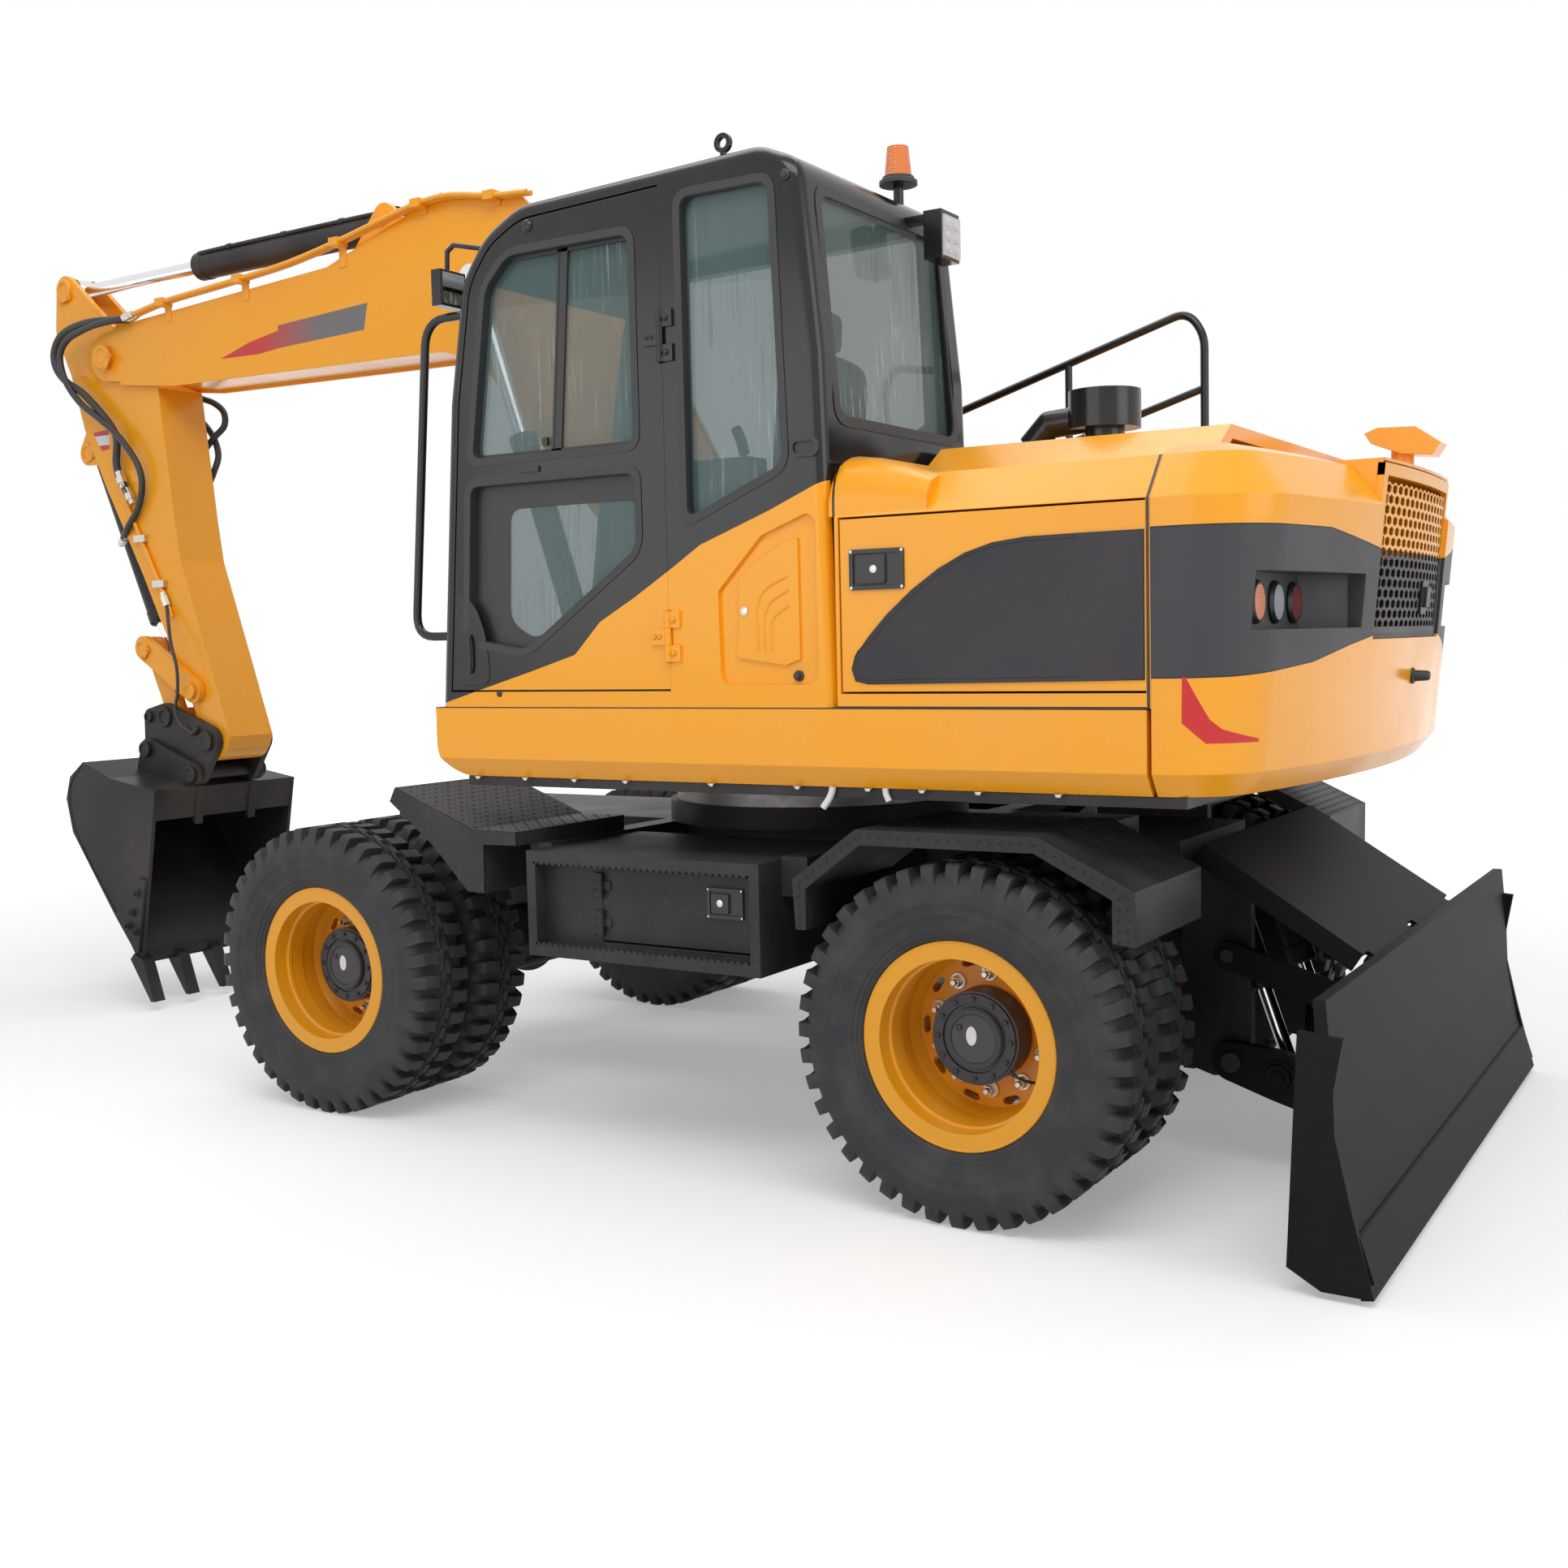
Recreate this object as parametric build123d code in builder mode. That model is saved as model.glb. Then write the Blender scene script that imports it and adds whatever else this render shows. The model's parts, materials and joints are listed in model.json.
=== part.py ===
from build123d import *
from math import atan2, cos, degrees, hypot, pi, radians, sin, sqrt
import os

os.makedirs("parts", exist_ok=True)

# Wheeled excavator, millimetres. +X forward to the boom, +Y to the cab side, +Z up.
# The origin is on the ground, in the middle of the machine's length and width.

# Chassis and wheels
wheelbase = 2474.0
rear_axle_x = -2145.0
front_axle_x = rear_axle_x + wheelbase
tyre_radius = 505.0
tyre_width = 250.0
twin_spacing = 295.0
outer_tyre_y = 1110.0
rim_flange_radius = 292.0
rim_radius = 256.0
rim_wall = 14.0
lug_count = 20
lug_height = 40.0
hub_radius = 133.0
hub_cap_radius = 88.0
hub_face_y = 1100.0
hand_holes = 10
hand_hole_radius = 202.0
king_pin_y = 600.0
frame_half_width = 330.0
frame_bottom_z = 620.0
frame_top_z = 985.0
plate = 20.0
clearance = 6.0
seat_gap = 0.3

# Slewing upper part
slew_x = front_axle_x - 1324.0
slew_ring_radius = 520.0
slew_ring_bottom_z = 1060.0
slew_ring_top_z = 1120.0
deck_bottom_z = 1175.0
deck_top_z = 1205.0
body_half_width = 1220.0
skirt_top_z = 1431.0
skirt_front_x = slew_x + 718.0
tail_radius = 2100.0
tail_depth = 385.0
tail_back_radius = 4800.0
tail_corner = 230.0
tail_lean = 80.0
tail_front_x = slew_x - tail_radius + tail_depth
tail_top_z = 2100.0
cab_inner_y = 300.0
cab_wall = 55.0
cab_base_z = skirt_top_z + seat_gap
door_hinge_x = rear_axle_x + 918.0
hood_front_x = rear_axle_x + 345.0
hood_base_z = skirt_top_z + seat_gap
panel = 40.0

# Boom, arm and bucket
boom_half_width = 150.0
boom_plate = 14.0
arm_half_width = 122.0
bucket_half_width = 400.0
bucket_plate = 18.0
pin_radius = 35.0


def from_rear(points):
    """Side view points, given in millimetres from the rear axle and the ground, in the machine's frame."""
    return [(rear_axle_x + x, z) for x, z in points]


def on_rear(x, z):
    return (rear_axle_x + x, z)


def side_plate(outline, y_low, y_high, mode=Mode.ADD, holes=()):
    """A plate in the side view, between two widths, with round holes given as (x, z, radius)."""
    with BuildSketch(Plane.XZ.offset(-y_high)) as face:
        with BuildLine():
            Polyline(*outline, close=True)
        make_face()
        for x, z, radius in holes:
            with Locations((x, z)):
                Circle(radius, mode=Mode.SUBTRACT)
    extrude(face.sketch, amount=y_high - y_low, mode=mode)


def cross_rod(centre, radius, y_low, y_high, mode=Mode.ADD):
    """A round bar or bore along Y, centred on a side view point."""
    with BuildSketch(Plane.XZ.offset(-y_high)) as face:
        with Locations(centre):
            Circle(radius)
    extrude(face.sketch, amount=y_high - y_low, mode=mode)


def block(x_range, y_range, z_range, mode=Mode.ADD):
    """A block between its low and high faces."""
    with Locations((x_range[0], y_range[0], z_range[0])):
        Box(
            x_range[1] - x_range[0],
            y_range[1] - y_range[0],
            z_range[1] - z_range[0],
            align=(Align.MIN, Align.MIN, Align.MIN),
            mode=mode,
        )


def rod_between(start, end, radius, y, mode=Mode.ADD, inner=0.0):
    """A round bar or tube between two side view points, at one width."""
    length = hypot(end[0] - start[0], end[1] - start[1])
    way = Vector(end[0] - start[0], 0, end[1] - start[1])
    with BuildSketch(Plane(origin=(start[0], y, start[1]), z_dir=way)) as face:
        Circle(radius)
        if inner:
            Circle(inner, mode=Mode.SUBTRACT)
    extrude(face.sketch, amount=length, mode=mode)


def along(start, end, distance):
    """The side view point at a distance from start towards end."""
    length = hypot(end[0] - start[0], end[1] - start[1])
    share = distance / length
    return (start[0] + (end[0] - start[0]) * share, start[1] + (end[1] - start[1]) * share)


def tube(points, radius):
    """A bent round bar through points in space, with a ball at each bend."""
    for start, end in zip(points, points[1:]):
        way = Vector(*end) - Vector(*start)
        with BuildSketch(Plane(origin=start, z_dir=way)) as face:
            Circle(radius)
        extrude(face.sketch, amount=way.length)
    for point in points[1:-1]:
        with Locations(point):
            Sphere(radius)


def pane_plate(outline, corner, y_low, y_high, mode=Mode.ADD):
    """A plate in the side view with rounded corners."""
    with BuildSketch(Plane.XZ.offset(-y_high)) as face:
        with BuildLine():
            Polyline(*outline, close=True)
        make_face()
        fillet(face.vertices(), corner)
    extrude(face.sketch, amount=y_high - y_low, mode=mode)


def hull_plate(circles, y_low, y_high, mode=Mode.ADD):
    """A plate in the side view, wrapped tight round circles given as (x, z, radius)."""
    with BuildSketch(Plane.XZ.offset(-y_high)) as face:
        for x, z, radius in circles:
            with Locations((x, z)):
                Circle(radius)
        make_hull()
    extrude(face.sketch, amount=y_high - y_low, mode=mode)


def save(name, part):
    part.label = name
    export_step(part, f"parts/{name}.step")


# Chassis frame: a narrow box beam, a round turret under the slewing ring and the outriggers
frame_rear_x = rear_axle_x - 330.0
frame_front_x = front_axle_x + 480.0
tool_box_rear_x = rear_axle_x + 630.0
tool_box_front_x = front_axle_x - 962.0
turret_radius = 545.0
tie_down = (frame_front_x + 70.0, 840.0)
tie_down_y = 200.0
tie_down_radius = 25.0
outrigger_half_width = 1085.0
outrigger_depth = 90.0
outrigger_rear_x = tool_box_rear_x - seat_gap - outrigger_depth
outrigger_front_x = tool_box_front_x + seat_gap
blade_low_pivot = on_rear(-500.0, 330.0)
blade_high_pivot = on_rear(-500.0, 660.0)
blade_reach = (-400.0, -130.0)
blade_cylinder_base = on_rear(-445.0, 850.0)
blade_bracket_y = 300.0
blade_cylinder_y = 222.0
arm_y = 345.0
axle_pin_z = 640.0
with BuildPart() as chassis_frame:
    block((frame_rear_x, frame_front_x), (-frame_half_width, frame_half_width), (720.0, frame_top_z))
    with BuildSketch(Plane.XY.offset(frame_top_z)):
        with Locations((slew_x, 0)):
            Circle(turret_radius)
    extrude(amount=slew_ring_bottom_z - frame_top_z - seat_gap)
    for x in outrigger_rear_x, outrigger_front_x:
        block(
            (x, x + outrigger_depth),
            (-outrigger_half_width, outrigger_half_width),
            (frame_top_z - 120.0, frame_top_z),
        )
    for side in (-1, 1):
        y = side * blade_bracket_y
        side_plate(
            from_rear([(-330, 930), (-330, 300), (-430, 270), (-545, 290), (-545, 800), (-500, 890), (-400, 930)]),
            y - plate,
            y + plate,
        )
        for centre, radius, reach in (
            (blade_low_pivot, 30.0, 80.0),
            (blade_high_pivot, 20.0, 115.0),
            (blade_cylinder_base, 22.0, -130.0),
        ):
            low, high = sorted((y, y + side * reach))
            cross_rod(centre, radius, low, high)
        y = sorted((side * tie_down_y, side * (tie_down_y + 25.0)))
        hull_plate([(frame_front_x - 60.0, 840.0, 60.0), (*tie_down, 50.0)], y[0], y[1])
        cross_rod(tie_down, tie_down_radius, y[0] - 1, y[1] + 1, mode=Mode.SUBTRACT)
save("chassis_frame", chassis_frame.part)

# Slewing ring, fixed to the turret
with BuildPart() as slew_ring:
    with BuildSketch(Plane.XY.offset(slew_ring_bottom_z)):
        with Locations((slew_x, 0)):
            Circle(slew_ring_radius)
            Circle(slew_ring_radius - 110.0, mode=Mode.SUBTRACT)
    extrude(amount=slew_ring_top_z - slew_ring_bottom_z)
save("slew_ring", slew_ring.part)

# Axles: a tapered beam with the differential's housing in its middle
axle_z = tyre_radius
axle_tube_radius = 85.0
diff_radius = 190.0
hub_inner_y = 690.0
for name, x, half in (("rear_axle", rear_axle_x, hub_inner_y), ("front_axle", front_axle_x, king_pin_y - 60.0)):
    with BuildPart() as axle:
        with BuildSketch(Plane.XZ.offset(-half)):
            with Locations((x, axle_z)):
                Circle(axle_tube_radius)
        extrude(amount=2 * half)
        with BuildSketch(Plane.XZ.offset(-150.0)):
            with Locations((x, axle_z)):
                Circle(diff_radius)
        extrude(amount=300.0, taper=18)
        if name == "rear_axle":
            for side in (-1, 1):
                block(
                    (x - 70.0, x + 70.0),
                    (side * 260.0 - 50.0, side * 260.0 + 50.0),
                    (axle_z, 720.0 - seat_gap),
                )
        else:
            block((x - 120.0, x + 120.0), (-60.0, 60.0), (axle_z, 720.0 - seat_gap))
            for side in (-1, 1):
                for z in (axle_z - 115.0, axle_z + 75.0):
                    block(
                        (x - 50.0, x + 50.0),
                        (side * king_pin_y - 60.0, side * king_pin_y + 60.0),
                        (z, z + 40.0),
                    )
                block(
                    (x - 50.0, x + 50.0),
                    (side * (king_pin_y - 85.0) - 25.0, side * (king_pin_y - 85.0) + 25.0),
                    (axle_z - 115.0, axle_z + 115.0),
                )
    save(name, axle.part)

# Drive line: transfer box under the frame and the two shafts
with BuildPart() as drive_line:
    block((slew_x - 170.0, slew_x + 170.0), (-140.0, 140.0), (470.0, 720.0 - seat_gap))
    for low, high in (
        (rear_axle_x + diff_radius + seat_gap, slew_x - 170.0),
        (slew_x + 170.0, front_axle_x - diff_radius - seat_gap),
    ):
        with BuildSketch(Plane.YZ.offset(low)):
            with Locations((0, axle_z)):
                Circle(45.0)
        extrude(amount=high - low)
save("drive_line", drive_line.part)

# Tool boxes: hollow steel boxes set back in a face frame, whose top and bottom are the steps
box_x = (tool_box_rear_x, tool_box_front_x)
box_z = (640.0, 975.0)
box_outer_y = 1150.0
box_inner_y = 640.0
box_wall = 25.0
frame_depth = 60.0
frame_bar = 35.0
box_hinge_x = tool_box_front_x - 256.0
box_door_x = (tool_box_rear_x + frame_bar + 5.0, box_hinge_x)
box_door_z = (690.0, 930.0)
box_hinge_y = box_outer_y + 11.0
box_hinge_radius = 10.0
box_pin_radius = 5.0
leaf = 4.0
# Each hinge on the box's door, by its low end, and the length of each of its three knuckles
box_hinges_z = (712.0, 830.0)
box_knuckle = 27.0
with BuildPart() as tool_boxes:
    for side in (-1, 1):
        y = sorted((side * box_inner_y, side * box_outer_y))
        block(box_x, y, box_z)
        inner = sorted((side * (box_inner_y + box_wall), side * (box_outer_y - box_wall)))
        block(
            (box_x[0] + box_wall, box_x[1] - box_wall),
            inner,
            (box_z[0] + box_wall, box_z[1] - box_wall),
            mode=Mode.SUBTRACT,
        )
        opening = sorted((side * (box_outer_y - 2 * box_wall), side * (box_outer_y + 1.0)))
        block(box_door_x, opening, box_door_z, mode=Mode.SUBTRACT)
        step = sorted((side * box_outer_y, side * (box_outer_y + frame_depth)))
        for z in (box_z[0], box_z[1] - frame_bar):
            block(box_x, step, (z, z + frame_bar))
        for x in (box_x[0], box_x[1] - frame_bar):
            block((x, x + frame_bar), step, box_z)
        for z in box_hinges_z:
            for low in (z, z + 2 * box_knuckle):
                with BuildSketch(Plane.XY.offset(low)):
                    with Locations((box_hinge_x, side * box_hinge_y)):
                        Circle(box_hinge_radius)
                extrude(amount=box_knuckle - seat_gap)
                block(
                    (box_hinge_x + 1.0, box_hinge_x + 34.0),
                    sorted((side * box_outer_y, side * (box_outer_y + leaf))),
                    (low, low + box_knuckle - seat_gap),
                )
            with BuildSketch(Plane.XY.offset(z)):
                with Locations((box_hinge_x, side * box_hinge_y)):
                    Circle(box_pin_radius)
            extrude(amount=3 * box_knuckle - seat_gap)
save("tool_boxes", tool_boxes.part)
for name, side in (("tool_box_door_left", 1), ("tool_box_door_right", -1)):
    with BuildPart() as door:
        y = sorted((side * (box_outer_y - box_wall), side * (box_outer_y - 2.0)))
        block(
            (box_door_x[0] + clearance, box_door_x[1] - seat_gap),
            y,
            (box_door_z[0] + clearance, box_door_z[1] - clearance),
        )
        for z in box_hinges_z:
            low = z + box_knuckle
            with BuildSketch(Plane.XY.offset(low)) as ring:
                with Locations((box_hinge_x, side * box_hinge_y)):
                    Circle(box_hinge_radius)
            extrude(ring.sketch, amount=box_knuckle - seat_gap)
            block(
                (box_hinge_x - 34.0, box_hinge_x - 1.0),
                sorted((side * (box_outer_y - 3.0), side * (box_outer_y + leaf))),
                (low, low + box_knuckle - seat_gap),
            )
            with BuildSketch(Plane.XY.offset(low - 1.0)) as bore:
                with Locations((box_hinge_x, side * box_hinge_y)):
                    Circle(box_pin_radius + seat_gap)
            extrude(bore.sketch, amount=box_knuckle + 2.0, mode=Mode.SUBTRACT)
    save(name, door.part)

# Fenders: rear ones arched over the twin tyres, front ones as chequer plate steps
fender_inner_y = 700.0
fender_outer_y = 1220.0
with BuildPart() as rear_fenders:
    for side in (-1, 1):
        y = sorted((side * fender_inner_y, side * fender_outer_y))
        side_plate(
            from_rear(
                [(500, 796), (509, 940), (299, 1092), (-251, 1094), (-519, 964), (-518, 821),
                 (-457, 828), (-457, 940), (-240, 1050), (285, 1048), (465, 915), (465, 796)]
            ),
            y[0],
            y[1],
        )
        # The fender's bracket: a leg on the side of the frame, and an arm out under the arch
        low, high = frame_half_width + seat_gap, fender_inner_y + 40.0
        bracket_x = (rear_axle_x - 200.0, rear_axle_x + 200.0)
        block(bracket_x, sorted((side * low, side * high)), (1025.0, 1062.0))
        block(bracket_x, sorted((side * low, side * (low + 40.0))), (frame_top_z - 90.0, 1062.0))
save("rear_fenders", rear_fenders.part)
with BuildPart() as front_fenders:
    for side in (-1, 1):
        y = sorted((side * 640.0, side * 1200.0))
        # Columns: distance ahead of the front axle, height
        step = [(-914, frame_top_z + seat_gap), (-774, frame_top_z + seat_gap), (-774, 824), (-728, 824),
                (-728, 975), (-367, 1118), (-387, 1160), (-729, 1030), (-914, 1030)]
        side_plate([(front_axle_x + x, z) for x, z in step], y[0], y[1])
save("front_fenders", front_fenders.part)

# Knuckles, with the steering arms behind, and the track rod between them
steer_arm = 235.0
for name, side in (("knuckle_left", 1), ("knuckle_right", -1)):
    with BuildPart() as knuckle:
        with BuildSketch(Plane.XY.offset(axle_z - 75.0 + seat_gap)):
            with Locations((front_axle_x, side * king_pin_y)):
                Circle(55.0)
        extrude(amount=150.0 - 2 * seat_gap)
        y = sorted((side * king_pin_y, side * (hub_inner_y - seat_gap)))
        block((front_axle_x - 45.0, front_axle_x + 45.0), y, (axle_z - 60.0, axle_z + 60.0))
        block(
            (front_axle_x - steer_arm - 30.0, front_axle_x - 40.0),
            sorted((side * (king_pin_y - 5.0), side * (king_pin_y + 45.0))),
            (axle_z - 60.0, axle_z - 30.0),
        )
    save(name, knuckle.part)
track_rod_y = king_pin_y + 20.0
with BuildPart() as track_rod:
    cross_rod((front_axle_x - steer_arm, axle_z - 90.0), 18.0, -track_rod_y, track_rod_y)
    for side in (-1, 1):
        with BuildSketch(Plane.XY.offset(axle_z - 112.0)):
            with Locations((front_axle_x - steer_arm, side * track_rod_y)):
                Circle(26.0)
        extrude(amount=52.0 - seat_gap)
save("track_rod", track_rod.part)

# Wheels: two lugged tyres, and the two rims bolted face to face on the hub
twin_middle_y = outer_tyre_y - twin_spacing / 2
bead_half_width = 84.0
tread_half_width = 104.0
sidewall_radius = 400.0
lug_pitch = 2 * pi / lug_count


def flat_ring(x, y, radius, inner=False):
    """A ring of flats about an axle, with its corners, or where it is inner its flats, at the radius."""
    with BuildSketch(Plane.XZ.offset(-y)) as face:
        with Locations((x, axle_z)):
            RegularPolygon(radius / (cos(lug_pitch / 2) if inner else 1.0), lug_count)
    return face.sketch


def tread_outline(x):
    """The tyre's side view round its lugs. One corner of a lug touches the ground."""
    points = []
    for n in range(lug_count):
        # Columns: share of the pitch, radius
        for share, radius in ((0.0, tyre_radius), (0.58, tyre_radius), (0.66, tyre_radius - lug_height),
                              (0.92, tyre_radius - lug_height)):
            a = (n + share) * lug_pitch - pi / 2
            points.append((x + radius * cos(a), axle_z + radius * sin(a)))
    return points


for end, x in (("front", front_axle_x), ("rear", rear_axle_x)):
    for hand, side in (("left", 1), ("right", -1)):
        place = Plane(origin=(x, 0, axle_z), x_dir=(0, side, 0), z_dir=(side, 0, 0))
        with BuildPart() as tyres:
            for middle in (side * outer_tyre_y, side * (outer_tyre_y - twin_spacing)):
                side_plate(tread_outline(x), middle - tread_half_width, middle + tread_half_width)
                for flip in (-1, 1):
                    loft(
                        [flat_ring(x, middle + flip * tread_half_width, tyre_radius - lug_height - 8.0),
                         flat_ring(x, middle + flip * tyre_width / 2, sidewall_radius)],
                        ruled=True,
                    )
                    loft(
                        [flat_ring(x, middle + flip * bead_half_width, rim_flange_radius + 2.0, True),
                         flat_ring(x, middle + flip * (tyre_width / 2 + 0.01), sidewall_radius - 4.0)],
                        ruled=True,
                        mode=Mode.SUBTRACT,
                    )
                extrude(
                    flat_ring(x, middle + tyre_width, rim_radius + seat_gap, True),
                    amount=2 * tyre_width,
                    mode=Mode.SUBTRACT,
                )
        save(f"tyres_{end}_{hand}", tyres.part)
        # Columns: width from the middle of the twin wheels, radius
        rim_profile = [(4, 60), (26, 60), (26, 218), (60, 242), (240, 242), (240, 292), (232, 292),
                       (232, 256), (63, 256), (63, 292), (55, 292), (55, 250), (4, 222)]
        with BuildPart() as wheel:
            for flip in (1, -1):
                with BuildSketch(place) as section:
                    with BuildLine():
                        Polyline(*[(twin_middle_y + flip * w, r) for w, r in rim_profile], close=True)
                    make_face()
                revolve(section.sketch, Axis((x, 0, axle_z), (0, 1, 0)))
            # Oval hand holes, with eight sides each
            with BuildSketch(Plane.XZ.offset(-side * twin_middle_y - 60.0)) as holes:
                with Locations((x, axle_z)):
                    with PolarLocations(hand_hole_radius, hand_holes):
                        Polygon((-11, -16), (-5, -26), (5, -26), (11, -16), (11, 16), (5, 26), (-5, 26), (-11, 16))
            extrude(holes.sketch, amount=120.0, mode=Mode.SUBTRACT)
            for radius, low, high in (
                (hub_radius, hub_inner_y, hub_face_y - 12.0),
                (hub_cap_radius, hub_face_y - 12.0, hub_face_y),
            ):
                low, high = sorted((side * low, side * high))
                cross_rod((x, axle_z), radius, low, high)
        save(f"wheel_{end}_{hand}", wheel.part)

# Dozer blade, its two arms, upper links, cover and cylinders
blade_half_width = 1238.0
blade_low_pin = (blade_low_pivot[0] + blade_reach[0], blade_low_pivot[1] + blade_reach[1])
blade_high_pin = (blade_high_pivot[0] + blade_reach[0], blade_high_pivot[1] + blade_reach[1])
blade_rod_pin = on_rear(-640.0, 300.0)
cover_hinge = on_rear(-943.0, 700.0)
cover_slope = 32.5
cover_length = 555.0
cover_half_width = 580.0
cover_pin_radius = 10.0
cover_tube_radius = 19.0


def on_cover(run, rise):
    """A side view point of the cover, by its run up the slope from the hinge and its rise off it."""
    c, s = cos(radians(cover_slope)), sin(radians(cover_slope))
    return (cover_hinge[0] + run * c - rise * s, cover_hinge[1] + run * s + rise * c)


with BuildPart() as blade_arms:
    for side in (-1, 1):
        y = side * arm_y
        hull_plate(
            [(*blade_low_pivot, 60.0), (*blade_rod_pin, 75.0), (*blade_low_pin, 50.0)], y - 20.0, y + 20.0
        )
        cross_rod(blade_low_pivot, 30.0 + seat_gap, y - 21.0, y + 21.0, mode=Mode.SUBTRACT)
        low, high = sorted((y, side * (blade_cylinder_y + 40.0)))
        cross_rod(blade_rod_pin, 22.0, low, high)
    cross_rod(on_rear(-790.0, 240.0), 38.0, -arm_y, arm_y)
    for side in (-1, 1):
        y = side * arm_y
        cross_rod(blade_low_pin, 25.0 + seat_gap, y - 21.0, y + 21.0, mode=Mode.SUBTRACT)
save("blade_arms", blade_arms.part)
with BuildPart() as blade_links:
    for side in (-1, 1):
        y = side * (arm_y + 45.0)
        hull_plate([(*blade_high_pivot, 42.0), (*blade_high_pin, 42.0)], y - 15.0, y + 15.0)
        cross_rod(blade_high_pivot, 20.0 + seat_gap, y - 16.0, y + 16.0, mode=Mode.SUBTRACT)
        cross_rod(blade_high_pin, 18.0 + seat_gap, y - 16.0, y + 16.0, mode=Mode.SUBTRACT)
save("blade_links", blade_links.part)
with BuildPart() as blade:
    side_plate(
        from_rear([(-970, 735), (-1000, 735), (-1016, 560), (-1022, 400), (-1060, 200), (-1115, 20),
                   (-1085, 15), (-1027, 190), (-988, 400), (-980, 560)]),
        -blade_half_width,
        blade_half_width,
    )
    for side in (-1, 1):
        y = sorted((side * (blade_half_width - plate), side * blade_half_width))
        side_plate(
            from_rear([(-932, 655), (-1041, 645), (-1009, 462), (-1061, 231), (-1115, 20), (-990, 20),
                       (-906, 67)]),
            y[0],
            y[1],
        )
        for middle in (arm_y - 55.0, arm_y + 85.0):
            y = side * middle
            side_plate(
                from_rear([(-990, 640), (-880, 600), (-850, 500), (-850, 160), (-1040, 160)]),
                y - 12.0,
                y + 12.0,
            )
        low, high = sorted((side * (arm_y - 55.0), side * (arm_y + 85.0)))
        cross_rod(blade_low_pin, 25.0, low, high)
        cross_rod(blade_high_pin, 18.0, low, high)
    for y in (-540.0, -20.0, 20.0, 540.0):
        hull_plate([(*cover_hinge, 17.0), (*on_rear(-985.0, 640.0), 12.0), (*on_rear(-985.0, 700.0), 12.0)],
                   y - 6.0, y + 6.0)
    cross_rod(cover_hinge, cover_pin_radius, -540.0, 540.0)
save("blade", blade.part)
with BuildPart() as blade_cover:
    side_plate(
        [on_cover(24, 7), on_cover(cover_length, 7), on_cover(cover_length, 19), on_cover(24, 19)],
        -cover_half_width,
        cover_half_width,
    )
    for side in (-1, 1):
        y = sorted((side * (cover_half_width - 12.0), side * cover_half_width))
        side_plate(
            [on_cover(24, -40), on_cover(cover_length, -40), on_cover(cover_length, 19), on_cover(24, 19)],
            y[0],
            y[1],
        )
        low, high = sorted((side * 40.0, side * 520.0))
        cross_rod(cover_hinge, cover_tube_radius, low, high)
        side_plate([on_cover(0, 7), on_cover(30, 7), on_cover(30, 19), on_cover(0, 19)], low, high)
        cross_rod(cover_hinge, cover_pin_radius + seat_gap, low - 1, high + 1, mode=Mode.SUBTRACT)
save("blade_cover", blade_cover.part)
with BuildPart() as blade_barrels:
    for side in (-1, 1):
        y = side * blade_cylinder_y
        cross_rod(blade_cylinder_base, 42.0, y - 30.0, y + 30.0)
        rod_between(blade_cylinder_base, along(blade_cylinder_base, blade_rod_pin, 330.0), 42.0, y)
        rod_between(
            along(blade_cylinder_base, blade_rod_pin, 60.0),
            along(blade_cylinder_base, blade_rod_pin, 330.0),
            22.0 + seat_gap,
            y,
            mode=Mode.SUBTRACT,
        )
        cross_rod(blade_cylinder_base, 22.0 + seat_gap, y - 43.0, y + 43.0, mode=Mode.SUBTRACT)
save("blade_barrels", blade_barrels.part)
with BuildPart() as blade_rods:
    for side in (-1, 1):
        y = side * blade_cylinder_y
        rod_between(along(blade_cylinder_base, blade_rod_pin, 260.0), blade_rod_pin, 22.0, y)
        cross_rod(blade_rod_pin, 38.0, y - 30.0, y + 30.0)
save("blade_rods", blade_rods.part)

# Upper frame: the deck, the round tub on the ring and the boom's side plates
boom_foot = on_rear(1500.0, 1750.0)
lift_base = on_rear(1950.0, 1360.0)
lift_y = 238.0
frame_plate_y = 170.0
with BuildPart() as upper_frame:
    with BuildSketch(Plane.XY.offset(slew_ring_top_z + seat_gap)):
        with Locations((slew_x, 0)):
            Circle(slew_ring_radius)
    extrude(amount=deck_bottom_z - slew_ring_top_z)
    deck_x = (tail_front_x - 75.0, skirt_front_x - 88.0)
    deck_y = (50.0 - body_half_width, body_half_width - 50.0)
    block(deck_x, deck_y, (deck_bottom_z, deck_top_z))
    for side in (-1, 1):
        y = side * frame_plate_y
        side_plate(
            from_rear([(450, 1205), (1780, 1205), (2020, 1300), (2020, 1420), (1700, 1470), (1620, 1800),
                       (1560, 1870), (1430, 1870), (1380, 1800), (1200, 1500), (450, 1400)]),
            y - 10.0,
            y + 10.0,
        )
    cross_rod(boom_foot, pin_radius, -frame_plate_y, frame_plate_y)
    cross_rod(lift_base, 30.0, -lift_y - 45.0, lift_y + 45.0)
save("upper_frame", upper_frame.part)

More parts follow.
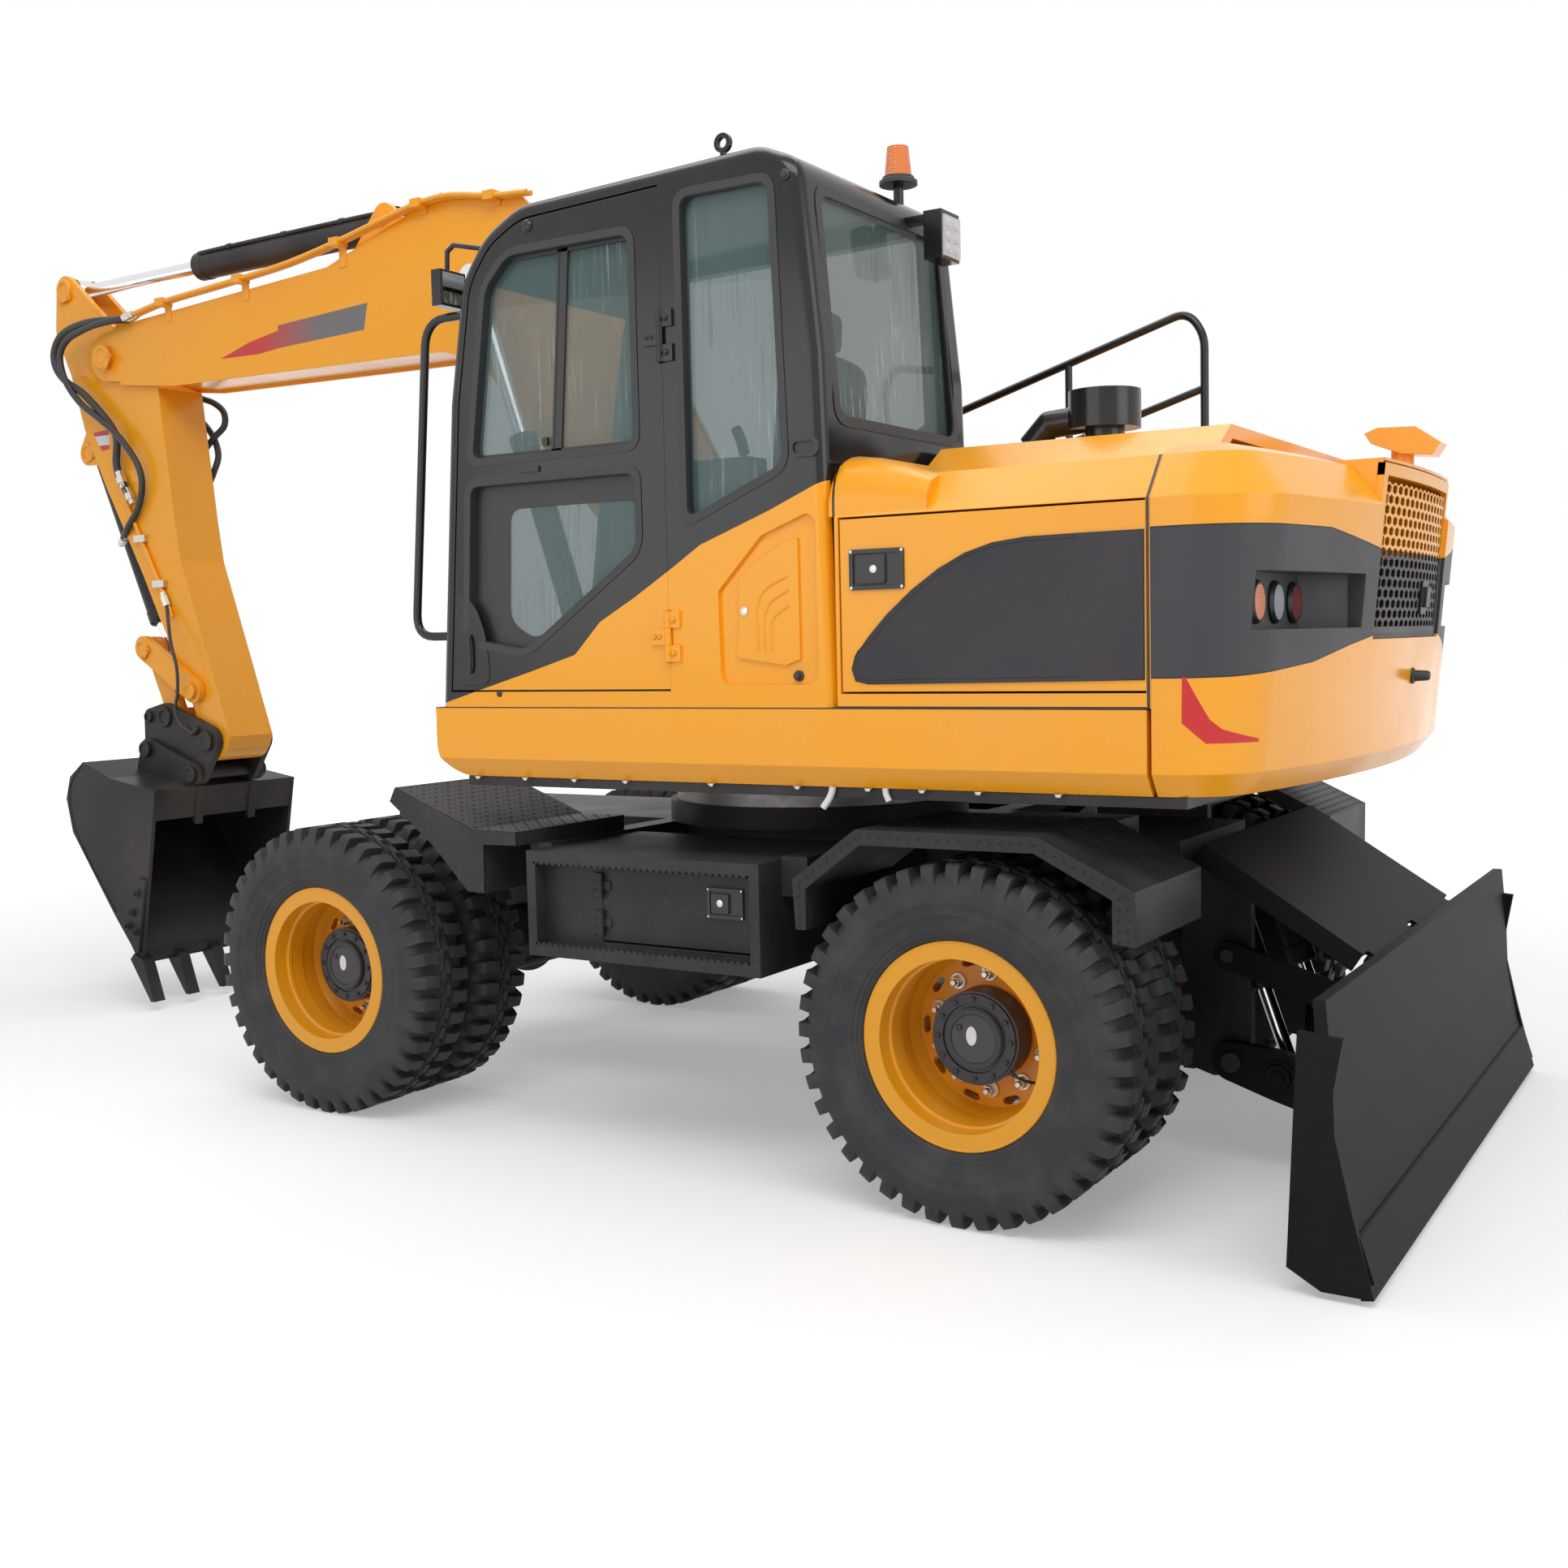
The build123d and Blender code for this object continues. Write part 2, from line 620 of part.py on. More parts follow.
# Skirts under the cab and along the right side, with a rounded front lower edge
skirt_corner = 110.0
hem_inset = 45.0
hem_height = 60.0
with BuildPart() as side_skirts:
    for low, high in ((cab_inner_y - 20.0, body_half_width), (-body_half_width, -cab_inner_y + 20.0)):
        with BuildSketch(Plane.XZ.offset(-high)) as face:
            with BuildLine():
                Polyline(
                    (tail_front_x + 12.0, skirt_top_z),
                    (tail_front_x + 12.0, deck_top_z + seat_gap),
                    (skirt_front_x, deck_top_z + seat_gap),
                    (skirt_front_x, skirt_top_z),
                    close=True,
                )
            make_face()
            fillet(face.vertices().group_by(Axis.X)[-1].sort_by(Axis.Y)[0], skirt_corner)
        extrude(face.sketch, amount=high - low)
    for side in (-1, 1):
        with BuildSketch(Plane.YZ.offset(tail_front_x)) as wedge:
            with BuildLine():
                Polyline(
                    (side * (body_half_width - hem_inset), deck_top_z), (side * (body_half_width + 1.0), deck_top_z),
                    (side * (body_half_width + 1.0), deck_top_z + hem_height), (side * body_half_width, deck_top_z + hem_height),
                    close=True,
                )
            make_face()
        extrude(wedge.sketch, amount=skirt_front_x - tail_front_x + 1.0, mode=Mode.SUBTRACT)
save("side_skirts", side_skirts.part)

# Counterweight: sections of its plan, each an arc at the back and two rounded corners, leaning back
grille_half_width = 440.0
grille_bottom_z = 1590.0
grille_thickness = 22.0
lamp_z = 1693.0
pocket_x = rear_axle_x - 775.0
lamp_radius = 45.0
hood_crease_z = 1956.0
hood_shoulder_z = 2070.0
hood_shoulder = 100.0


def tail_back_x(z):
    share = (z - deck_top_z) / (tail_top_z - deck_top_z) - 0.5
    return slew_x - tail_radius - tail_lean * share


def tail_plan(z, inset):
    back_x = tail_back_x(z) + inset
    with BuildSketch(Plane.XY.offset(z)) as plan:
        with Locations(((back_x + tail_front_x) / 2, 0)):
            Rectangle(tail_front_x - back_x, 2 * (body_half_width - inset))
        with Locations((back_x + tail_back_radius, 0)):
            Circle(tail_back_radius, mode=Mode.INTERSECT)
        fillet(plan.vertices().group_by(Axis.X)[0], max(60.0, tail_corner - inset))
    return plan.sketch


with BuildPart() as counterweight:
    # Columns: height, how far the section lies inside the largest one
    tail_sections = [(deck_top_z + seat_gap, hem_inset), (deck_top_z + hem_height, 0.0), (hood_crease_z, 0.0),
                     (hood_shoulder_z, hood_shoulder), (tail_top_z, 2 * hood_shoulder)]
    loft([tail_plan(z, inset) for z, inset in tail_sections], ruled=True)
    block(
        (slew_x - tail_radius - 200.0, tail_front_x + 1.0),
        (-grille_half_width, grille_half_width),
        (grille_bottom_z, tail_top_z + 1.0),
        mode=Mode.SUBTRACT,
    )
    for side in (-1, 1):
        with BuildSketch(Plane.XY.offset(lamp_z - 70.0)) as pocket:
            with BuildLine():
                Polyline(
                    (pocket_x, side * 1130.0), (pocket_x, side * 650.0), (pocket_x - 105.0, side * 540.0),
                    (pocket_x - 400.0, side * 540.0), (pocket_x - 400.0, side * 1130.0), close=True,
                )
            make_face()
        extrude(pocket.sketch, amount=145.0, mode=Mode.SUBTRACT)
save("counterweight", counterweight.part)

# Rear grille between the counterweight's horns: a bent plate with a honeycomb of openings
grille_bends = 5
hole_half_width = 24.0
hole_half_height = 34.0
hole_pitch = (60.0, 62.0)


def grille_plan(z):
    points = []
    for n in range(grille_bends):
        y = (2.0 * n / (grille_bends - 1) - 1.0) * (grille_half_width - seat_gap)
        x = tail_back_x(z) + tail_back_radius - sqrt(tail_back_radius**2 - y**2) + 12.0
        points.append((x, y))
    with BuildSketch(Plane.XY.offset(z)) as plan:
        with BuildLine():
            Polyline(*points, *[(x + grille_thickness, y) for x, y in reversed(points)], close=True)
        make_face()
    return plan.sketch


with BuildPart() as rear_grille:
    loft([grille_plan(grille_bottom_z + seat_gap), grille_plan(tail_top_z - 25.0)], ruled=True)
    rows = int((tail_top_z - grille_bottom_z - 60.0) / hole_pitch[1])
    columns = int((2 * grille_half_width - 60.0) / hole_pitch[0])
    with BuildSketch(Plane.YZ.offset(slew_x - tail_radius - 200.0)) as holes:
        for row in range(rows):
            shift = 0.25 if row % 2 else -0.25
            for column in range(columns):
                with Locations((
                    (column - (columns - 1) / 2 + shift) * hole_pitch[0],
                    (grille_bottom_z + tail_top_z) / 2 - 10.0 + (row - (rows - 1) / 2) * hole_pitch[1],
                )):
                    w, h = hole_half_width, hole_half_height
                    Polygon((0, h), (w, h / 2), (w, -h / 2), (0, -h), (-w, -h / 2), (-w, h / 2))
    extrude(holes.sketch, amount=600.0, mode=Mode.SUBTRACT)
save("rear_grille", rear_grille.part)

# Engine hood: a shell from the cab to the counterweight, open at both service doors and the lid
# Columns: width, height
hood_top_z = 2200.0
hood_section = [(body_half_width, hood_base_z), (body_half_width, hood_crease_z),
                (body_half_width - hood_shoulder, hood_shoulder_z),
                (body_half_width - 520, 2110), (body_half_width - 660, hood_top_z),
                (160 - body_half_width, hood_top_z), (-body_half_width, 2080), (-body_half_width, hood_base_z)]
service_x = (tail_front_x + 12.0, hood_front_x - 12.0)
service_z = (1470.0, hood_crease_z)
hood_rail_y = -350.0
lid_y = (240.0 - body_half_width, hood_rail_y - 50.0)
lid_x = (tail_front_x + 60.0, hood_front_x - 80.0)
with BuildPart() as engine_hood:
    with BuildSketch(Plane.YZ.offset(tail_front_x + seat_gap)) as section:
        with BuildLine():
            Polyline(*hood_section, close=True)
        make_face()
    extrude(section.sketch, amount=hood_front_x - tail_front_x - seat_gap)
    with BuildSketch(Plane.YZ.offset(tail_front_x + seat_gap)) as section:
        with BuildLine():
            Polyline(*hood_section, close=True)
        make_face()
        offset(amount=-panel, kind=Kind.INTERSECTION)
        with Locations((0, hood_base_z)):
            Rectangle(2 * (body_half_width - panel), 4 * panel)
    extrude(section.sketch, amount=hood_front_x - tail_front_x - panel - seat_gap, mode=Mode.SUBTRACT)
    for side in (-1, 1):
        y = sorted((side * (body_half_width - 2 * panel), side * (body_half_width + 1.0)))
        block(service_x, y, service_z, mode=Mode.SUBTRACT)
    block(lid_x, lid_y, (hood_top_z - 100.0, hood_top_z + 1.0), mode=Mode.SUBTRACT)
save("engine_hood", engine_hood.part)
for name, side in (("service_door_left", 1), ("service_door_right", -1)):
    with BuildPart() as door:
        y = sorted((side * (body_half_width - panel), side * body_half_width))
        block(
            (service_x[0] + seat_gap, service_x[1] - clearance),
            y,
            (service_z[0] + clearance, service_z[1] - clearance),
        )
    save(name, door.part)
with BuildPart() as hood_lid:
    block(
        (lid_x[0] + clearance, lid_x[1] - seat_gap),
        (lid_y[0] + clearance, lid_y[1] - clearance),
        (hood_top_z - panel, hood_top_z),
    )
save("hood_lid", hood_lid.part)

# Engine: one plain block on the deck, behind the service doors
with BuildPart() as engine_block:
    block(
        (tail_front_x + 145.0, hood_front_x - 165.0),
        (520.0 - body_half_width, body_half_width - 720.0),
        (skirt_top_z + seat_gap, hood_top_z - 180.0),
    )
save("engine_block", engine_block.part)

# Right-hand tank box, ahead of the hood, and the low battery box in front of it
tank_y = (-body_half_width, -cab_inner_y)
tank_top_z = 2080.0
with BuildPart() as right_tanks:
    block((hood_front_x + 5.0, rear_axle_x + 1150.0), tank_y, (skirt_top_z + seat_gap, tank_top_z))
    block(
        (rear_axle_x + 1155.0, skirt_front_x - 40.0), tank_y, (skirt_top_z + seat_gap, 1700.0)
    )
save("right_tanks", right_tanks.part)

# Cab: a shell with a door opening on the left and windows all round
# Columns: distance ahead of the rear axle, height, radius of the bend
cab_bends = [(356, cab_base_z, 0), (1848, cab_base_z, 0), (1770, 2394, 0), (1702, 2781, 250), (1600, 2905, 250),
             (1457, 2977, 250), (576, 3008, 150), (440, 2950, 90), (385, 2420, 0)]
cab_outline = from_rear([(x, z) for x, z, _ in cab_bends])
cab_edge = 38.0
door_inset = 48.0


def cab_face(inset, plane, rear_x=None):
    """The cab's side view, rounded at its bends, drawn in by an inset and cut off at its rear."""
    with BuildSketch(plane) as face:
        with BuildLine():
            Polyline(*cab_outline, close=True)
        make_face()
        for radius in (250, 150, 90):
            for x, z, bend in cab_bends:
                if bend == radius:
                    corner = face.vertices().sort_by_distance((rear_axle_x + x, z, 0))[0]
                    fillet(corner, radius)
        if inset:
            offset(amount=-inset, kind=Kind.INTERSECTION)
        if rear_x is not None:
            with Locations((rear_x + 1000.0, 2200.0)):
                Rectangle(2000.0, 3000.0, mode=Mode.INTERSECT)
    return face.sketch


# The pressed panel low on the cab's side, and the locker's lid in it
panel_press = from_rear([(407, 1497), (735, 1497), (740, 1768), (587, 1921), (407, 1986)])
locker_lid = from_rear([(678, 1575), (671, 1802), (611, 1848), (504, 1904), (468, 1907), (467, 1568), (514, 1551)])
press_depth = 12.0
upper_pane = from_rear([(1020, 2205), (1020, 2835), (1500, 2835), (1600, 2740), (1680, 2205)])
lower_pane = from_rear([(1020, 1900), (1020, 2140), (1690, 2140), (1720, 1640), (1470, 1600)])
rear_pane = from_rear([(500, 2110), (530, 2910), (850, 2910), (850, 1968)])
right_pane = from_rear([(500, 2110), (530, 2910), (1480, 2890), (1600, 2760), (1720, 1700), (900, 1700)])
pane_corner = 45.0
# The cab door's hinges: low end of each, and the length of each of its three knuckles
door_hinges_z = (1566.0, 2440.0)
door_knuckle = 50.0
door_hinge_y = body_half_width + 6.0
door_hinge_radius = 11.0
door_pin_radius = 5.5


def door_hinge_rod(low, length, radius, mode=Mode.ADD):
    with BuildSketch(Plane.XY.offset(low)) as face:
        with Locations((door_hinge_x, door_hinge_y)):
            Circle(radius)
    extrude(face.sketch, amount=length, mode=mode)


with BuildPart() as cab_shell:
    extrude(cab_face(0, Plane.XZ.offset(-body_half_width)), amount=body_half_width - cab_inner_y)
    for face in (cab_shell.faces().sort_by(Axis.Y)[-1], cab_shell.faces().sort_by(Axis.Y)[0]):
        fillet(face.edges().sort_by(Axis.Z)[1:], cab_edge)
    extrude(
        cab_face(cab_wall, Plane.XZ.offset(-body_half_width + cab_wall)),
        amount=body_half_width - cab_inner_y - 2 * cab_wall,
        mode=Mode.SUBTRACT,
    )
    extrude(
        cab_face(door_inset, Plane.XZ.offset(-body_half_width - 1), door_hinge_x - seat_gap),
        amount=cab_wall + 2,
        mode=Mode.SUBTRACT,
    )
    pane_plate(rear_pane, pane_corner, body_half_width - 2 * cab_wall, body_half_width + 1, mode=Mode.SUBTRACT)
    pane_plate(right_pane, pane_corner, cab_inner_y - 1, cab_inner_y + 2 * cab_wall, mode=Mode.SUBTRACT)
    pane_plate(panel_press, 30.0, body_half_width - press_depth, body_half_width + 1, mode=Mode.SUBTRACT)
    side_plate(locker_lid, body_half_width - press_depth - 1, body_half_width - 4)
    block(
        (rear_axle_x + 1640.0, rear_axle_x + 1900.0), (cab_inner_y + 70.0, body_half_width - 70.0),
        (1500.0, 2800.0), mode=Mode.SUBTRACT,
    )
    block(
        (rear_axle_x + 300.0, rear_axle_x + 500.0), (cab_inner_y + 90.0, body_half_width - 90.0),
        (2240.0, 2880.0), mode=Mode.SUBTRACT,
    )
    for z in door_hinges_z:
        door_hinge_rod(z - 2.0, 3 * door_knuckle + 4.0, door_hinge_radius + 1.5, mode=Mode.SUBTRACT)
        for low in (z, z + 2 * door_knuckle):
            door_hinge_rod(low, door_knuckle - seat_gap, door_hinge_radius)
            block(
                (door_hinge_x - 44.0, door_hinge_x - 1.0), (body_half_width - 1.0, body_half_width + leaf + 4.0),
                (low, low + door_knuckle - seat_gap),
            )
        door_hinge_rod(z, 3 * door_knuckle - seat_gap, door_pin_radius)
    # On the roof: the beacon's stem and a lifting eye; behind it, the work lamp's arm and housing
    rod_between(on_rear(500, 2940), on_rear(500, 3030), 16.0, 520.0)
    rod_between(on_rear(750, 2985), on_rear(750, 3045), 10.0, 1120.0)
    hull_plate([(*on_rear(750, 3060), 28.0)], 1113.0, 1127.0)
    hull_plate([(*on_rear(750, 3060), 15.0)], 1112.0, 1128.0, mode=Mode.SUBTRACT)
    block((rear_axle_x + 345.0, rear_axle_x + 450.0), (560.0, 610.0), (2884.0, 2904.0))
    block((rear_axle_x + 290.0, rear_axle_x + 350.0), (525.0, 645.0), (2760.0, 2904.0))
save("cab_shell", cab_shell.part)
glass = 6.0
with BuildPart() as cab_glass:
    pane_y = body_half_width - cab_wall / 2
    pane_plate(rear_pane, pane_corner, pane_y - glass, pane_y)
    pane_plate(right_pane, pane_corner, cab_inner_y + cab_wall / 2, cab_inner_y + cab_wall / 2 + glass)
    side_plate(
        from_rear([(1810, 1500), (1816, 1500), (1745, 2385), (1706, 2600), (1670, 2790), (1664, 2788),
                   (1700, 2598), (1739, 2384)]),
        cab_inner_y + 70.0,
        body_half_width - 70.0,
    )
    side_plate(
        from_rear([(405, 2240), (411, 2240), (452, 2880), (446, 2880)]), cab_inner_y + 90.0, body_half_width - 90.0
    )
save("cab_glass", cab_glass.part)
with BuildPart() as cab_door:
    extrude(
        cab_face(door_inset + clearance, Plane.XZ.offset(-body_half_width), door_hinge_x), amount=cab_wall
    )
    for pane in (upper_pane, lower_pane):
        pane_plate(pane, pane_corner, body_half_width - cab_wall - 1, body_half_width + 1, mode=Mode.SUBTRACT)
    for z in door_hinges_z:
        low = z + door_knuckle
        door_hinge_rod(z - 2.0, 3 * door_knuckle + 4.0, door_hinge_radius + 1.5, mode=Mode.SUBTRACT)
        door_hinge_rod(low, door_knuckle - seat_gap, door_hinge_radius)
        block(
            (door_hinge_x + 1.0, door_hinge_x + 61.0), (body_half_width - 1.0, body_half_width + leaf + 4.0),
            (low, low + door_knuckle - seat_gap),
        )
        door_hinge_rod(low - 1.0, door_knuckle + 2.0, door_pin_radius + seat_gap, mode=Mode.SUBTRACT)
save("cab_door", cab_door.part)
with BuildPart() as door_glass:
    for pane in (upper_pane, lower_pane):
        pane_plate(pane, pane_corner, pane_y - glass, pane_y)
save("door_glass", door_glass.part)

# Inside the cab: floor console, seat and steering column
cab_middle_y = (cab_inner_y + body_half_width) / 2
cab_floor_z = cab_base_z + cab_wall
with BuildPart() as seat:
    side_plate(
        from_rear([(620, 1930), (1120, 1950), (1120, 2060), (760, 2040), (700, 2640), (580, 2640)]),
        cab_middle_y - 240.0,
        cab_middle_y + 240.0,
    )
    block(
        (rear_axle_x + 640.0, rear_axle_x + 1060.0), (cab_middle_y - 200.0, cab_middle_y + 200.0),
        (cab_floor_z, 1935.0),
    )
save("seat", seat.part)
with BuildPart() as console:
    for side in (-1, 1):
        y = cab_middle_y + side * 310.0
        block(
            (rear_axle_x + 660.0, rear_axle_x + 1200.0), (y - 55.0, y + 55.0), (cab_floor_z, 2120.0)
        )
    column_radius = 45.0
    column_tilt = atan2(90.0, 630.0)
    foot = on_rear(1560.0, cab_floor_z + column_radius * sin(column_tilt) + seat_gap)
    rod_between(foot, (foot[0] - 630.0 * sin(column_tilt), foot[1] + 630.0 * cos(column_tilt)), column_radius,
                cab_middle_y)
save("console", console.part)

# Handrails, mirrors and lamps on the upper part
rail_radius = 14.0
rail_y = body_half_width - 50.0


def pillar_front_x(z):
    """Where the cab's front pillar has its front face, at a height."""
    for (x0, z0), (x1, z1) in zip(cab_outline[1:], cab_outline[2:]):
        if z0 <= z <= z1:
            return x0 + (x1 - x0) * (z - z0) / (z1 - z0)


with BuildPart() as handrails:
    rail_low, rail_high = on_rear(1990.0, 1660.0), on_rear(1895.0, 2680.0)
    rod_between(rail_low, rail_high, rail_radius, rail_y)
    for end in (rail_low, rail_high):
        foot_x = pillar_front_x(end[1] - rail_radius) + seat_gap
        rod_between(end, (foot_x, end[1]), rail_radius, rail_y)
    # The rail beside the engine hood, with its middle post and lower bar
    # Columns: distance ahead of the rear axle, height
    hood_rail = [(-190, hood_top_z + seat_gap), (-190, 2620), (-130, 2700), (880, 2396), (950, 2330),
                 (950, tank_top_z + seat_gap)]
    tube([(rear_axle_x + x, hood_rail_y, z) for x, z in hood_rail], rail_radius)
    tube([(rear_axle_x + x, hood_rail_y, z) for x, z in [(-190, 2440), (300, 2293)]], rail_radius - 1)
    tube([(rear_axle_x + x, hood_rail_y, z) for x, z in [(300, hood_top_z + seat_gap), (300, 2570)]], rail_radius - 1)
save("handrails", handrails.part)
mirror_y = body_half_width - 60.0
pillar_round = 1.2  # how far the pillar's rounded bend lies behind its corner, less the seat's gap
with BuildPart() as mirrors:
    foot_x = pillar_front_x(2866.0) - rear_axle_x - pillar_round
    tube([(rear_axle_x + x, mirror_y, z) for x, z in [(foot_x, 2874), (1772, 2906), (1800, 2890), (1806, 2800)]], 8.0)
    block((rear_axle_x + 1782.0, rear_axle_x + 1822.0), (mirror_y - 60.0, mirror_y + 55.0), (2712.0, 2826.0))
save("mirrors", mirrors.part)
with BuildPart() as lamps:
    # Beacon on its stem, the work lamp's lens and three tail lamps in each pocket
    with BuildSketch(Plane.XY.offset(3030.0 + seat_gap)):
        with Locations((rear_axle_x + 500.0, 520.0)):
            Circle(46.0)
    extrude(amount=115.0, taper=6)
    block((rear_axle_x + 282.0, rear_axle_x + 290.0 - seat_gap), (532.0, 638.0), (2767.0, 2888.0))
    for side in (-1, 1):
        for y in (711.0, 879.0, 1047.0):
            with BuildSketch(Plane.YZ.offset(pocket_x - seat_gap)):
                with Locations((side * y, lamp_z)):
                    Circle(lamp_radius)
            extrude(amount=-14.0)
save("lamps", lamps.part)
with BuildPart() as exhaust_cover:
    side_plate(
        from_rear([(-690, 2256), (-711, 2222), (-807, 2183), (-902, 2172), (-928, 2210), (-849, 2267), (-733, 2272)]),
        -565.0,
        -455.0,
    )
    rod_between(on_rear(-800, tail_top_z + seat_gap), on_rear(-800, 2200), 36.0, -510.0)
save("exhaust_cover", exhaust_cover.part)
with BuildPart() as stacks:
    with BuildSketch(Plane.XY.offset(hood_top_z + seat_gap)):
        with Locations((hood_front_x - 480.0, body_half_width - 800.0)):
            Circle(60.0)
    extrude(amount=35.0)
    with BuildSketch(Plane.XY.offset(hood_top_z + 35.0)):
        with Locations((hood_front_x - 480.0, body_half_width - 800.0)):
            Circle(108.0)
    extrude(amount=113.0)
    # The pre-cleaner's duct to the hood
    duct_y = body_half_width - 800.0
    tube([(hood_front_x - 420.0, duct_y, hood_top_z + 70.0), (hood_front_x - 300.0, duct_y, hood_top_z + 62.0),
          (hood_front_x - 240.0, duct_y, hood_top_z + 0.5)], 42.0)
    block((hood_front_x - 400.0, hood_front_x), (duct_y - 80.0, duct_y + 80.0),
          (hood_top_z - 80.0, hood_top_z + seat_gap), mode=Mode.SUBTRACT)
save("stacks", stacks.part)

# Boom
boom_nose = on_rear(4928.0, 3019.0)
arm_cylinder_base = on_rear(3131.0, 3403.0)
lift_pin = on_rear(2520.0, 3050.0)
fork_half_width = arm_half_width + 5.0
fork_depth = 480.0
boom_outline = from_rear(
    [(1390, 1840), (2050, 3050), (2353, 3364), (2775, 3440), (3437, 3235), (4860, 3150), (4830, 2880),
     (4460, 2840), (2790, 2815), (2600, 2760), (1640, 1660)]
)
with BuildPart() as boom:
    side_plate(boom_outline, -boom_half_width, boom_half_width)
    with BuildSketch(Plane.XZ.offset(-boom_half_width + boom_plate)) as rim:
        with BuildLine():
            Polyline(*boom_outline, close=True)
        make_face()
        offset(amount=-boom_plate, kind=Kind.INTERSECTION, mode=Mode.SUBTRACT)
    extrude(rim.sketch, amount=2 * (boom_half_width - boom_plate), mode=Mode.SUBTRACT)
    cross_rod(boom_foot, 130.0, -boom_half_width, boom_half_width)
    cross_rod(boom_foot, pin_radius + seat_gap, -boom_half_width - 1, boom_half_width + 1, mode=Mode.SUBTRACT)
    for side in (-1, 1):
        y = side * 100.0
        hull_plate([(*arm_cylinder_base, 60.0), (*on_rear(3000.0, 3280.0), 60.0), (*on_rear(3290.0, 3220.0), 60.0)],
                   y - 15.0, y + 15.0)
    for side in (-1, 1):
        y = sorted((side * fork_half_width, side * boom_half_width))
        hull_plate([(*boom_nose, 110.0), (*on_rear(4600.0, 3010.0), 140.0)], y[0], y[1])
    cross_rod(boom_nose, fork_depth, -fork_half_width, fork_half_width, mode=Mode.SUBTRACT)
    cross_rod(boom_nose, pin_radius, -boom_half_width - 20.0, boom_half_width + 20.0)
    cross_rod(arm_cylinder_base, 30.0, -130.0, 130.0)
    for side in (-1, 1):
        low, high = sorted((side * (boom_half_width - 5.0), side * (lift_y - 48.0)))
        cross_rod(lift_pin, 50.0, low, high)
save("boom", boom.part)

# Boom lift cylinders
with BuildPart() as boom_barrels:
    for side in (-1, 1):
        y = side * lift_y
        cross_rod(lift_base, 50.0, y - 35.0, y + 35.0)
        rod_between(lift_base, along(lift_base, lift_pin, 1130.0), 50.0, y)
        rod_between(
            along(lift_base, lift_pin, 90.0), along(lift_base, lift_pin, 1131.0), 32.0 + seat_gap, y, mode=Mode.SUBTRACT
        )
        cross_rod(lift_base, 30.0 + seat_gap, y - 51.0, y + 51.0, mode=Mode.SUBTRACT)
save("boom_barrels", boom_barrels.part)
with BuildPart() as boom_rods:
    for side in (-1, 1):
        y = side * lift_y
        rod_between(along(lift_base, lift_pin, 960.0), lift_pin, 32.0, y)
        cross_rod(lift_pin, 55.0, y - 40.0, y + 40.0)
save("boom_rods", boom_rods.part)

# Arm
arm_tip = on_rear(4330.0, 1220.0)
arm_rod_pin = on_rear(5295.0, 3386.0)
guide_pin = on_rear(4425.0, 1450.0)
link_pin = on_rear(4760.0, 1655.0)
coupler_pin = on_rear(4620.0, 1330.0)
bucket_base = on_rear(5182.0, 2599.0)
with BuildPart() as arm:
    side_plate(
        from_rear([(4600, 2850), (4900, 2960), (5230, 2960), (5150, 2700), (5013, 2423), (4766, 1983),
                   (4654, 1760), (4460, 1390), (4400, 1180), (4240, 1180), (4217, 1240), (4500, 2050),
                   (4530, 2250)]),
        -arm_half_width,
        arm_half_width,
    )
    cross_rod(arm_tip, 92.0, -arm_half_width, arm_half_width)
    hull_plate([(*boom_nose, 100.0), (*on_rear(4780.0, 2790.0), 80.0)], -arm_half_width, arm_half_width)
    for side in (-1, 1):
        y = sorted((side * 60.0, side * 88.0))
        hull_plate([(*boom_nose, 100.0), (*arm_rod_pin, 65.0), (*on_rear(5290.0, 3200.0), 90.0),
                    (*on_rear(5130.0, 2850.0), 80.0)], y[0], y[1])
        hull_plate([(*bucket_base, 60.0), (*on_rear(5060.0, 2600.0), 60.0), (*on_rear(5080.0, 2750.0), 60.0)],
                   y[0], y[1])
    cross_rod(boom_nose, pin_radius + seat_gap, -arm_half_width - 1, arm_half_width + 1, mode=Mode.SUBTRACT)
    cross_rod(arm_tip, pin_radius + seat_gap, -arm_half_width - 1, arm_half_width + 1, mode=Mode.SUBTRACT)
    cross_rod(bucket_base, 28.0, -88.0, 88.0)
    cross_rod(guide_pin, 28.0, -arm_half_width - 50.0, arm_half_width + 50.0)
save("arm", arm.part)

# Arm and bucket cylinders
cylinder_table = (
    # name, base, base pin radius, rod eye, barrel length, barrel radius, rod radius
    ("arm", arm_cylinder_base, 30.0, arm_rod_pin, 1280.0, 60.0, 32.0),
    ("bucket", bucket_base, 28.0, link_pin, 900.0, 50.0, 28.0),
)
for name, base, base_pin, eye, length, barrel_radius, rod_radius in cylinder_table:
    with BuildPart() as barrel:
        cross_rod(base, barrel_radius, -45.0, 45.0)
        rod_between(base, along(base, eye, length), barrel_radius, 0.0)
        rod_between(
            along(base, eye, 90.0), along(base, eye, length + 1.0), rod_radius + seat_gap, 0.0, mode=Mode.SUBTRACT
        )
        cross_rod(base, base_pin + seat_gap, -barrel_radius - 1, barrel_radius + 1, mode=Mode.SUBTRACT)
    save(f"{name}_barrel", barrel.part)
    with BuildPart() as rod:
        rod_between(along(base, eye, length - 200.0), eye, rod_radius, 0.0)
        cross_rod(eye, barrel_radius, -40.0, 40.0)
    save(f"{name}_rod", rod.part)

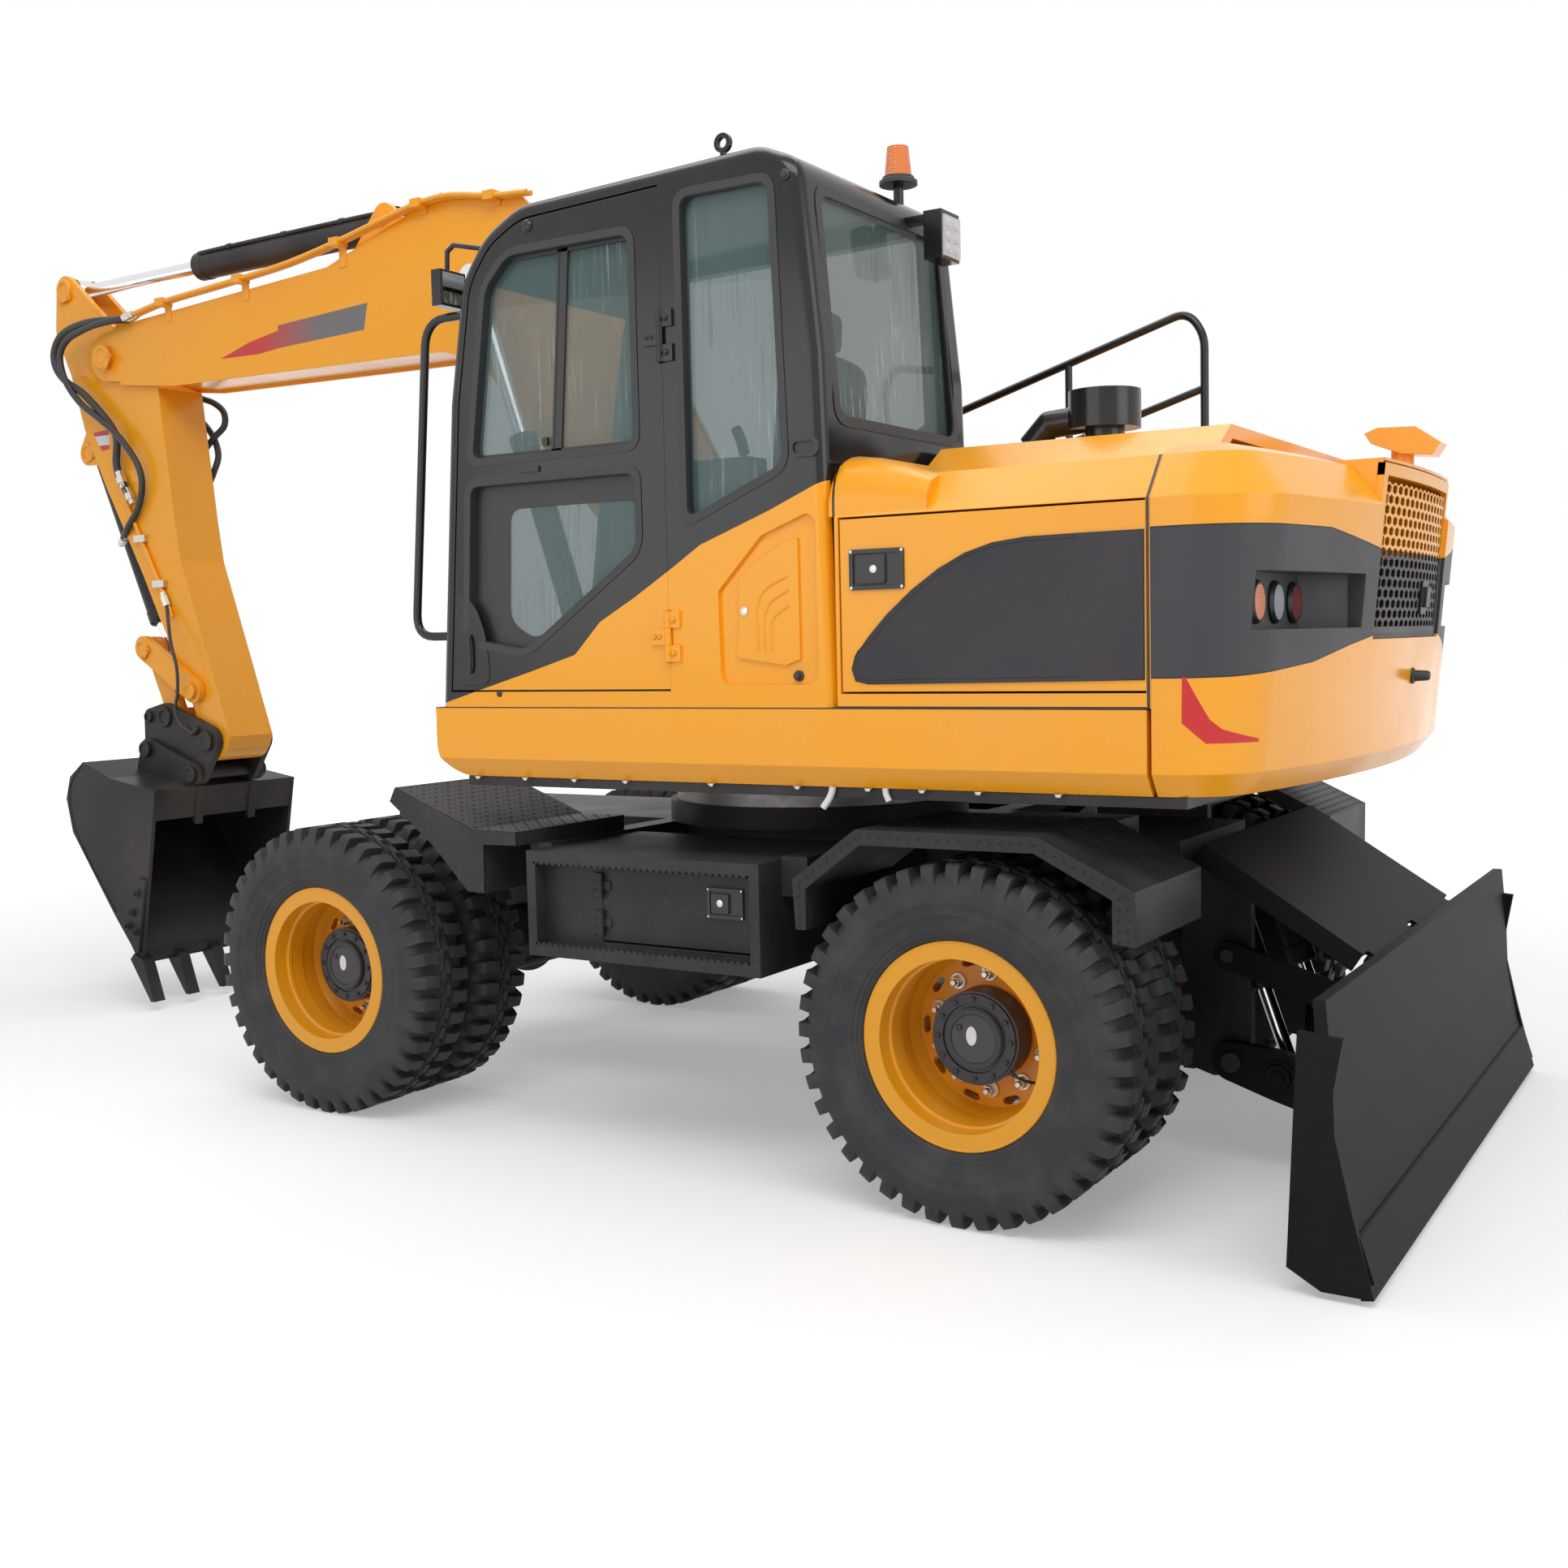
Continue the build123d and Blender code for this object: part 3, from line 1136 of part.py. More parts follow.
# Bucket linkage
with BuildPart() as guide_links:
    for side in (-1, 1):
        y = sorted((side * (arm_half_width + 3.0), side * (arm_half_width + 33.0)))
        hull_plate([(*guide_pin, 55.0), (*link_pin, 55.0)], y[0], y[1])
        cross_rod(guide_pin, 28.0 + seat_gap, y[0] - 1, y[1] + 1, mode=Mode.SUBTRACT)
    cross_rod(link_pin, 30.0, -arm_half_width - 33.0, -60.0)
    cross_rod(link_pin, 30.0, 60.0, arm_half_width + 33.0)
save("guide_links", guide_links.part)
with BuildPart() as push_link:
    for side in (-1, 1):
        y = sorted((side * 60.0, side * 100.0))
        hull_plate([(*link_pin, 52.0), (*coupler_pin, 52.0)], y[0], y[1])
        cross_rod(link_pin, 30.0 + seat_gap, y[0] - 1, y[1] + 1, mode=Mode.SUBTRACT)
    cross_rod(coupler_pin, 40.0, -100.0, 100.0)
save("push_link", push_link.part)

# Quick coupler and bucket
bucket_front_pin = on_rear(4720.0, 1180.0)
bucket_rear_pin = on_rear(4410.0, 1070.0)
with BuildPart() as coupler:
    for side in (-1, 1):
        y = sorted((side * (arm_half_width + 6.0), side * (arm_half_width + 36.0)))
        hull_plate(
            [(*arm_tip, 70.0), (*coupler_pin, 65.0), (*on_rear(4730.0, 1330.0), 40.0), (*bucket_front_pin, 55.0),
             (*bucket_rear_pin, 50.0)],
            y[0],
            y[1],
        )
    cross_rod(arm_tip, pin_radius, -arm_half_width - 50.0, arm_half_width + 50.0)
    cross_rod(bucket_front_pin, 28.0, -arm_half_width - 80.0, arm_half_width + 80.0)
    cross_rod(bucket_rear_pin, 28.0, -arm_half_width - 80.0, arm_half_width + 80.0)
    side_plate(
        from_rear([(4470, 1100), (4690, 1178), (4690, 1205), (4460, 1126)]),
        -arm_half_width - 10.0,
        arm_half_width + 10.0,
    )
save("coupler", coupler.part)
# Side view of the shell's outside, from the hinge end round the back to the lip
bucket_outline = from_rear(
    [(4400, 1010), (4720, 1060), (4908, 1131), (5010, 1060), (5045, 957), (5010, 800), (4730, 424), (4555, 212)]
)
with BuildPart() as bucket:
    side_plate(bucket_outline, -bucket_half_width, bucket_half_width)
    with BuildSketch(Plane.XZ.offset(-bucket_half_width + bucket_plate)) as face:
        with BuildLine():
            Polyline(*bucket_outline, close=True)
        make_face()
        offset(amount=-bucket_plate, kind=Kind.INTERSECTION)
        with BuildLine():
            Polyline(*from_rear([(4350, 985), (4440, 990), (4580, 260), (4530, 212), (4300, 300)]), close=True)
        make_face()
    extrude(face.sketch, amount=2 * (bucket_half_width - bucket_plate), mode=Mode.SUBTRACT)
    for side in (-1, 1):
        y = sorted((side * (arm_half_width + 42.0), side * (arm_half_width + 66.0)))
        hull_plate([(*bucket_front_pin, 50.0), (*bucket_rear_pin, 50.0), (*on_rear(4760.0, 1080.0), 40.0)],
                   y[0], y[1])
        for pin in (bucket_front_pin, bucket_rear_pin):
            cross_rod(pin, 28.0 + seat_gap, y[0] - 1, y[1] + 1, mode=Mode.SUBTRACT)
    for n in range(5):
        y = (n - 2) * 190.0
        side_plate(from_rear([(4590, 260), (4530, 230), (4465, 44), (4490, 44), (4620, 230)]), y - 30.0, y + 30.0)
save("bucket", bucket.part)
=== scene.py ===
# %% [markdown]
# # A wheeled excavator, dressed in paint, rubber, glass and steel
# The machine's shapes come from a CAD model, in metres, with +X to the boom, +Y to the cab
# side and +Z up. This lesson adds what the CAD leaves out: the finishes, the tyres' tread,
# hoses, lamps, hinges, chequer plate and the small parts that make the machine look used
# and real. First the tools are loaded.

# %% Load the frame
import json
import math

import bmesh
import bpy
from mathutils import Matrix, Vector


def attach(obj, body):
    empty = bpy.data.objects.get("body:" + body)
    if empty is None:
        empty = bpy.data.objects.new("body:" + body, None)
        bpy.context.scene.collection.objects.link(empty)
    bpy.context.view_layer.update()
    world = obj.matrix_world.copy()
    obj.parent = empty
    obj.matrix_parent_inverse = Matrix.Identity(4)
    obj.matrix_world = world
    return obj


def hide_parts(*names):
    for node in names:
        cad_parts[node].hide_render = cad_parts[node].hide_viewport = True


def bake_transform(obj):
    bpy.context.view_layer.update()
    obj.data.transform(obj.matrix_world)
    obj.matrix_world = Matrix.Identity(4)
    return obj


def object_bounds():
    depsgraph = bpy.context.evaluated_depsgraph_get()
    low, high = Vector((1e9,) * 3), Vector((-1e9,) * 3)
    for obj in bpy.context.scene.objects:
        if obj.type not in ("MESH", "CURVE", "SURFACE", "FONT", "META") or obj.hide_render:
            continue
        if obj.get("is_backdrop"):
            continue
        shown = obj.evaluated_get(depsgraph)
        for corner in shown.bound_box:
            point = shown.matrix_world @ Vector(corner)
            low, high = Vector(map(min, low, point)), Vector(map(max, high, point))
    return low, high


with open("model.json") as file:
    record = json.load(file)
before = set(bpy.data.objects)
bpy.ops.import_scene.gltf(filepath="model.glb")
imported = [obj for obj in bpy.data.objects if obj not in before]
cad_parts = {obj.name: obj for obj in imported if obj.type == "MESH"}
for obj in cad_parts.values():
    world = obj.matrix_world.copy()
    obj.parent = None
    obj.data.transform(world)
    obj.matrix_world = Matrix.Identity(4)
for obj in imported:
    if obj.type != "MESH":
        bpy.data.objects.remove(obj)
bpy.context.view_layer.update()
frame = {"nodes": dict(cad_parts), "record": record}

# %% [markdown]
# ## Measures that the pieces share
# The side of the machine was measured from its rear axle, so most places in this file are
# written that way: how far ahead of that axle, and how high. Two small functions move them
# into the model's frame, one for points in space and one for outlines in the side view.

# %% Shared measures
REAR_AXLE_X = -2.145
FRONT_AXLE_X = REAR_AXLE_X + 2.474
AXLE_Z = 0.505


def at(x, y, z):
    """A point given from the rear axle, in the model's frame."""
    return Vector((REAR_AXLE_X + x, y, z))


def outline_of(points):
    """A side view outline given from the rear axle, in the model's frame."""
    return [(REAR_AXLE_X + a, b) for a, b in points]


print("wheelbase", round(FRONT_AXLE_X - REAR_AXLE_X, 3))

# %% [markdown]
# ## The camera
# The photograph was taken from the left and a little behind, at about standing height. The
# camera's place and turn were worked out from the wheels, the body's edges and the blade.
# Lens shift stands for the small offset between the picture's middle and the optical axis.

# %% Camera
CAMERA_PLACE = at(-2.0219, 5.2289, 1.6196)
RIGHT = Vector((-0.85173, -0.52353, -0.02187))
UP = Vector((0.02018, -0.07448, 0.99702))
BACK = RIGHT.cross(UP)
camera_data = bpy.data.cameras.new("camera")
camera_data.sensor_width = 36.0
camera_data.lens = 38.357
camera_data.shift_x = -0.01437
camera_data.shift_y = -0.01226
camera = bpy.data.objects.new("camera", camera_data)
bpy.context.scene.collection.objects.link(camera)
turn = Matrix((RIGHT, UP, BACK)).transposed().to_4x4()
camera.matrix_world = Matrix.Translation(CAMERA_PLACE) @ turn
bpy.context.scene.camera = camera
print("camera", tuple(round(c, 3) for c in CAMERA_PLACE))

# %% [markdown]
# ## Light and backdrop
# Glossy paint looks right only when it has something soft to mirror, so the lamps are large
# panels like the roof lights of a hall. The world and the floor are white to the camera and
# to mirrors, and a plain level of light reaches the machine.

# %% Light and backdrop
HALL_COLOUR, HALL_STRENGTH = (0.95, 0.97, 1.0, 1), 0.42
scene = bpy.context.scene
scene.view_settings.view_transform = "Standard"
world = bpy.data.worlds.new("hall")
scene.world = world
world.use_nodes = True
world_nodes, world_links = world.node_tree.nodes, world.node_tree.links
world_nodes.clear()
rays = world_nodes.new("ShaderNodeLightPath")
seen_directly = rays.outputs["Is Camera Ray"]
for ray in ("Is Glossy Ray", "Is Transmission Ray"):
    either_ray = world_nodes.new("ShaderNodeMath")
    either_ray.operation = "MAXIMUM"
    world_links.new(seen_directly, either_ray.inputs[0])
    world_links.new(rays.outputs[ray], either_ray.inputs[1])
    seen_directly = either_ray.outputs[0]
hall_light = world_nodes.new("ShaderNodeBackground")
hall_light.inputs["Color"].default_value = HALL_COLOUR
hall_light.inputs["Strength"].default_value = HALL_STRENGTH
white_wall = world_nodes.new("ShaderNodeBackground")
white_wall.inputs["Color"].default_value = (1, 1, 1, 1)
white_wall.inputs["Strength"].default_value = 1.0
either = world_nodes.new("ShaderNodeMixShader")
world_out = world_nodes.new("ShaderNodeOutputWorld")
world_links.new(seen_directly, either.inputs["Fac"])
world_links.new(hall_light.outputs[0], either.inputs[1])
world_links.new(white_wall.outputs[0], either.inputs[2])
world_links.new(either.outputs[0], world_out.inputs["Surface"])
print("world", world.name, "strength", HALL_STRENGTH)

# %% [markdown]
# The four lamps are area lamps: two over the machine, one where the hall's door would be, and
# one long row at the side for the soft light that the near flank has in the photograph.


# %% Lamps over the machine
def roof_light(name, place, aim, size, watts):
    """A soft panel of light that faces a point."""
    data = bpy.data.lights.new(name, "AREA")
    data.shape = "RECTANGLE"
    data.size, data.size_y = size
    data.energy = watts
    lamp = bpy.data.objects.new(name, data)
    scene.collection.objects.link(lamp)
    way = Vector(aim) - Vector(place)
    facing_it = way.to_track_quat("-Z", "Y").to_matrix().to_4x4()
    lamp.matrix_world = Matrix.Translation(place) @ facing_it
    return lamp


roof_light("roof_panel_near", (-3.5, 5.0, 7.5), (-0.5, 0.0, 1.2), (7.0, 3.0), 270)
roof_light("roof_panel_middle", (0.5, -0.5, 8.5), (0.0, 0.0, 1.0), (8.0, 4.0), 210)
roof_light("doorway", (-8.5, 1.5, 3.5), (-1.0, 0.5, 1.2), (4.0, 4.0), 100)
roof_light("side_windows", (1.5, 9.0, 3.0), (0.0, 0.0, 1.4), (9.0, 3.0), 100)

# %% [markdown]
# ## Shader sums written as Python
# A finish is mostly arithmetic on a few patterns: noise for dust, waves for the rings of a
# lens, height for the border of a colour. `Pattern` wraps a socket, so that `1 - dust * 0.5` adds
# the
# Math nodes by itself, and `Finish.node` makes any other node from its settings and inputs.


# %% Shader helpers
class Pattern:
    """A number that changes over a surface. Arithmetic on it adds Math nodes."""

    def __init__(self, finish, socket):
        self.finish, self.socket = finish, socket

    def math(self, operation, *values):
        made = self.finish.node("Math", {"operation": operation}, dict(enumerate(values)))
        return Pattern(self.finish, made.outputs[0])

    def __add__(self, other):
        return self.math("ADD", self, other)

    def __sub__(self, other):
        return self.math("SUBTRACT", self, other)

    def __rsub__(self, other):
        return self.math("SUBTRACT", other, self)

    def __mul__(self, other):
        return self.math("MULTIPLY", self, other)

    def __truediv__(self, other):
        return self.math("DIVIDE", self, other)

    def __gt__(self, other):
        return self.math("GREATER_THAN", self, other)

    def __lt__(self, other):
        return self.math("LESS_THAN", self, other)

    def __abs__(self):
        return self.math("ABSOLUTE", self)

    def least(self, other):
        return self.math("MINIMUM", self, other)

    def most(self, other):
        return self.math("MAXIMUM", self, other)

    def root(self):
        return self.math("SQRT", self)

    def wave(self):
        return self.math("SINE", self)

    def between(self, low, high):
        """0 at or under low, 1 at or over high, and straight between them."""
        made = self.finish.node(
            "MapRange", {"clamp": True}, {"Value": self, "From Min": low, "From Max": high}
        )
        return Pattern(self.finish, made.outputs["Result"])

    __radd__ = __add__
    __rmul__ = __mul__


class Finish:
    """A material on one Principled shader, whose even values are set on the shader itself."""

    def __init__(self, name, colour, roughness, **sockets):
        self.material = bpy.data.materials.new(name)
        self.material.use_nodes = True
        self.tree = self.material.node_tree
        self.shader = self.tree.nodes["Principled BSDF"]
        self.material.diffuse_color = (*colour[:3], 1)
        self.set("Base Color", (*colour[:3], 1))
        self.set("Roughness", roughness)
        for socket, value in sockets.items():
            self.set(socket.replace("_", " "), value)

    def node(self, kind, settings=None, inputs=None):
        made = self.tree.nodes.new("ShaderNode" + kind)
        for name, value in (settings or {}).items():
            if name == "stops":
                self._ramp(made.color_ramp, value)
            else:
                setattr(made, name, value)
        for name, value in (inputs or {}).items():
            self._feed(made.inputs[name], value)
        return made

    def _ramp(self, ramp, stops):
        while len(ramp.elements) < len(stops):
            ramp.elements.new(0.5)
        for element, (place, colour) in zip(ramp.elements, stops):
            element.position = place
            element.color = colour if len(colour) == 4 else (*colour, 1)

    def _feed(self, socket, value):
        if isinstance(value, Pattern):
            self.tree.links.new(value.socket, socket)
        elif isinstance(value, bpy.types.NodeSocket):
            self.tree.links.new(value, socket)
        else:
            socket.default_value = value

    def set(self, socket, value):
        self._feed(self.shader.inputs[socket], value)

    def place(self):
        """The x, y and z of the surface in its own frame, which moves with the piece."""
        apart = self.node("SeparateXYZ", {}, {"Vector": self.node("TexCoord").outputs["Object"]})
        return [Pattern(self, output) for output in apart.outputs]

    def noise(self, scale, detail=3.0, stretch=(1, 1, 1)):
        spread = self.node(
            "Mapping", {}, {"Vector": self.node("TexCoord").outputs["Object"], "Scale": stretch}
        )
        made = self.node(
            "TexNoise", {}, {"Vector": spread.outputs[0], "Scale": scale, "Detail": detail}
        )
        return Pattern(self, made.outputs["Fac"])

    def mix(self, factor, first, second):
        """A colour between two others, by a pattern."""
        made = self.node("Mix", {"data_type": "RGBA"})
        self._feed(made.inputs[0], factor)
        for socket, colour in ((made.inputs[6], first), (made.inputs[7], second)):
            self._feed(
                socket, (*colour, 1) if isinstance(colour, tuple) and len(colour) == 3 else colour
            )
        return made.outputs[2]

    def bump(self, height, distance, strength=1.0, edge=0.0):
        """Small relief. Where edge is given, sharp corners also catch light as if rounded to it."""
        inputs = {"Height": height, "Distance": distance, "Strength": strength}
        if edge:
            inputs["Normal"] = self.node("Bevel", {"samples": 4}, {"Radius": edge}).outputs[0]
        self.set("Normal", self.node("Bump", {}, inputs).outputs[0])

    def height_of(self, across, line):
        """The height of a bent line, given as (across, height) points, at each place across."""
        (first, _), (last, _) = line[0], line[-1]
        low, high = min(h for _, h in line), max(h for _, h in line)
        stops = [((a - first) / (last - first), ((h - low) / (high - low),) * 3) for a, h in line]
        ramp = self.node("ValToRGB", {"stops": stops}, {"Fac": (across - first) / (last - first)})
        return Pattern(self, ramp.outputs["Color"]) * (high - low) + low

    def inside(self, across, up, corners):
        """1 inside a convex outline, given anticlockwise as (across, up) corners, else 0."""
        depth = None
        for (a, b), (c, d) in zip(corners, corners[1:] + corners[:1]):
            side = (up - b) * (c - a) - (across - a) * (d - b)
            depth = side if depth is None else depth.least(side)
        return depth > 0.0


# %% [markdown]
# ## Gloss enamel, with soft patches of dust
# New machines leave the hall in a thick orange enamel. Close up it has the fine ripple of
# sprayed paint, and it is a little duller where dust and hands have been. A Bevel node rounds
# the sharp corners of folded sheet for the light, and narrow lines of painted shade stand for
# the shadowed gaps between the skirt, cab, hood and counterweight.

# %% Enamel finishes
ORANGE = (0.97, 0.39, 0.004)
CAB_BLACK = (0.010, 0.010, 0.012)
BAND_GREY = (0.042, 0.040, 0.046)
DUST = (0.40, 0.36, 0.30)
SEAM_Z = 1.4315
TAIL_SEAM_X = REAR_AXLE_X - 0.5585
CAB_SEAM_X = REAR_AXLE_X + 0.3505
SEAM_HALF = 0.0042
# Painted shade: the colour of the shadowed gaps between the panels, laid on as thin lines.
SEAM_SHADE = (0.035, 0.012, 0.003)
FLANK_Y = 1.05


def enamel(name, colour, roughness, dust=0.12, ripple=0.00010, edge=0.004, coat=0.12, shine=0.42):
    """Sprayed paint: a fine ripple, soft patches of dust, and corners that catch the light."""
    gloss = {"Coat_Weight": coat, "Coat_Roughness": 0.06, "Specular_IOR_Level": shine}
    paint = Finish(name, colour, roughness, IOR=1.5, **gloss)
    patches = paint.noise(2.2, 5.0).between(0.42, 0.75)
    specks = paint.noise(55.0, 2.0).between(0.60, 0.78)
    paint.dusty = (patches * 0.7 + specks * 0.3) * dust
    paint.colour = paint.mix(paint.dusty, colour, DUST)
    paint.roughness = paint.dusty * 1.6 + roughness
    paint.set("Base Color", paint.colour)
    paint.set("Roughness", paint.roughness)
    paint.bump(paint.noise(260.0, 2.0), ripple, edge=edge)
    return paint


def body_enamel(name):
    """Orange enamel with painted shade in the gaps between the upper part's panels."""
    paint = enamel(name, ORANGE, 0.22)
    x, y, z = paint.place()
    low_seam = (abs(z - SEAM_Z) < SEAM_HALF) * (x > TAIL_SEAM_X)
    tail_seam = (abs(x - TAIL_SEAM_X) < SEAM_HALF) * (z > SEAM_Z)
    cab_seam = (abs(x - CAB_SEAM_X) < SEAM_HALF) * (z > SEAM_Z)
    # Painted shade along the gaps between the skirt, cab, hood and counterweight.
    gap_shade = low_seam.most(tail_seam).most(cab_seam) * (abs(y) > FLANK_Y)
    paint.colour = paint.mix(gap_shade, paint.colour, SEAM_SHADE)
    paint.set("Base Color", paint.colour)
    return paint


orange_enamel = body_enamel("orange_enamel")
link_enamel = enamel("link_enamel", ORANGE, 0.28, dust=0.2)
rim_enamel = enamel("rim_enamel", (0.84, 0.355, 0.008), 0.30, dust=0.10)
matt = {"coat": 0.0, "shine": 0.20}
chassis_enamel = enamel(
    "chassis_enamel", (0.030, 0.028, 0.032), 0.42, dust=0.16, ripple=0.00025, **matt
)
# Painted shade: the blade's own black paint, made darker still for the shade that its face is in.
blade_shaded_enamel = enamel(
    "blade_shaded_enamel", (0.0045, 0.0055, 0.0070), 0.55, dust=0.03, ripple=0.0003, coat=0.0, shine=0.12
)
trim_enamel = enamel("trim_enamel", CAB_BLACK, 0.18, dust=0.06, edge=0.003, coat=0.0)
bucket_enamel = enamel(
    "bucket_enamel", (0.024, 0.021, 0.021), 0.40, dust=0.16, ripple=0.0005, **matt
)
print("finishes", [m.name for m in bpy.data.materials if "enamel" in m.name])

# %% [markdown]
# ## Two colours on one pressing
# The cab is sprayed black, and its lower rear flank orange like the hood. The border is a line
# that bends across the door and the side, so a colour ramp holds that line's height for each
# place along the cab, and the finish compares it with the surface's own height. The same way
# paints the grey band on the counterweight, which narrows towards the grille.

# %% Cab and counterweight paint
# Columns: distance ahead of the rear axle, height of the border between black and orange.
CAB_BORDER = (
    (0.345, 2.140), (0.367, 2.067), (0.554, 1.991), (0.799, 1.904), (0.901, 1.842), (1.041, 1.761),
    (1.177, 1.690), (1.278, 1.592), (1.461, 1.541), (1.673, 1.485), (1.862, 1.434),
)
# Columns: distance from the middle of the machine, height of the band's upper or lower edge.
BAND_TOP = ((0.0, 1.838), (0.42, 1.838), (0.80, 1.884), (1.30, 1.884))
BAND_BOTTOM = (
    (0.0, 1.602), (0.42, 1.602), (0.62, 1.575), (0.84, 1.536), (1.16, 1.508), (1.30, 1.503)
)
CAB_MIDDLE_Y, CAB_HALF_FLANK = 0.76, 0.425
# Painted shade of the shallow groove along the band's edges: its half width and its colour.
BAND_EDGE_HALF, BAND_EDGE_SHADE = 0.004, (0.012, 0.012, 0.013)


def cab_paint(name):
    """The cab's black, with orange below the border on its two flanks."""
    paint = enamel(name, CAB_BLACK, 0.15, dust=0.04, edge=0.003, coat=0.0)
    x, y, z = paint.place()
    border = paint.height_of(x, outline_of(CAB_BORDER))
    flank = (abs(y - CAB_MIDDLE_Y) > CAB_HALF_FLANK) * (border > z)
    orange = paint.mix(paint.dusty, ORANGE, DUST)
    paint.set("Base Color", paint.mix(flank, paint.colour, orange))
    return paint


def banded(name, grey_over_band=False):
    """Orange, a grey band with painted groove shade at its edges; the grille dark below the band's
    top.
    """
    paint = body_enamel(name)
    x, y, z = paint.place()
    out = abs(y)
    top = paint.height_of(out, BAND_TOP)
    bottom = paint.height_of(out, BAND_BOTTOM)
    band = (top > z) if grey_over_band else (top > z) * (z > bottom)
    # Painted shade: a dark line along the band's top and bottom edge, for the groove's shadow.
    lip = (abs(z - top) < BAND_EDGE_HALF).most(abs(z - bottom) < BAND_EDGE_HALF)
    grey = paint.mix(lip, BAND_GREY, BAND_EDGE_SHADE)
    paint.colour = paint.mix(band, paint.colour, grey)
    paint.set("Roughness", band * 0.24 + paint.roughness)
    paint.set("Coat Weight", (1 - band) * 0.12)
    paint.set("Base Color", paint.colour)
    return paint


cab_enamel = cab_paint("cab_enamel")
tail_enamel = banded("tail_enamel")
wing_plastic = enamel("wing_plastic", BAND_GREY, 0.44, dust=0.05, edge=0.003, **matt)
print("border points", len(CAB_BORDER), "band points", len(BAND_TOP) + len(BAND_BOTTOM))

# %% [markdown]
# ## The red mark on the tail
# A bent red mark sits low on each side of the counterweight. A mask can only hold an outline
# with no inward corner, so the mark is three such outlines, and the highest value wins.

# %% Red mark
REFLECTOR_RED = (0.62, 0.018, 0.022)
TAIL_FLANK_Y = 1.0
RED_PIECES = (
    ((-0.641, 1.395), (-0.643, 1.509), (-0.652, 1.509), (-0.705, 1.403), (-0.696, 1.343)),
    ((-0.696, 1.343), (-0.705, 1.403), (-0.730, 1.379), (-0.730, 1.343)),
    ((-0.730, 1.343), (-0.730, 1.379), (-0.795, 1.352), (-0.795, 1.343)),
)
x, y, z = tail_enamel.place()
red = None
for outline in RED_PIECES:
    piece_of_red = tail_enamel.inside(x, z, outline_of(outline))
    red = piece_of_red if red is None else red.most(piece_of_red)
red = red * (abs(y) > TAIL_FLANK_Y)
tail_enamel.set("Base Color", tail_enamel.mix(red, tail_enamel.colour, REFLECTOR_RED))
print("red mark in", len(RED_PIECES), "pieces")

# %% [markdown]
# ## Bands on the boom and the arm
# A plain stripe runs along each side of the boom, red at its tip and grey behind, and a
# small white patch with two red bars sits on the arm. They are flat films, so they are paint
# and not geometry. Both are masks made from straight edges.

# %% Boom and arm paint
STRIPE_DARK, STRIPE_BRIGHT = (0.16, 0.15, 0.15), (0.60, 0.03, 0.03)
PATCH_WHITE, PATCH_RED = (0.75, 0.75, 0.73), (0.62, 0.03, 0.04)
SIDE_SHEET_Y = 0.12
boom_enamel = enamel("boom_enamel", ORANGE, 0.24, dust=0.10)
x, y, z = boom_enamel.place()
STRIPE_GREY = ((3.231, 2.952), (3.750, 2.933), (3.750, 3.030), (3.205, 3.060))
STRIPE_RED = (
    (3.745, 2.933), (3.884, 2.921), (4.158, 2.927), (4.034, 2.964), (3.930, 2.980), (3.745, 3.030)
)
grey, red = (boom_enamel.inside(x, z, outline_of(half)) for half in (STRIPE_GREY, STRIPE_RED))
to_red = x.between(REAR_AXLE_X + 3.50, REAR_AXLE_X + 3.86)
stripe_colour = boom_enamel.mix(to_red, STRIPE_DARK, STRIPE_BRIGHT)
stripe = grey.most(red) * (abs(y) > SIDE_SHEET_Y)
boom_enamel.set("Base Color", boom_enamel.mix(stripe, boom_enamel.colour, stripe_colour))
arm_enamel = enamel("arm_enamel", ORANGE, 0.24, dust=0.10)
x, y, z = arm_enamel.place()
PATCH = [(4.972, 2.599), (5.033, 2.593), (5.090, 2.683), (4.972, 2.691)]
patch = arm_enamel.inside(x, z, outline_of(PATCH)) * (abs(y) > SIDE_SHEET_Y)
bars = (abs(z - 2.677) < 0.012).most(abs(z - 2.606) < 0.013)
patch_colour = arm_enamel.mix(bars, PATCH_WHITE, PATCH_RED)
arm_enamel.set("Base Color", arm_enamel.mix(patch, arm_enamel.colour, patch_colour))
print("stripe", STRIPE_DARK, "to", STRIPE_BRIGHT)

# %% [markdown]
# ## The wheels' two colours
# Each wheel is one body: an orange rim and the black hub that it is bolted to. Both axles
# have the same radius for the hub, so the distance along the machine is folded about the
# middle of the wheelbase, and one finish fits all four wheels.

# %% Wheel paint
HUB_RADIUS, HUB_BLACK = 0.1345, (0.045, 0.045, 0.052)
x, y, z = rim_enamel.place()
from_axle = abs(x - (REAR_AXLE_X + FRONT_AXLE_X) / 2) - (FRONT_AXLE_X - REAR_AXLE_X) / 2
from_hub = (from_axle * from_axle + (z - AXLE_Z) * (z - AXLE_Z)).root()
hub = (from_hub < HUB_RADIUS) * (abs(y) > 1.0)
rim_enamel.set("Base Color", rim_enamel.mix(hub, rim_enamel.colour, HUB_BLACK))
rim_enamel.set("Roughness", rim_enamel.roughness + hub * 0.15)
print("hub radius", HUB_RADIUS)

# %% [markdown]
# ## Steel, rubber, glass and the other finishes
# Cylinder rods are hard chrome, the ring is bare machined steel, bolts are zinc plated, and
# the engine is cast iron under grey paint. Bare metal has one even colour, so all that
# changes over it is how rough it is.

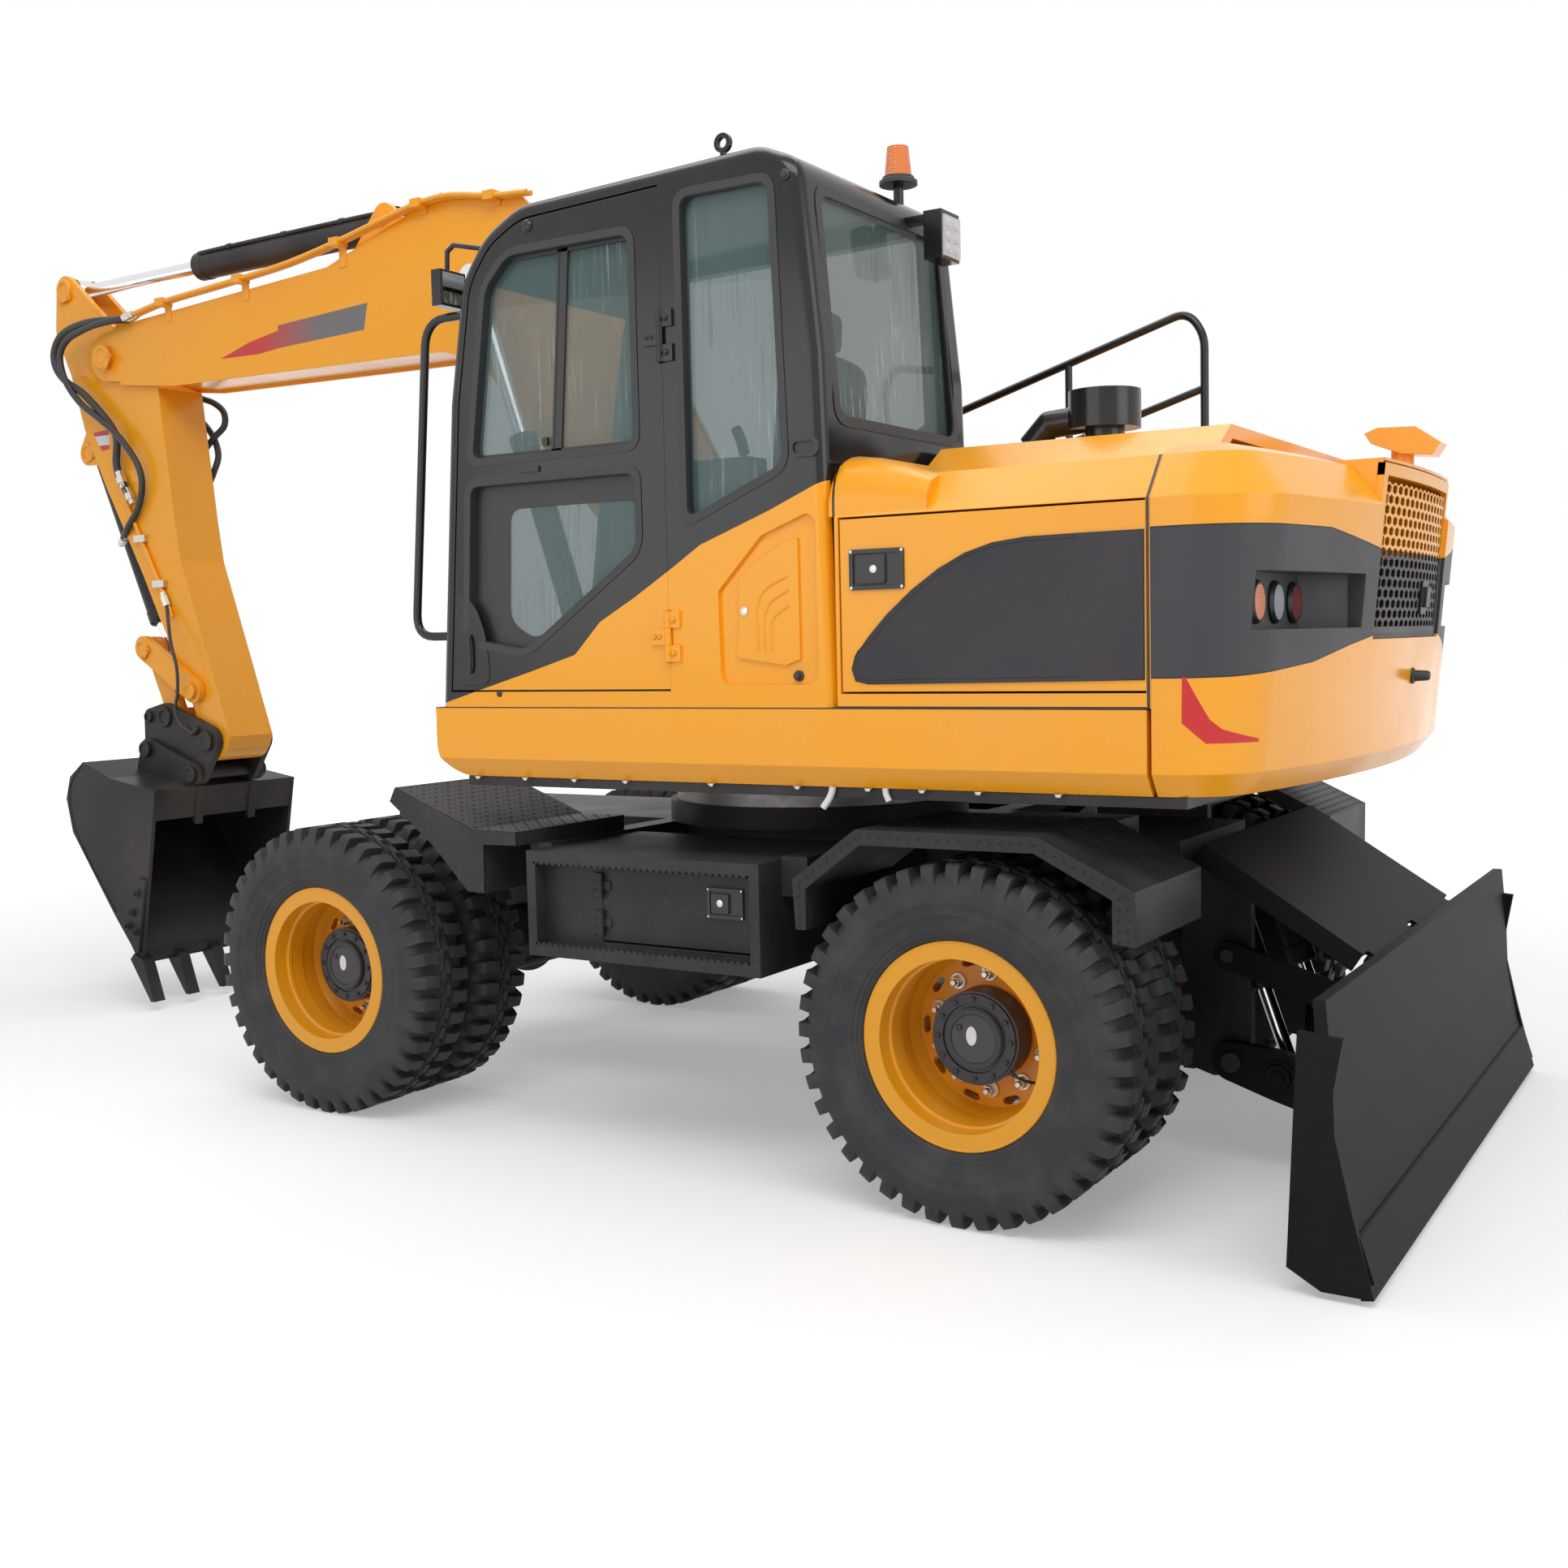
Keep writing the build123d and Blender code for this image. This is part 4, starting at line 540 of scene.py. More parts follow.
# %% Metals
rod_chrome = Finish("rod_chrome", (0.78, 0.78, 0.80), 0.10, Metallic=1.0)
rod_chrome.set("Roughness", rod_chrome.noise(30.0, 3.0, (1, 1, 6)) * 0.10 + 0.08)
ring_steel = Finish("ring_steel", (0.30, 0.29, 0.28), 0.42, Metallic=1.0)
ring_steel.set("Roughness", ring_steel.noise(40.0, 4.0) * 0.3 + 0.3)
engine_iron = Finish("engine_iron", (0.10, 0.11, 0.11), 0.60)
engine_iron.bump(engine_iron.noise(60.0, 4.0), 0.001)
zinc = Finish("zinc_plate", (0.62, 0.60, 0.55), 0.32, Metallic=1.0)
zinc.set("Roughness", zinc.noise(80.0, 3.0) * 0.25 + 0.22)
mirror_silver = Finish("mirror_silver", (0.85, 0.86, 0.87), 0.03, Metallic=1.0)
mirror_silver.set("Roughness", mirror_silver.noise(20.0) * 0.03 + 0.02)
print("metals", rod_chrome.material.name, ring_steel.material.name, zinc.material.name)

# %% [markdown]
# Rubber and plastic are nearly black, and never quite even: tyres hold pale dust in broad
# patches, and moulded plastic has a fine grain. The seat is cloth with a soft sheen.

# %% Rubber, plastic and cloth
TYRE_BLACK, TYRE_DUST = (0.036, 0.037, 0.040), (0.16, 0.145, 0.125)
tyre_rubber = Finish("tyre_rubber", (0.036, 0.037, 0.039), 0.66, IOR=1.45, Specular_IOR_Level=0.3)
rubber_dust = tyre_rubber.noise(9.0, 5.0).between(0.45, 0.80)
tyre_rubber.set("Base Color", tyre_rubber.mix(rubber_dust * 0.30, TYRE_BLACK, TYRE_DUST))
tyre_rubber.set("Roughness", rubber_dust * 0.15 + 0.58)
tyre_rubber.bump(tyre_rubber.noise(180.0, 3.0), 0.0005)
hose_rubber = Finish("hose_rubber", (0.026, 0.026, 0.028), 0.48)
hose_rubber.bump(hose_rubber.noise(300.0, 2.0), 0.0003)
black_plastic = Finish("black_plastic", (0.022, 0.022, 0.024), 0.42)
black_plastic.bump(black_plastic.noise(420.0, 2.0), 0.0002, edge=0.002)
white_plastic = Finish("white_plastic", (0.78, 0.78, 0.76), 0.40)
white_plastic.bump(white_plastic.noise(200.0, 2.0), 0.0001)
seat_cloth = Finish("seat_cloth", (0.055, 0.056, 0.062), 0.85, Sheen_Weight=0.3)
seat_cloth.bump(seat_cloth.noise(500.0, 2.0), 0.0006, edge=0.03)
print("rubber", tyre_rubber.material.name, hose_rubber.material.name)

# %% [markdown]
# The cab's panes are lightly tinted and carry the runs that rain leaves: a thin whitish film
# in upright streaks, which is also a little rougher and hides more of what is behind.

# %% Glass
GLASS_TINT, RAIN_FILM = (0.13, 0.21, 0.21), (0.72, 0.80, 0.82)
cab_glass = Finish("cab_glass", (0.16, 0.22, 0.23), 0.02, IOR=1.45, Alpha=0.42)
x, y, z = cab_glass.place()
runs = cab_glass.noise(30.0, 4.0, (2.6, 2.6, 0.07)).between(0.56, 0.74)
patches = cab_glass.noise(2.4, 3.0).between(0.46, 0.62)
streaks = runs * patches
cab_glass.set("Base Color", cab_glass.mix(streaks, GLASS_TINT, RAIN_FILM))
cab_glass.set("Roughness", streaks * 0.25 + 0.02)
cab_glass.set("Alpha", streaks * 0.30 + 0.40)
print("glass", GLASS_TINT)

# %% [markdown]
# ## Lamps
# One node holds every lens: the amber beacon on the roof, the clear work lamp, and in each
# tail pocket an amber, a white and a red lamp from the outside in. The finish picks its
# colour by place, and fine rings in the bump stand for the moulded optics.

# %% Lamp finish
CLEAR_LENS, AMBER, RUBY = (0.62, 0.64, 0.70), (0.85, 0.20, 0.01), (0.30, 0.004, 0.012)
BEACON_Z, TAIL_LAMP_X, AMBER_OUT, RUBY_OUT = 2.95, REAR_AXLE_X - 0.5, 0.96, 0.80
OPTIC_RINGS = 900.0
lamp_lens = Finish(
    "lamp_lens", (0.80, 0.80, 0.82), 0.10, IOR=1.49, Coat_Weight=0.35, Coat_Roughness=0.03
)
x, y, z = lamp_lens.place()
out = abs(y)
tail_lamp = x < TAIL_LAMP_X
amber = (z > BEACON_Z).most(tail_lamp * (out > AMBER_OUT))
ruby = tail_lamp * (out < RUBY_OUT)
lens_colour = lamp_lens.mix(amber, CLEAR_LENS, AMBER)
lamp_lens.set("Base Color", lamp_lens.mix(ruby, lens_colour, RUBY))
lamp_lens.bump((z * OPTIC_RINGS).wave(), 0.0006)
print("lens colours", CLEAR_LENS, AMBER, RUBY)

# %% [markdown]
# ## Every CAD node gets its finish
# The record names a material slot for each node. Most nodes take the finish of their slot,
# and a few need a finish of their own, such as the boom with its stripe.

# %% Dress the nodes
FINISH_OF_SLOT = {
    "orange_paint": orange_enamel,
    "black_paint": chassis_enamel,
    "cab_paint": cab_enamel,
    "wheel_paint": rim_enamel,
    "tyre_rubber": tyre_rubber,
    "clear_glass": cab_glass,
    "rod_chrome": rod_chrome,
    "ring_steel": ring_steel,
    "engine_iron": engine_iron,
    "seat_cloth": seat_cloth,
    "console_plastic": black_plastic,
    "lamp_lens": lamp_lens,
}


def dress(node, finish):
    """Gives a CAD node one finish, over its whole surface."""
    materials = frame["nodes"][node].data.materials
    materials.clear()
    materials.append(finish.material)


for part in frame["record"]["subparts"]:
    dress(part["node"], FINISH_OF_SLOT[part["material_slot"]])
OTHER_FINISHES = (
    (bucket_enamel, ("bucket", "coupler")),
    (blade_shaded_enamel, ("blade", "blade_arms", "blade_links", "blade_cover")),
    (chassis_enamel, ("arm_barrel", "bucket_barrel", "boom_barrels", "blade_barrels")),
    (trim_enamel, ("handrails", "mirrors", "stacks")),
    (link_enamel, ("guide_links", "push_link")),
    (boom_enamel, ("boom",)),
    (arm_enamel, ("arm",)),
    (tail_enamel, ("counterweight",)),
)
for finish, nodes in OTHER_FINISHES:
    for node in nodes:
        dress(node, finish)
print("dressed", len(frame["nodes"]), "nodes")

# %% [markdown]
# ## One small class for mesh parts
# Most fittings are turned, bent or cut from plate, so one class holds the few forms they
# need: rings of points joined into a skin, rods, turned profiles, cut plates, bolts and bent
# pipes. Each call adds to the same mesh, and `done` makes it one piece that rides on a body.


# %% Mesh helpers
def facing(axis, a, b, c):
    """The point (a, b) of a flat outline, at a place c along an axis."""
    return {"x": (c, a, b), "y": (a, c, b), "z": (a, b, c)}[axis]


def across(way):
    """Two directions at right angles to a way, and to each other."""
    way = Vector(way).normalized()
    first = way.cross(Vector((0, 0, 1)) if abs(way.z) < 0.9 else Vector((1, 0, 0))).normalized()
    return first, way.cross(first)


def full_turn(count):
    """Angles at even steps round a full turn."""
    return [2 * math.pi * n / count for n in range(count)]


def ring_at(centre, way, radius, sides, turn=0.0):
    """A ring of points about a centre, square to a way."""
    first, second = across(way)
    angles = [turn + a for a in full_turn(sides)]
    return [Vector(centre) + radius * (first * math.cos(a) + second * math.sin(a)) for a in angles]


def smooth_path(points, steps=6):
    """More points on a curve that runs through the given ones."""
    points = [Vector(p) for p in points]
    ends = [2 * points[0] - points[1], *points, 2 * points[-1] - points[-2]]
    path = []
    for a, b, c, d in zip(ends, ends[1:], ends[2:], ends[3:]):
        for n in range(steps):
            t = n / steps
            path.append(0.5 * (2 * b + (c - a) * t + (2 * a - 5 * b + 4 * c - d) * t**2
                               + (3 * b - a - 3 * c + d) * t**3))
    return path + [points[-1]]


class Shape:
    """A mesh in the making. Each method adds one form and returns the shape."""

    def __init__(self):
        self.mesh = bmesh.new()

    def skin(self, rings, ends=True, ring_closed=True, looped=False):
        """Joins rings of points, each with the same count, into one skin."""
        rows = [[self.mesh.verts.new(p) for p in ring] for ring in rings]
        count = len(rows[0])
        pairs = list(zip(rows, rows[1:])) + ([(rows[-1], rows[0])] if looped else [])
        for low, high in pairs:
            for n in range(count if ring_closed else count - 1):
                m = (n + 1) % count
                self.mesh.faces.new((low[n], low[m], high[m], high[n]))
        if ends and ring_closed and not looped:
            self.mesh.faces.new(rows[0][::-1])
            self.mesh.faces.new(rows[-1])
        return self

    def rod(self, start, end, radius, sides=16, end_radius=None):
        way = Vector(end) - Vector(start)
        last = radius if end_radius is None else end_radius
        return self.skin([ring_at(start, way, radius, sides), ring_at(end, way, last, sides)])

    def turned(self, centre, way, profile, sides=48, looped=False, turn=0.0):
        """A turned form, from a profile of (distance along, radius)."""
        centre, way = Vector(centre), Vector(way).normalized()
        rings = [ring_at(centre + way * a, way, r, sides, turn) for a, r in profile]
        return self.skin(rings, looped=looped)

    def bolt(self, place, way, radius, height=None, washer=True):
        """A hexagon head with its chamfer, on a washer."""
        height = height or radius * 1.3
        foot = height * 0.22
        if washer:
            self.turned(place, way, [(0, radius * 1.45), (foot, radius * 1.45)], 16)
        profile = [
            (foot if washer else 0, radius), (height * 0.85, radius), (height, radius * 0.82)
        ]
        return self.turned(place, way, profile, 6)

    def plate(self, outline, low, high, axis="y", bevel=0.0):
        """A plate with the given outline, between two places along an axis, its edges bevelled."""
        before = set(self.mesh.faces)
        self.skin([[facing(axis, a, b, c) for a, b in outline] for c in (low, high)])
        if bevel:
            made = [f for f in self.mesh.faces if f not in before]
            rim = {
                e for f in made for e in f.edges if len(f.verts) > 4 or e.calc_face_angle(0) > 0.6
            }
            bmesh.ops.bevel(self.mesh, geom=list(rim), offset=bevel, segments=2, affect="EDGES")
        return self

    def box(self, low, high, bevel=0.0):
        (x0, y0, z0), (x1, y1, z1) = low, high
        return self.plate([(x0, y0), (x1, y0), (x1, y1), (x0, y1)], z0, z1, "z", bevel)

    def pipe(self, points, radius, sides=10, steps=6):
        """A round pipe along a smooth path. Its ring turns with the path without twisting."""
        path = smooth_path(points, steps)
        first, _ = across(path[1] - path[0])
        rings = []
        for n, spot in enumerate(path):
            way = (path[min(n + 1, len(path) - 1)] - path[max(n - 1, 0)]).normalized()
            first = (first - way * first.dot(way)).normalized()
            second = way.cross(first)
            turns = [(math.cos(a), math.sin(a)) for a in full_turn(sides)]
            rings.append([spot + radius * (first * c + second * s) for c, s in turns])
        return self.skin(rings)

    def done(self, name, finish, body=None, slot=None, round_under=35.0):
        """The finished piece, smooth over edges flatter than an angle."""
        bmesh.ops.recalc_face_normals(self.mesh, faces=self.mesh.faces)
        for face in self.mesh.faces:
            face.smooth = True
        limit = math.radians(round_under)
        for edge in self.mesh.edges:
            edge.smooth = len(edge.link_faces) == 2 and edge.calc_face_angle(0) < limit
        data = bpy.data.meshes.new(name)
        self.mesh.to_mesh(data)
        self.mesh.free()
        data.materials.append(finish.material)
        piece = bpy.data.objects.new(name, data)
        scene.collection.objects.link(piece)
        if body:
            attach(piece, body)
        made_pieces.append((name, len(data.polygons)))
        return piece


made_pieces = []
print("shape methods", [m for m in vars(Shape) if not m.startswith("_")])

# %% [markdown]
# Outlines and courses come first, and the shapes follow them. Sheet metal and glass have
# soft corners, so one helper takes a corner in a soft turn, and `rounded` does it all round.


# %% Outline helpers
def side_points(points, y):
    """Side view points given from the rear axle, at one distance from the middle."""
    return [at(a, y, b) for a, b in points]


def soft_corner(before, corner, after, radius, steps, spare=2.1):
    """Points that take a corner in a soft turn. The turn leaves room for the next corner's."""
    before, corner, after = Vector(before), Vector(corner), Vector(after)
    reach = min(radius, (before - corner).length / spare, (after - corner).length / spare)
    start = corner + (before - corner).normalized() * reach
    end = corner + (after - corner).normalized() * reach
    shares = [n / steps for n in range(steps + 1)]
    return [(1 - t) ** 2 * start + 2 * t * (1 - t) * corner + t * t * end for t in shares]


def rounded(points, radius, steps=5):
    """An outline with its corners rounded."""
    around = zip([points[-1], *points], points, [*points[1:], points[0]])
    return [tuple(p) for corner in around for p in soft_corner(*corner, radius, steps)]


# %% [markdown]
# ## Tyres
# Each wheel has two 9.00-20 tyres side by side. The CAD tyre is faceted, with half as many
# lugs, to stay light for the collision check. Here each tyre is a grid of rings: at each
# width there is one radius on the lugs and one in the gaps, and the lugs lean a little, so
# that the shoulders get their slanted teeth. The sidewall has two raised lines and a bead line.

# %% Tyres
LUGS = 40
OUTER_TYRE_Y, TWIN_SPACING = 1.110, 0.295
# Columns: half width, radius on a lug, radius in a gap, lean of the lug as a share of the pitch.
TREAD_ROWS = (
    (0.000, 0.505, 0.490, 0.50), (0.018, 0.505, 0.490, 0.40), (0.021, 0.489, 0.489, 0.38),
    (0.029, 0.489, 0.489, 0.12), (0.032, 0.505, 0.482, 0.10), (0.070, 0.505, 0.477, 0.00),
    (0.097, 0.505, 0.472, 0.00), (0.104, 0.501, 0.466, 0.00), (0.111, 0.488, 0.460, 0.02),
    (0.1165, 0.470, 0.452, 0.04), (0.1205, 0.452, 0.444, 0.06), (0.1235, 0.430, 0.428, 0.06),
    (0.1250, 0.405, 0.405, 0.0), (0.1250, 0.398, 0.398, 0.0), (0.1225, 0.395, 0.395, 0.0),
    (0.1205, 0.372, 0.372, 0.0), (0.1205, 0.366, 0.366, 0.0), (0.1180, 0.363, 0.363, 0.0),
    (0.1130, 0.335, 0.335, 0.0), (0.1100, 0.322, 0.322, 0.0), (0.1075, 0.321, 0.321, 0.0),
    (0.1045, 0.309, 0.309, 0.0), (0.1015, 0.308, 0.308, 0.0), (0.0970, 0.2975, 0.2975, 0.0),
    (0.0935, 0.2945, 0.2945, 0.0), (0.0840, 0.2940, 0.2940, 0.0), (0.0840, 0.2570, 0.2570, 0.0),
)
# Columns: share of the pitch, and whether the place is on a lug.
TREAD_STEPS = ((0.00, 0), (0.05, 1), (0.55, 1), (0.60, 0))


def tyre_rings(x, middle):
    """The rings of one tyre, from one bead over the tread to the other."""
    rows = [(-w, high, low, -lean) for w, high, low, lean in TREAD_ROWS[::-1]]
    rows += TREAD_ROWS[1:]
    rings = []
    for w, high, low, lean in rows:
        ring = []
        for lug in range(LUGS):
            for share, on_lug in TREAD_STEPS:
                turn = 2 * math.pi * (lug + share - 0.3 + lean) / LUGS - math.pi / 2
                r = high if on_lug else low
                ring.append((x + r * math.cos(turn), middle + w, AXLE_Z + r * math.sin(turn)))
        rings.append(ring)
    return rings


WHEELS = (
    ("front_left", FRONT_AXLE_X, 1), ("front_right", FRONT_AXLE_X, -1),
    ("rear_left", REAR_AXLE_X, 1), ("rear_right", REAR_AXLE_X, -1),
)
for corner, x, side in WHEELS:
    tyres = Shape()
    for middle in (side * OUTER_TYRE_Y, side * (OUTER_TYRE_Y - TWIN_SPACING)):
        tyres.skin(tyre_rings(x, middle), looped=True)
    made = tyres.done(f"lugged_tyres_{corner}", tyre_rubber, f"wheel_{corner}", "tyre_rubber", 40.0)
    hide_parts(f"tyres_{corner}")
print("tyres", made_pieces[-4:])

# %% [markdown]
# ## Rims, nuts and hubs
# A disc wheel for twin tyres is rolled from strip, so its edge ends in a round lip and the
# barrel has a shallow gutter. Ten zinc nuts sit in pressed sockets. The hub's cover carries
# its own ring of small bolts, a plug, and a blank white oval, and the valve's stem comes out
# through a hand hole.

# %% Wheel fittings: rims and nuts
NUTS, NUT_CIRCLE = 10, 0.1675
HUB_BOLTS, HUB_BOLT_CIRCLE = 12, 0.112
DISC_Y, HUB_Y, CAP_Y, FLANGE_Y = 0.9885, 1.088, 1.100, 1.2025
# Sections of the rim, as (distance from the machine's middle, radius).
RIM_LIP = [(FLANGE_Y - 0.004 + 0.0055 * math.cos(a), 0.2885 + 0.0050 * math.sin(a))
           for a in full_turn(10)]
RIM_GUTTER = [(1.150, 0.2425), (1.146, 0.2340), (1.132, 0.2330), (1.128, 0.2360), (1.080, 0.2355),
              (1.076, 0.2425)]
RIM_STEP = [(DISC_Y - 0.001, 0.236), (DISC_Y + 0.010, 0.232), (DISC_Y + 0.012, 0.2265),
            (DISC_Y - 0.001, 0.2215)]


def spot_on(x, y, radius, turn):
    """A point on a wheel, at a radius and a turn about its axle."""
    return Vector((x + radius * math.cos(turn), y, AXLE_Z + radius * math.sin(turn)))


for corner, x, side in WHEELS:
    body, out = f"wheel_{corner}", Vector((0, side, 0))
    axle = Vector((x, 0, AXLE_Z))
    lip = Shape()
    for section in (RIM_LIP, RIM_GUTTER, RIM_STEP):
        lip.turned(axle, out, section, 72, looped=True)
    lip.done(f"rim_lips_{corner}", rim_enamel, body, "wheel_paint")
    sockets, nuts = Shape(), Shape()
    for n in range(NUTS):
        turn = 2 * math.pi * (n + 0.5) / NUTS
        place = spot_on(x, side * DISC_Y, NUT_CIRCLE, turn)
        sockets.turned(
            place, out, [(-0.001, 0.0255), (0.004, 0.0250), (0.006, 0.0225), (0.0015, 0.0205)], 20
        )
        nuts.bolt(place, out, 0.0165, 0.024)
        nuts.turned(place, out, [(0.020, 0.0095), (0.036, 0.0095), (0.039, 0.0075)], 12)
    sockets.done(f"nut_sockets_{corner}", rim_enamel, body, "wheel_paint")
    nuts.done(f"wheel_nuts_{corner}", zinc, body, "ring_steel")
print("rims and nuts", len(made_pieces))

# %% [markdown]
# The hub comes next, with the same places and the same loop over the four wheels.

# %% Wheel fittings: hubs and valves
HUB_RING = [(HUB_Y - 0.002, 0.126), (HUB_Y + 0.006, 0.125), (HUB_Y + 0.006, 0.098),
            (HUB_Y - 0.002, 0.096)]
CAP_RING = [(CAP_Y - 0.002, 0.086), (CAP_Y + 0.003, 0.084), (CAP_Y + 0.003, 0.070),
            (CAP_Y + 0.001, 0.068)]
PLUG_RADIUS, PLUG_TURN, VALVE_TURN = 0.052, 0.6, math.radians(216.0)
# Columns: distance from the machine's middle, radius, along the valve's stem.
VALVE_STEM = ((1.000, 0.205), (1.020, 0.203), (1.045, 0.200), (1.070, 0.186), (1.090, 0.168),
              (1.098, 0.150))
for corner, x, side in WHEELS:
    body, out = f"wheel_{corner}", Vector((0, side, 0))
    axle = Vector((x, 0, AXLE_Z))
    cover = Shape()
    for section in (HUB_RING, CAP_RING):
        cover.turned(axle, out, section, 60, looped=True)
    for turn in full_turn(HUB_BOLTS):
        cover.bolt(spot_on(x, side * (HUB_Y + 0.005), HUB_BOLT_CIRCLE, turn), out, 0.0068, 0.0085)
    plug = spot_on(x, side * (CAP_Y - 0.001), PLUG_RADIUS, PLUG_TURN)
    cover.turned(plug, out, [(0, 0.010), (0.005, 0.009), (0.007, 0.006)], 6)
    cover.done(f"hub_cover_{corner}", black_plastic, body, "console_plastic")
    label = Shape()
    oval = [
        Vector((x + side * 0.006 + 0.016 * math.cos(a), 0, AXLE_Z + 0.008 + 0.027 * math.sin(a)))
        for a in full_turn(28)
    ]
    label.skin(
        [[Vector((p.x, side * y, p.z)) for p in oval] for y in (CAP_Y - 0.0005, CAP_Y + 0.0008)]
    )
    label.done(f"hub_oval_{corner}", white_plastic, body, "lamp_lens")
    stem = Shape()
    path = [spot_on(x, side * y, r, VALVE_TURN) for y, r in VALVE_STEM]
    stem.pipe(path, 0.0042, 8)
    stem.turned(
        path[-1], path[-1] - path[-2], [(-0.004, 0.006), (0.014, 0.006), (0.016, 0.004)], 10
    )
    stem.turned(path[0], out, [(-0.014, 0.009), (0.004, 0.009), (0.006, 0.005)], 10)
    stem.done(f"valve_stem_{corner}", hose_rubber, body, "console_plastic")
print("wheel fittings", len(made_pieces))

# %% [markdown]
# ## The honeycomb grille
# The air leaves through a sheet with some two hundred upright six-sided holes. A honeycomb is
# a tiling: each cell is a ring of six faces between its hole and its own border, and cells
# share borders. The flat tiling is then laid on the tail's curve and given the sheet's
# thickness, and a folded frame holds it.

# %% Grille
GRILLE_HALF, GRILLE_LOW, GRILLE_HIGH = 0.4397, 1.5903, 2.075
GRILLE_BAR, BAR_CUTS = 0.034, 12
CELL_PITCH_Y, CELL_PITCH_Z = 0.0560, 0.0290
TAIL_BACK, TAIL_CURVE = 0.950, 4.8
TAIL_FOOT_Z, TAIL_HEIGHT, TAIL_LEAN = 1.205, 0.895, 0.080
grille_enamel = banded("grille_enamel", grey_over_band=True)


def tail_x(y, z, inside=0.0):
    """Where the counterweight's back stands, at a width and a height."""
    lean = TAIL_LEAN * ((z - TAIL_FOOT_Z) / TAIL_HEIGHT - 0.5)
    bulge = TAIL_CURVE - math.sqrt(TAIL_CURVE**2 - y * y)
    return REAR_AXLE_X - TAIL_BACK - lean + bulge + inside


def on_tail(y, z, inside=0.0):
    """A point on the counterweight's back, or inside it by a distance."""
    return Vector((tail_x(y, z, inside), y, z))


def six(y, z, half_width, half_height):
    """An upright six-sided cell's corners."""
    ring = ((0, 1), (1, 0.5), (1, -0.5), (0, -1), (-1, -0.5), (-1, 0.5))
    return [(y + a * half_width, z + b * half_height) for a, b in ring]


honeycomb = Shape()
rows = int((GRILLE_HIGH - GRILLE_LOW - 0.05) / CELL_PITCH_Z)
columns = int((2 * GRILLE_HALF - 0.05) / CELL_PITCH_Y)
for row in range(rows):
    z = GRILLE_LOW + 0.040 + row * CELL_PITCH_Z
    for column in range(columns):
        y = (column - (columns - 1) / 2 + (0.25 if row % 2 else -0.25)) * CELL_PITCH_Y
        hole = six(y, z, 0.37 * CELL_PITCH_Y, 0.48 * CELL_PITCH_Z)
        border = six(y, z, CELL_PITCH_Y / 2, CELL_PITCH_Z / 1.5)
        honeycomb.skin(
            [[on_tail(a, b, 0.013) for a, b in ring] for ring in (border, hole)], ends=False
        )
bmesh.ops.remove_doubles(honeycomb.mesh, verts=honeycomb.mesh.verts, dist=0.0004)
bmesh.ops.recalc_face_normals(honeycomb.mesh, faces=honeycomb.mesh.faces)
bmesh.ops.solidify(honeycomb.mesh, geom=honeycomb.mesh.faces, thickness=0.004)
print("grille holes", rows * columns)

# %% [markdown]
# A folded frame of four bars holds the sheet. Each bar is cut into short lengths, so that it
# follows the tail's curve.

# %% Grille frame
FRAME_BARS = (
    (-GRILLE_HALF, GRILLE_HALF, GRILLE_LOW, GRILLE_LOW + GRILLE_BAR),
    (-GRILLE_HALF, GRILLE_HALF, GRILLE_HIGH - GRILLE_BAR, GRILLE_HIGH),
    (-GRILLE_HALF, -GRILLE_HALF + GRILLE_BAR, GRILLE_LOW, GRILLE_HIGH),
    (GRILLE_HALF - GRILLE_BAR, GRILLE_HALF, GRILLE_LOW, GRILLE_HIGH),
)
for y0, y1, z0, z1 in FRAME_BARS:
    upright = y1 - y0 < z1 - z0
    rings = []
    for n in range(BAR_CUTS + 1):
        share = n / BAR_CUTS
        y, z = (y0, z0 + (z1 - z0) * share) if upright else (y0 + (y1 - y0) * share, z0)
        far = (y1, z) if upright else (y, z1)
        rings.append(
            [on_tail(y, z, 0.010), on_tail(*far, 0.010), on_tail(*far, 0.030), on_tail(y, z, 0.030)]
        )
    honeycomb.skin(rings)
grille = honeycomb.done("honeycomb_grille", grille_enamel, "upper", "black_paint")
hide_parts("rear_grille")
print("grille bars", len(FRAME_BARS))

# %% [markdown]
# The bay behind the grille is closed from above by a folded cover with a cheek on each side.
# A small latch holds the grille, and a rubber stop lower down keeps a lifted blade off it.

# %% Bay cover, latch and stop
BAY_HALF, BAY_FRONT, BAY_LOW, BAY_TOP, BAY_LID = 0.437, -0.568, 1.900, 2.080, 2.088
bay = Shape()
rings = []
for n in range(BAR_CUTS + 1):
    y = (2 * n / BAR_CUTS - 1) * BAY_HALF
    back = [on_tail(y, z, 0.014) for z in (BAY_TOP, BAY_LID)]
    rings.append([at(BAY_FRONT, y, BAY_TOP), *back, at(BAY_FRONT, y, BAY_LID)])
bay.skin(rings)
for side in (-1, 1):
    back = [(tail_x(side * BAY_HALF, b, 0.016) - REAR_AXLE_X, b) for b in (BAY_LID, 2.0, BAY_LOW)]
    cheek = [(BAY_FRONT, BAY_LOW), (BAY_FRONT, BAY_LID), *back]
    bay.skin(
        [[at(a, side * y, b) for a, b in cheek] for y in (BAY_HALF - 0.0035, BAY_HALF + 0.0015)]
    )
bay.done("tail_bay_cover", body_enamel("bay_enamel"), "upper", "orange_paint")
latch = Shape()
latch_plate = [(-0.175, 1.660), (-0.085, 1.660), (-0.085, 1.760), (-0.175, 1.760)]
latch_paddle = [(-0.160, 1.680), (-0.100, 1.680), (-0.100, 1.742), (-0.160, 1.742)]
latch.plate(rounded(latch_plate, 0.012), 0, 0.004, "x", 0.001)
latch.plate(rounded(latch_paddle, 0.008), -0.012, 0.001, "x", 0.003)
for vertex in latch.mesh.verts:
    vertex.co.x += tail_x(vertex.co.y, vertex.co.z, 0.006)
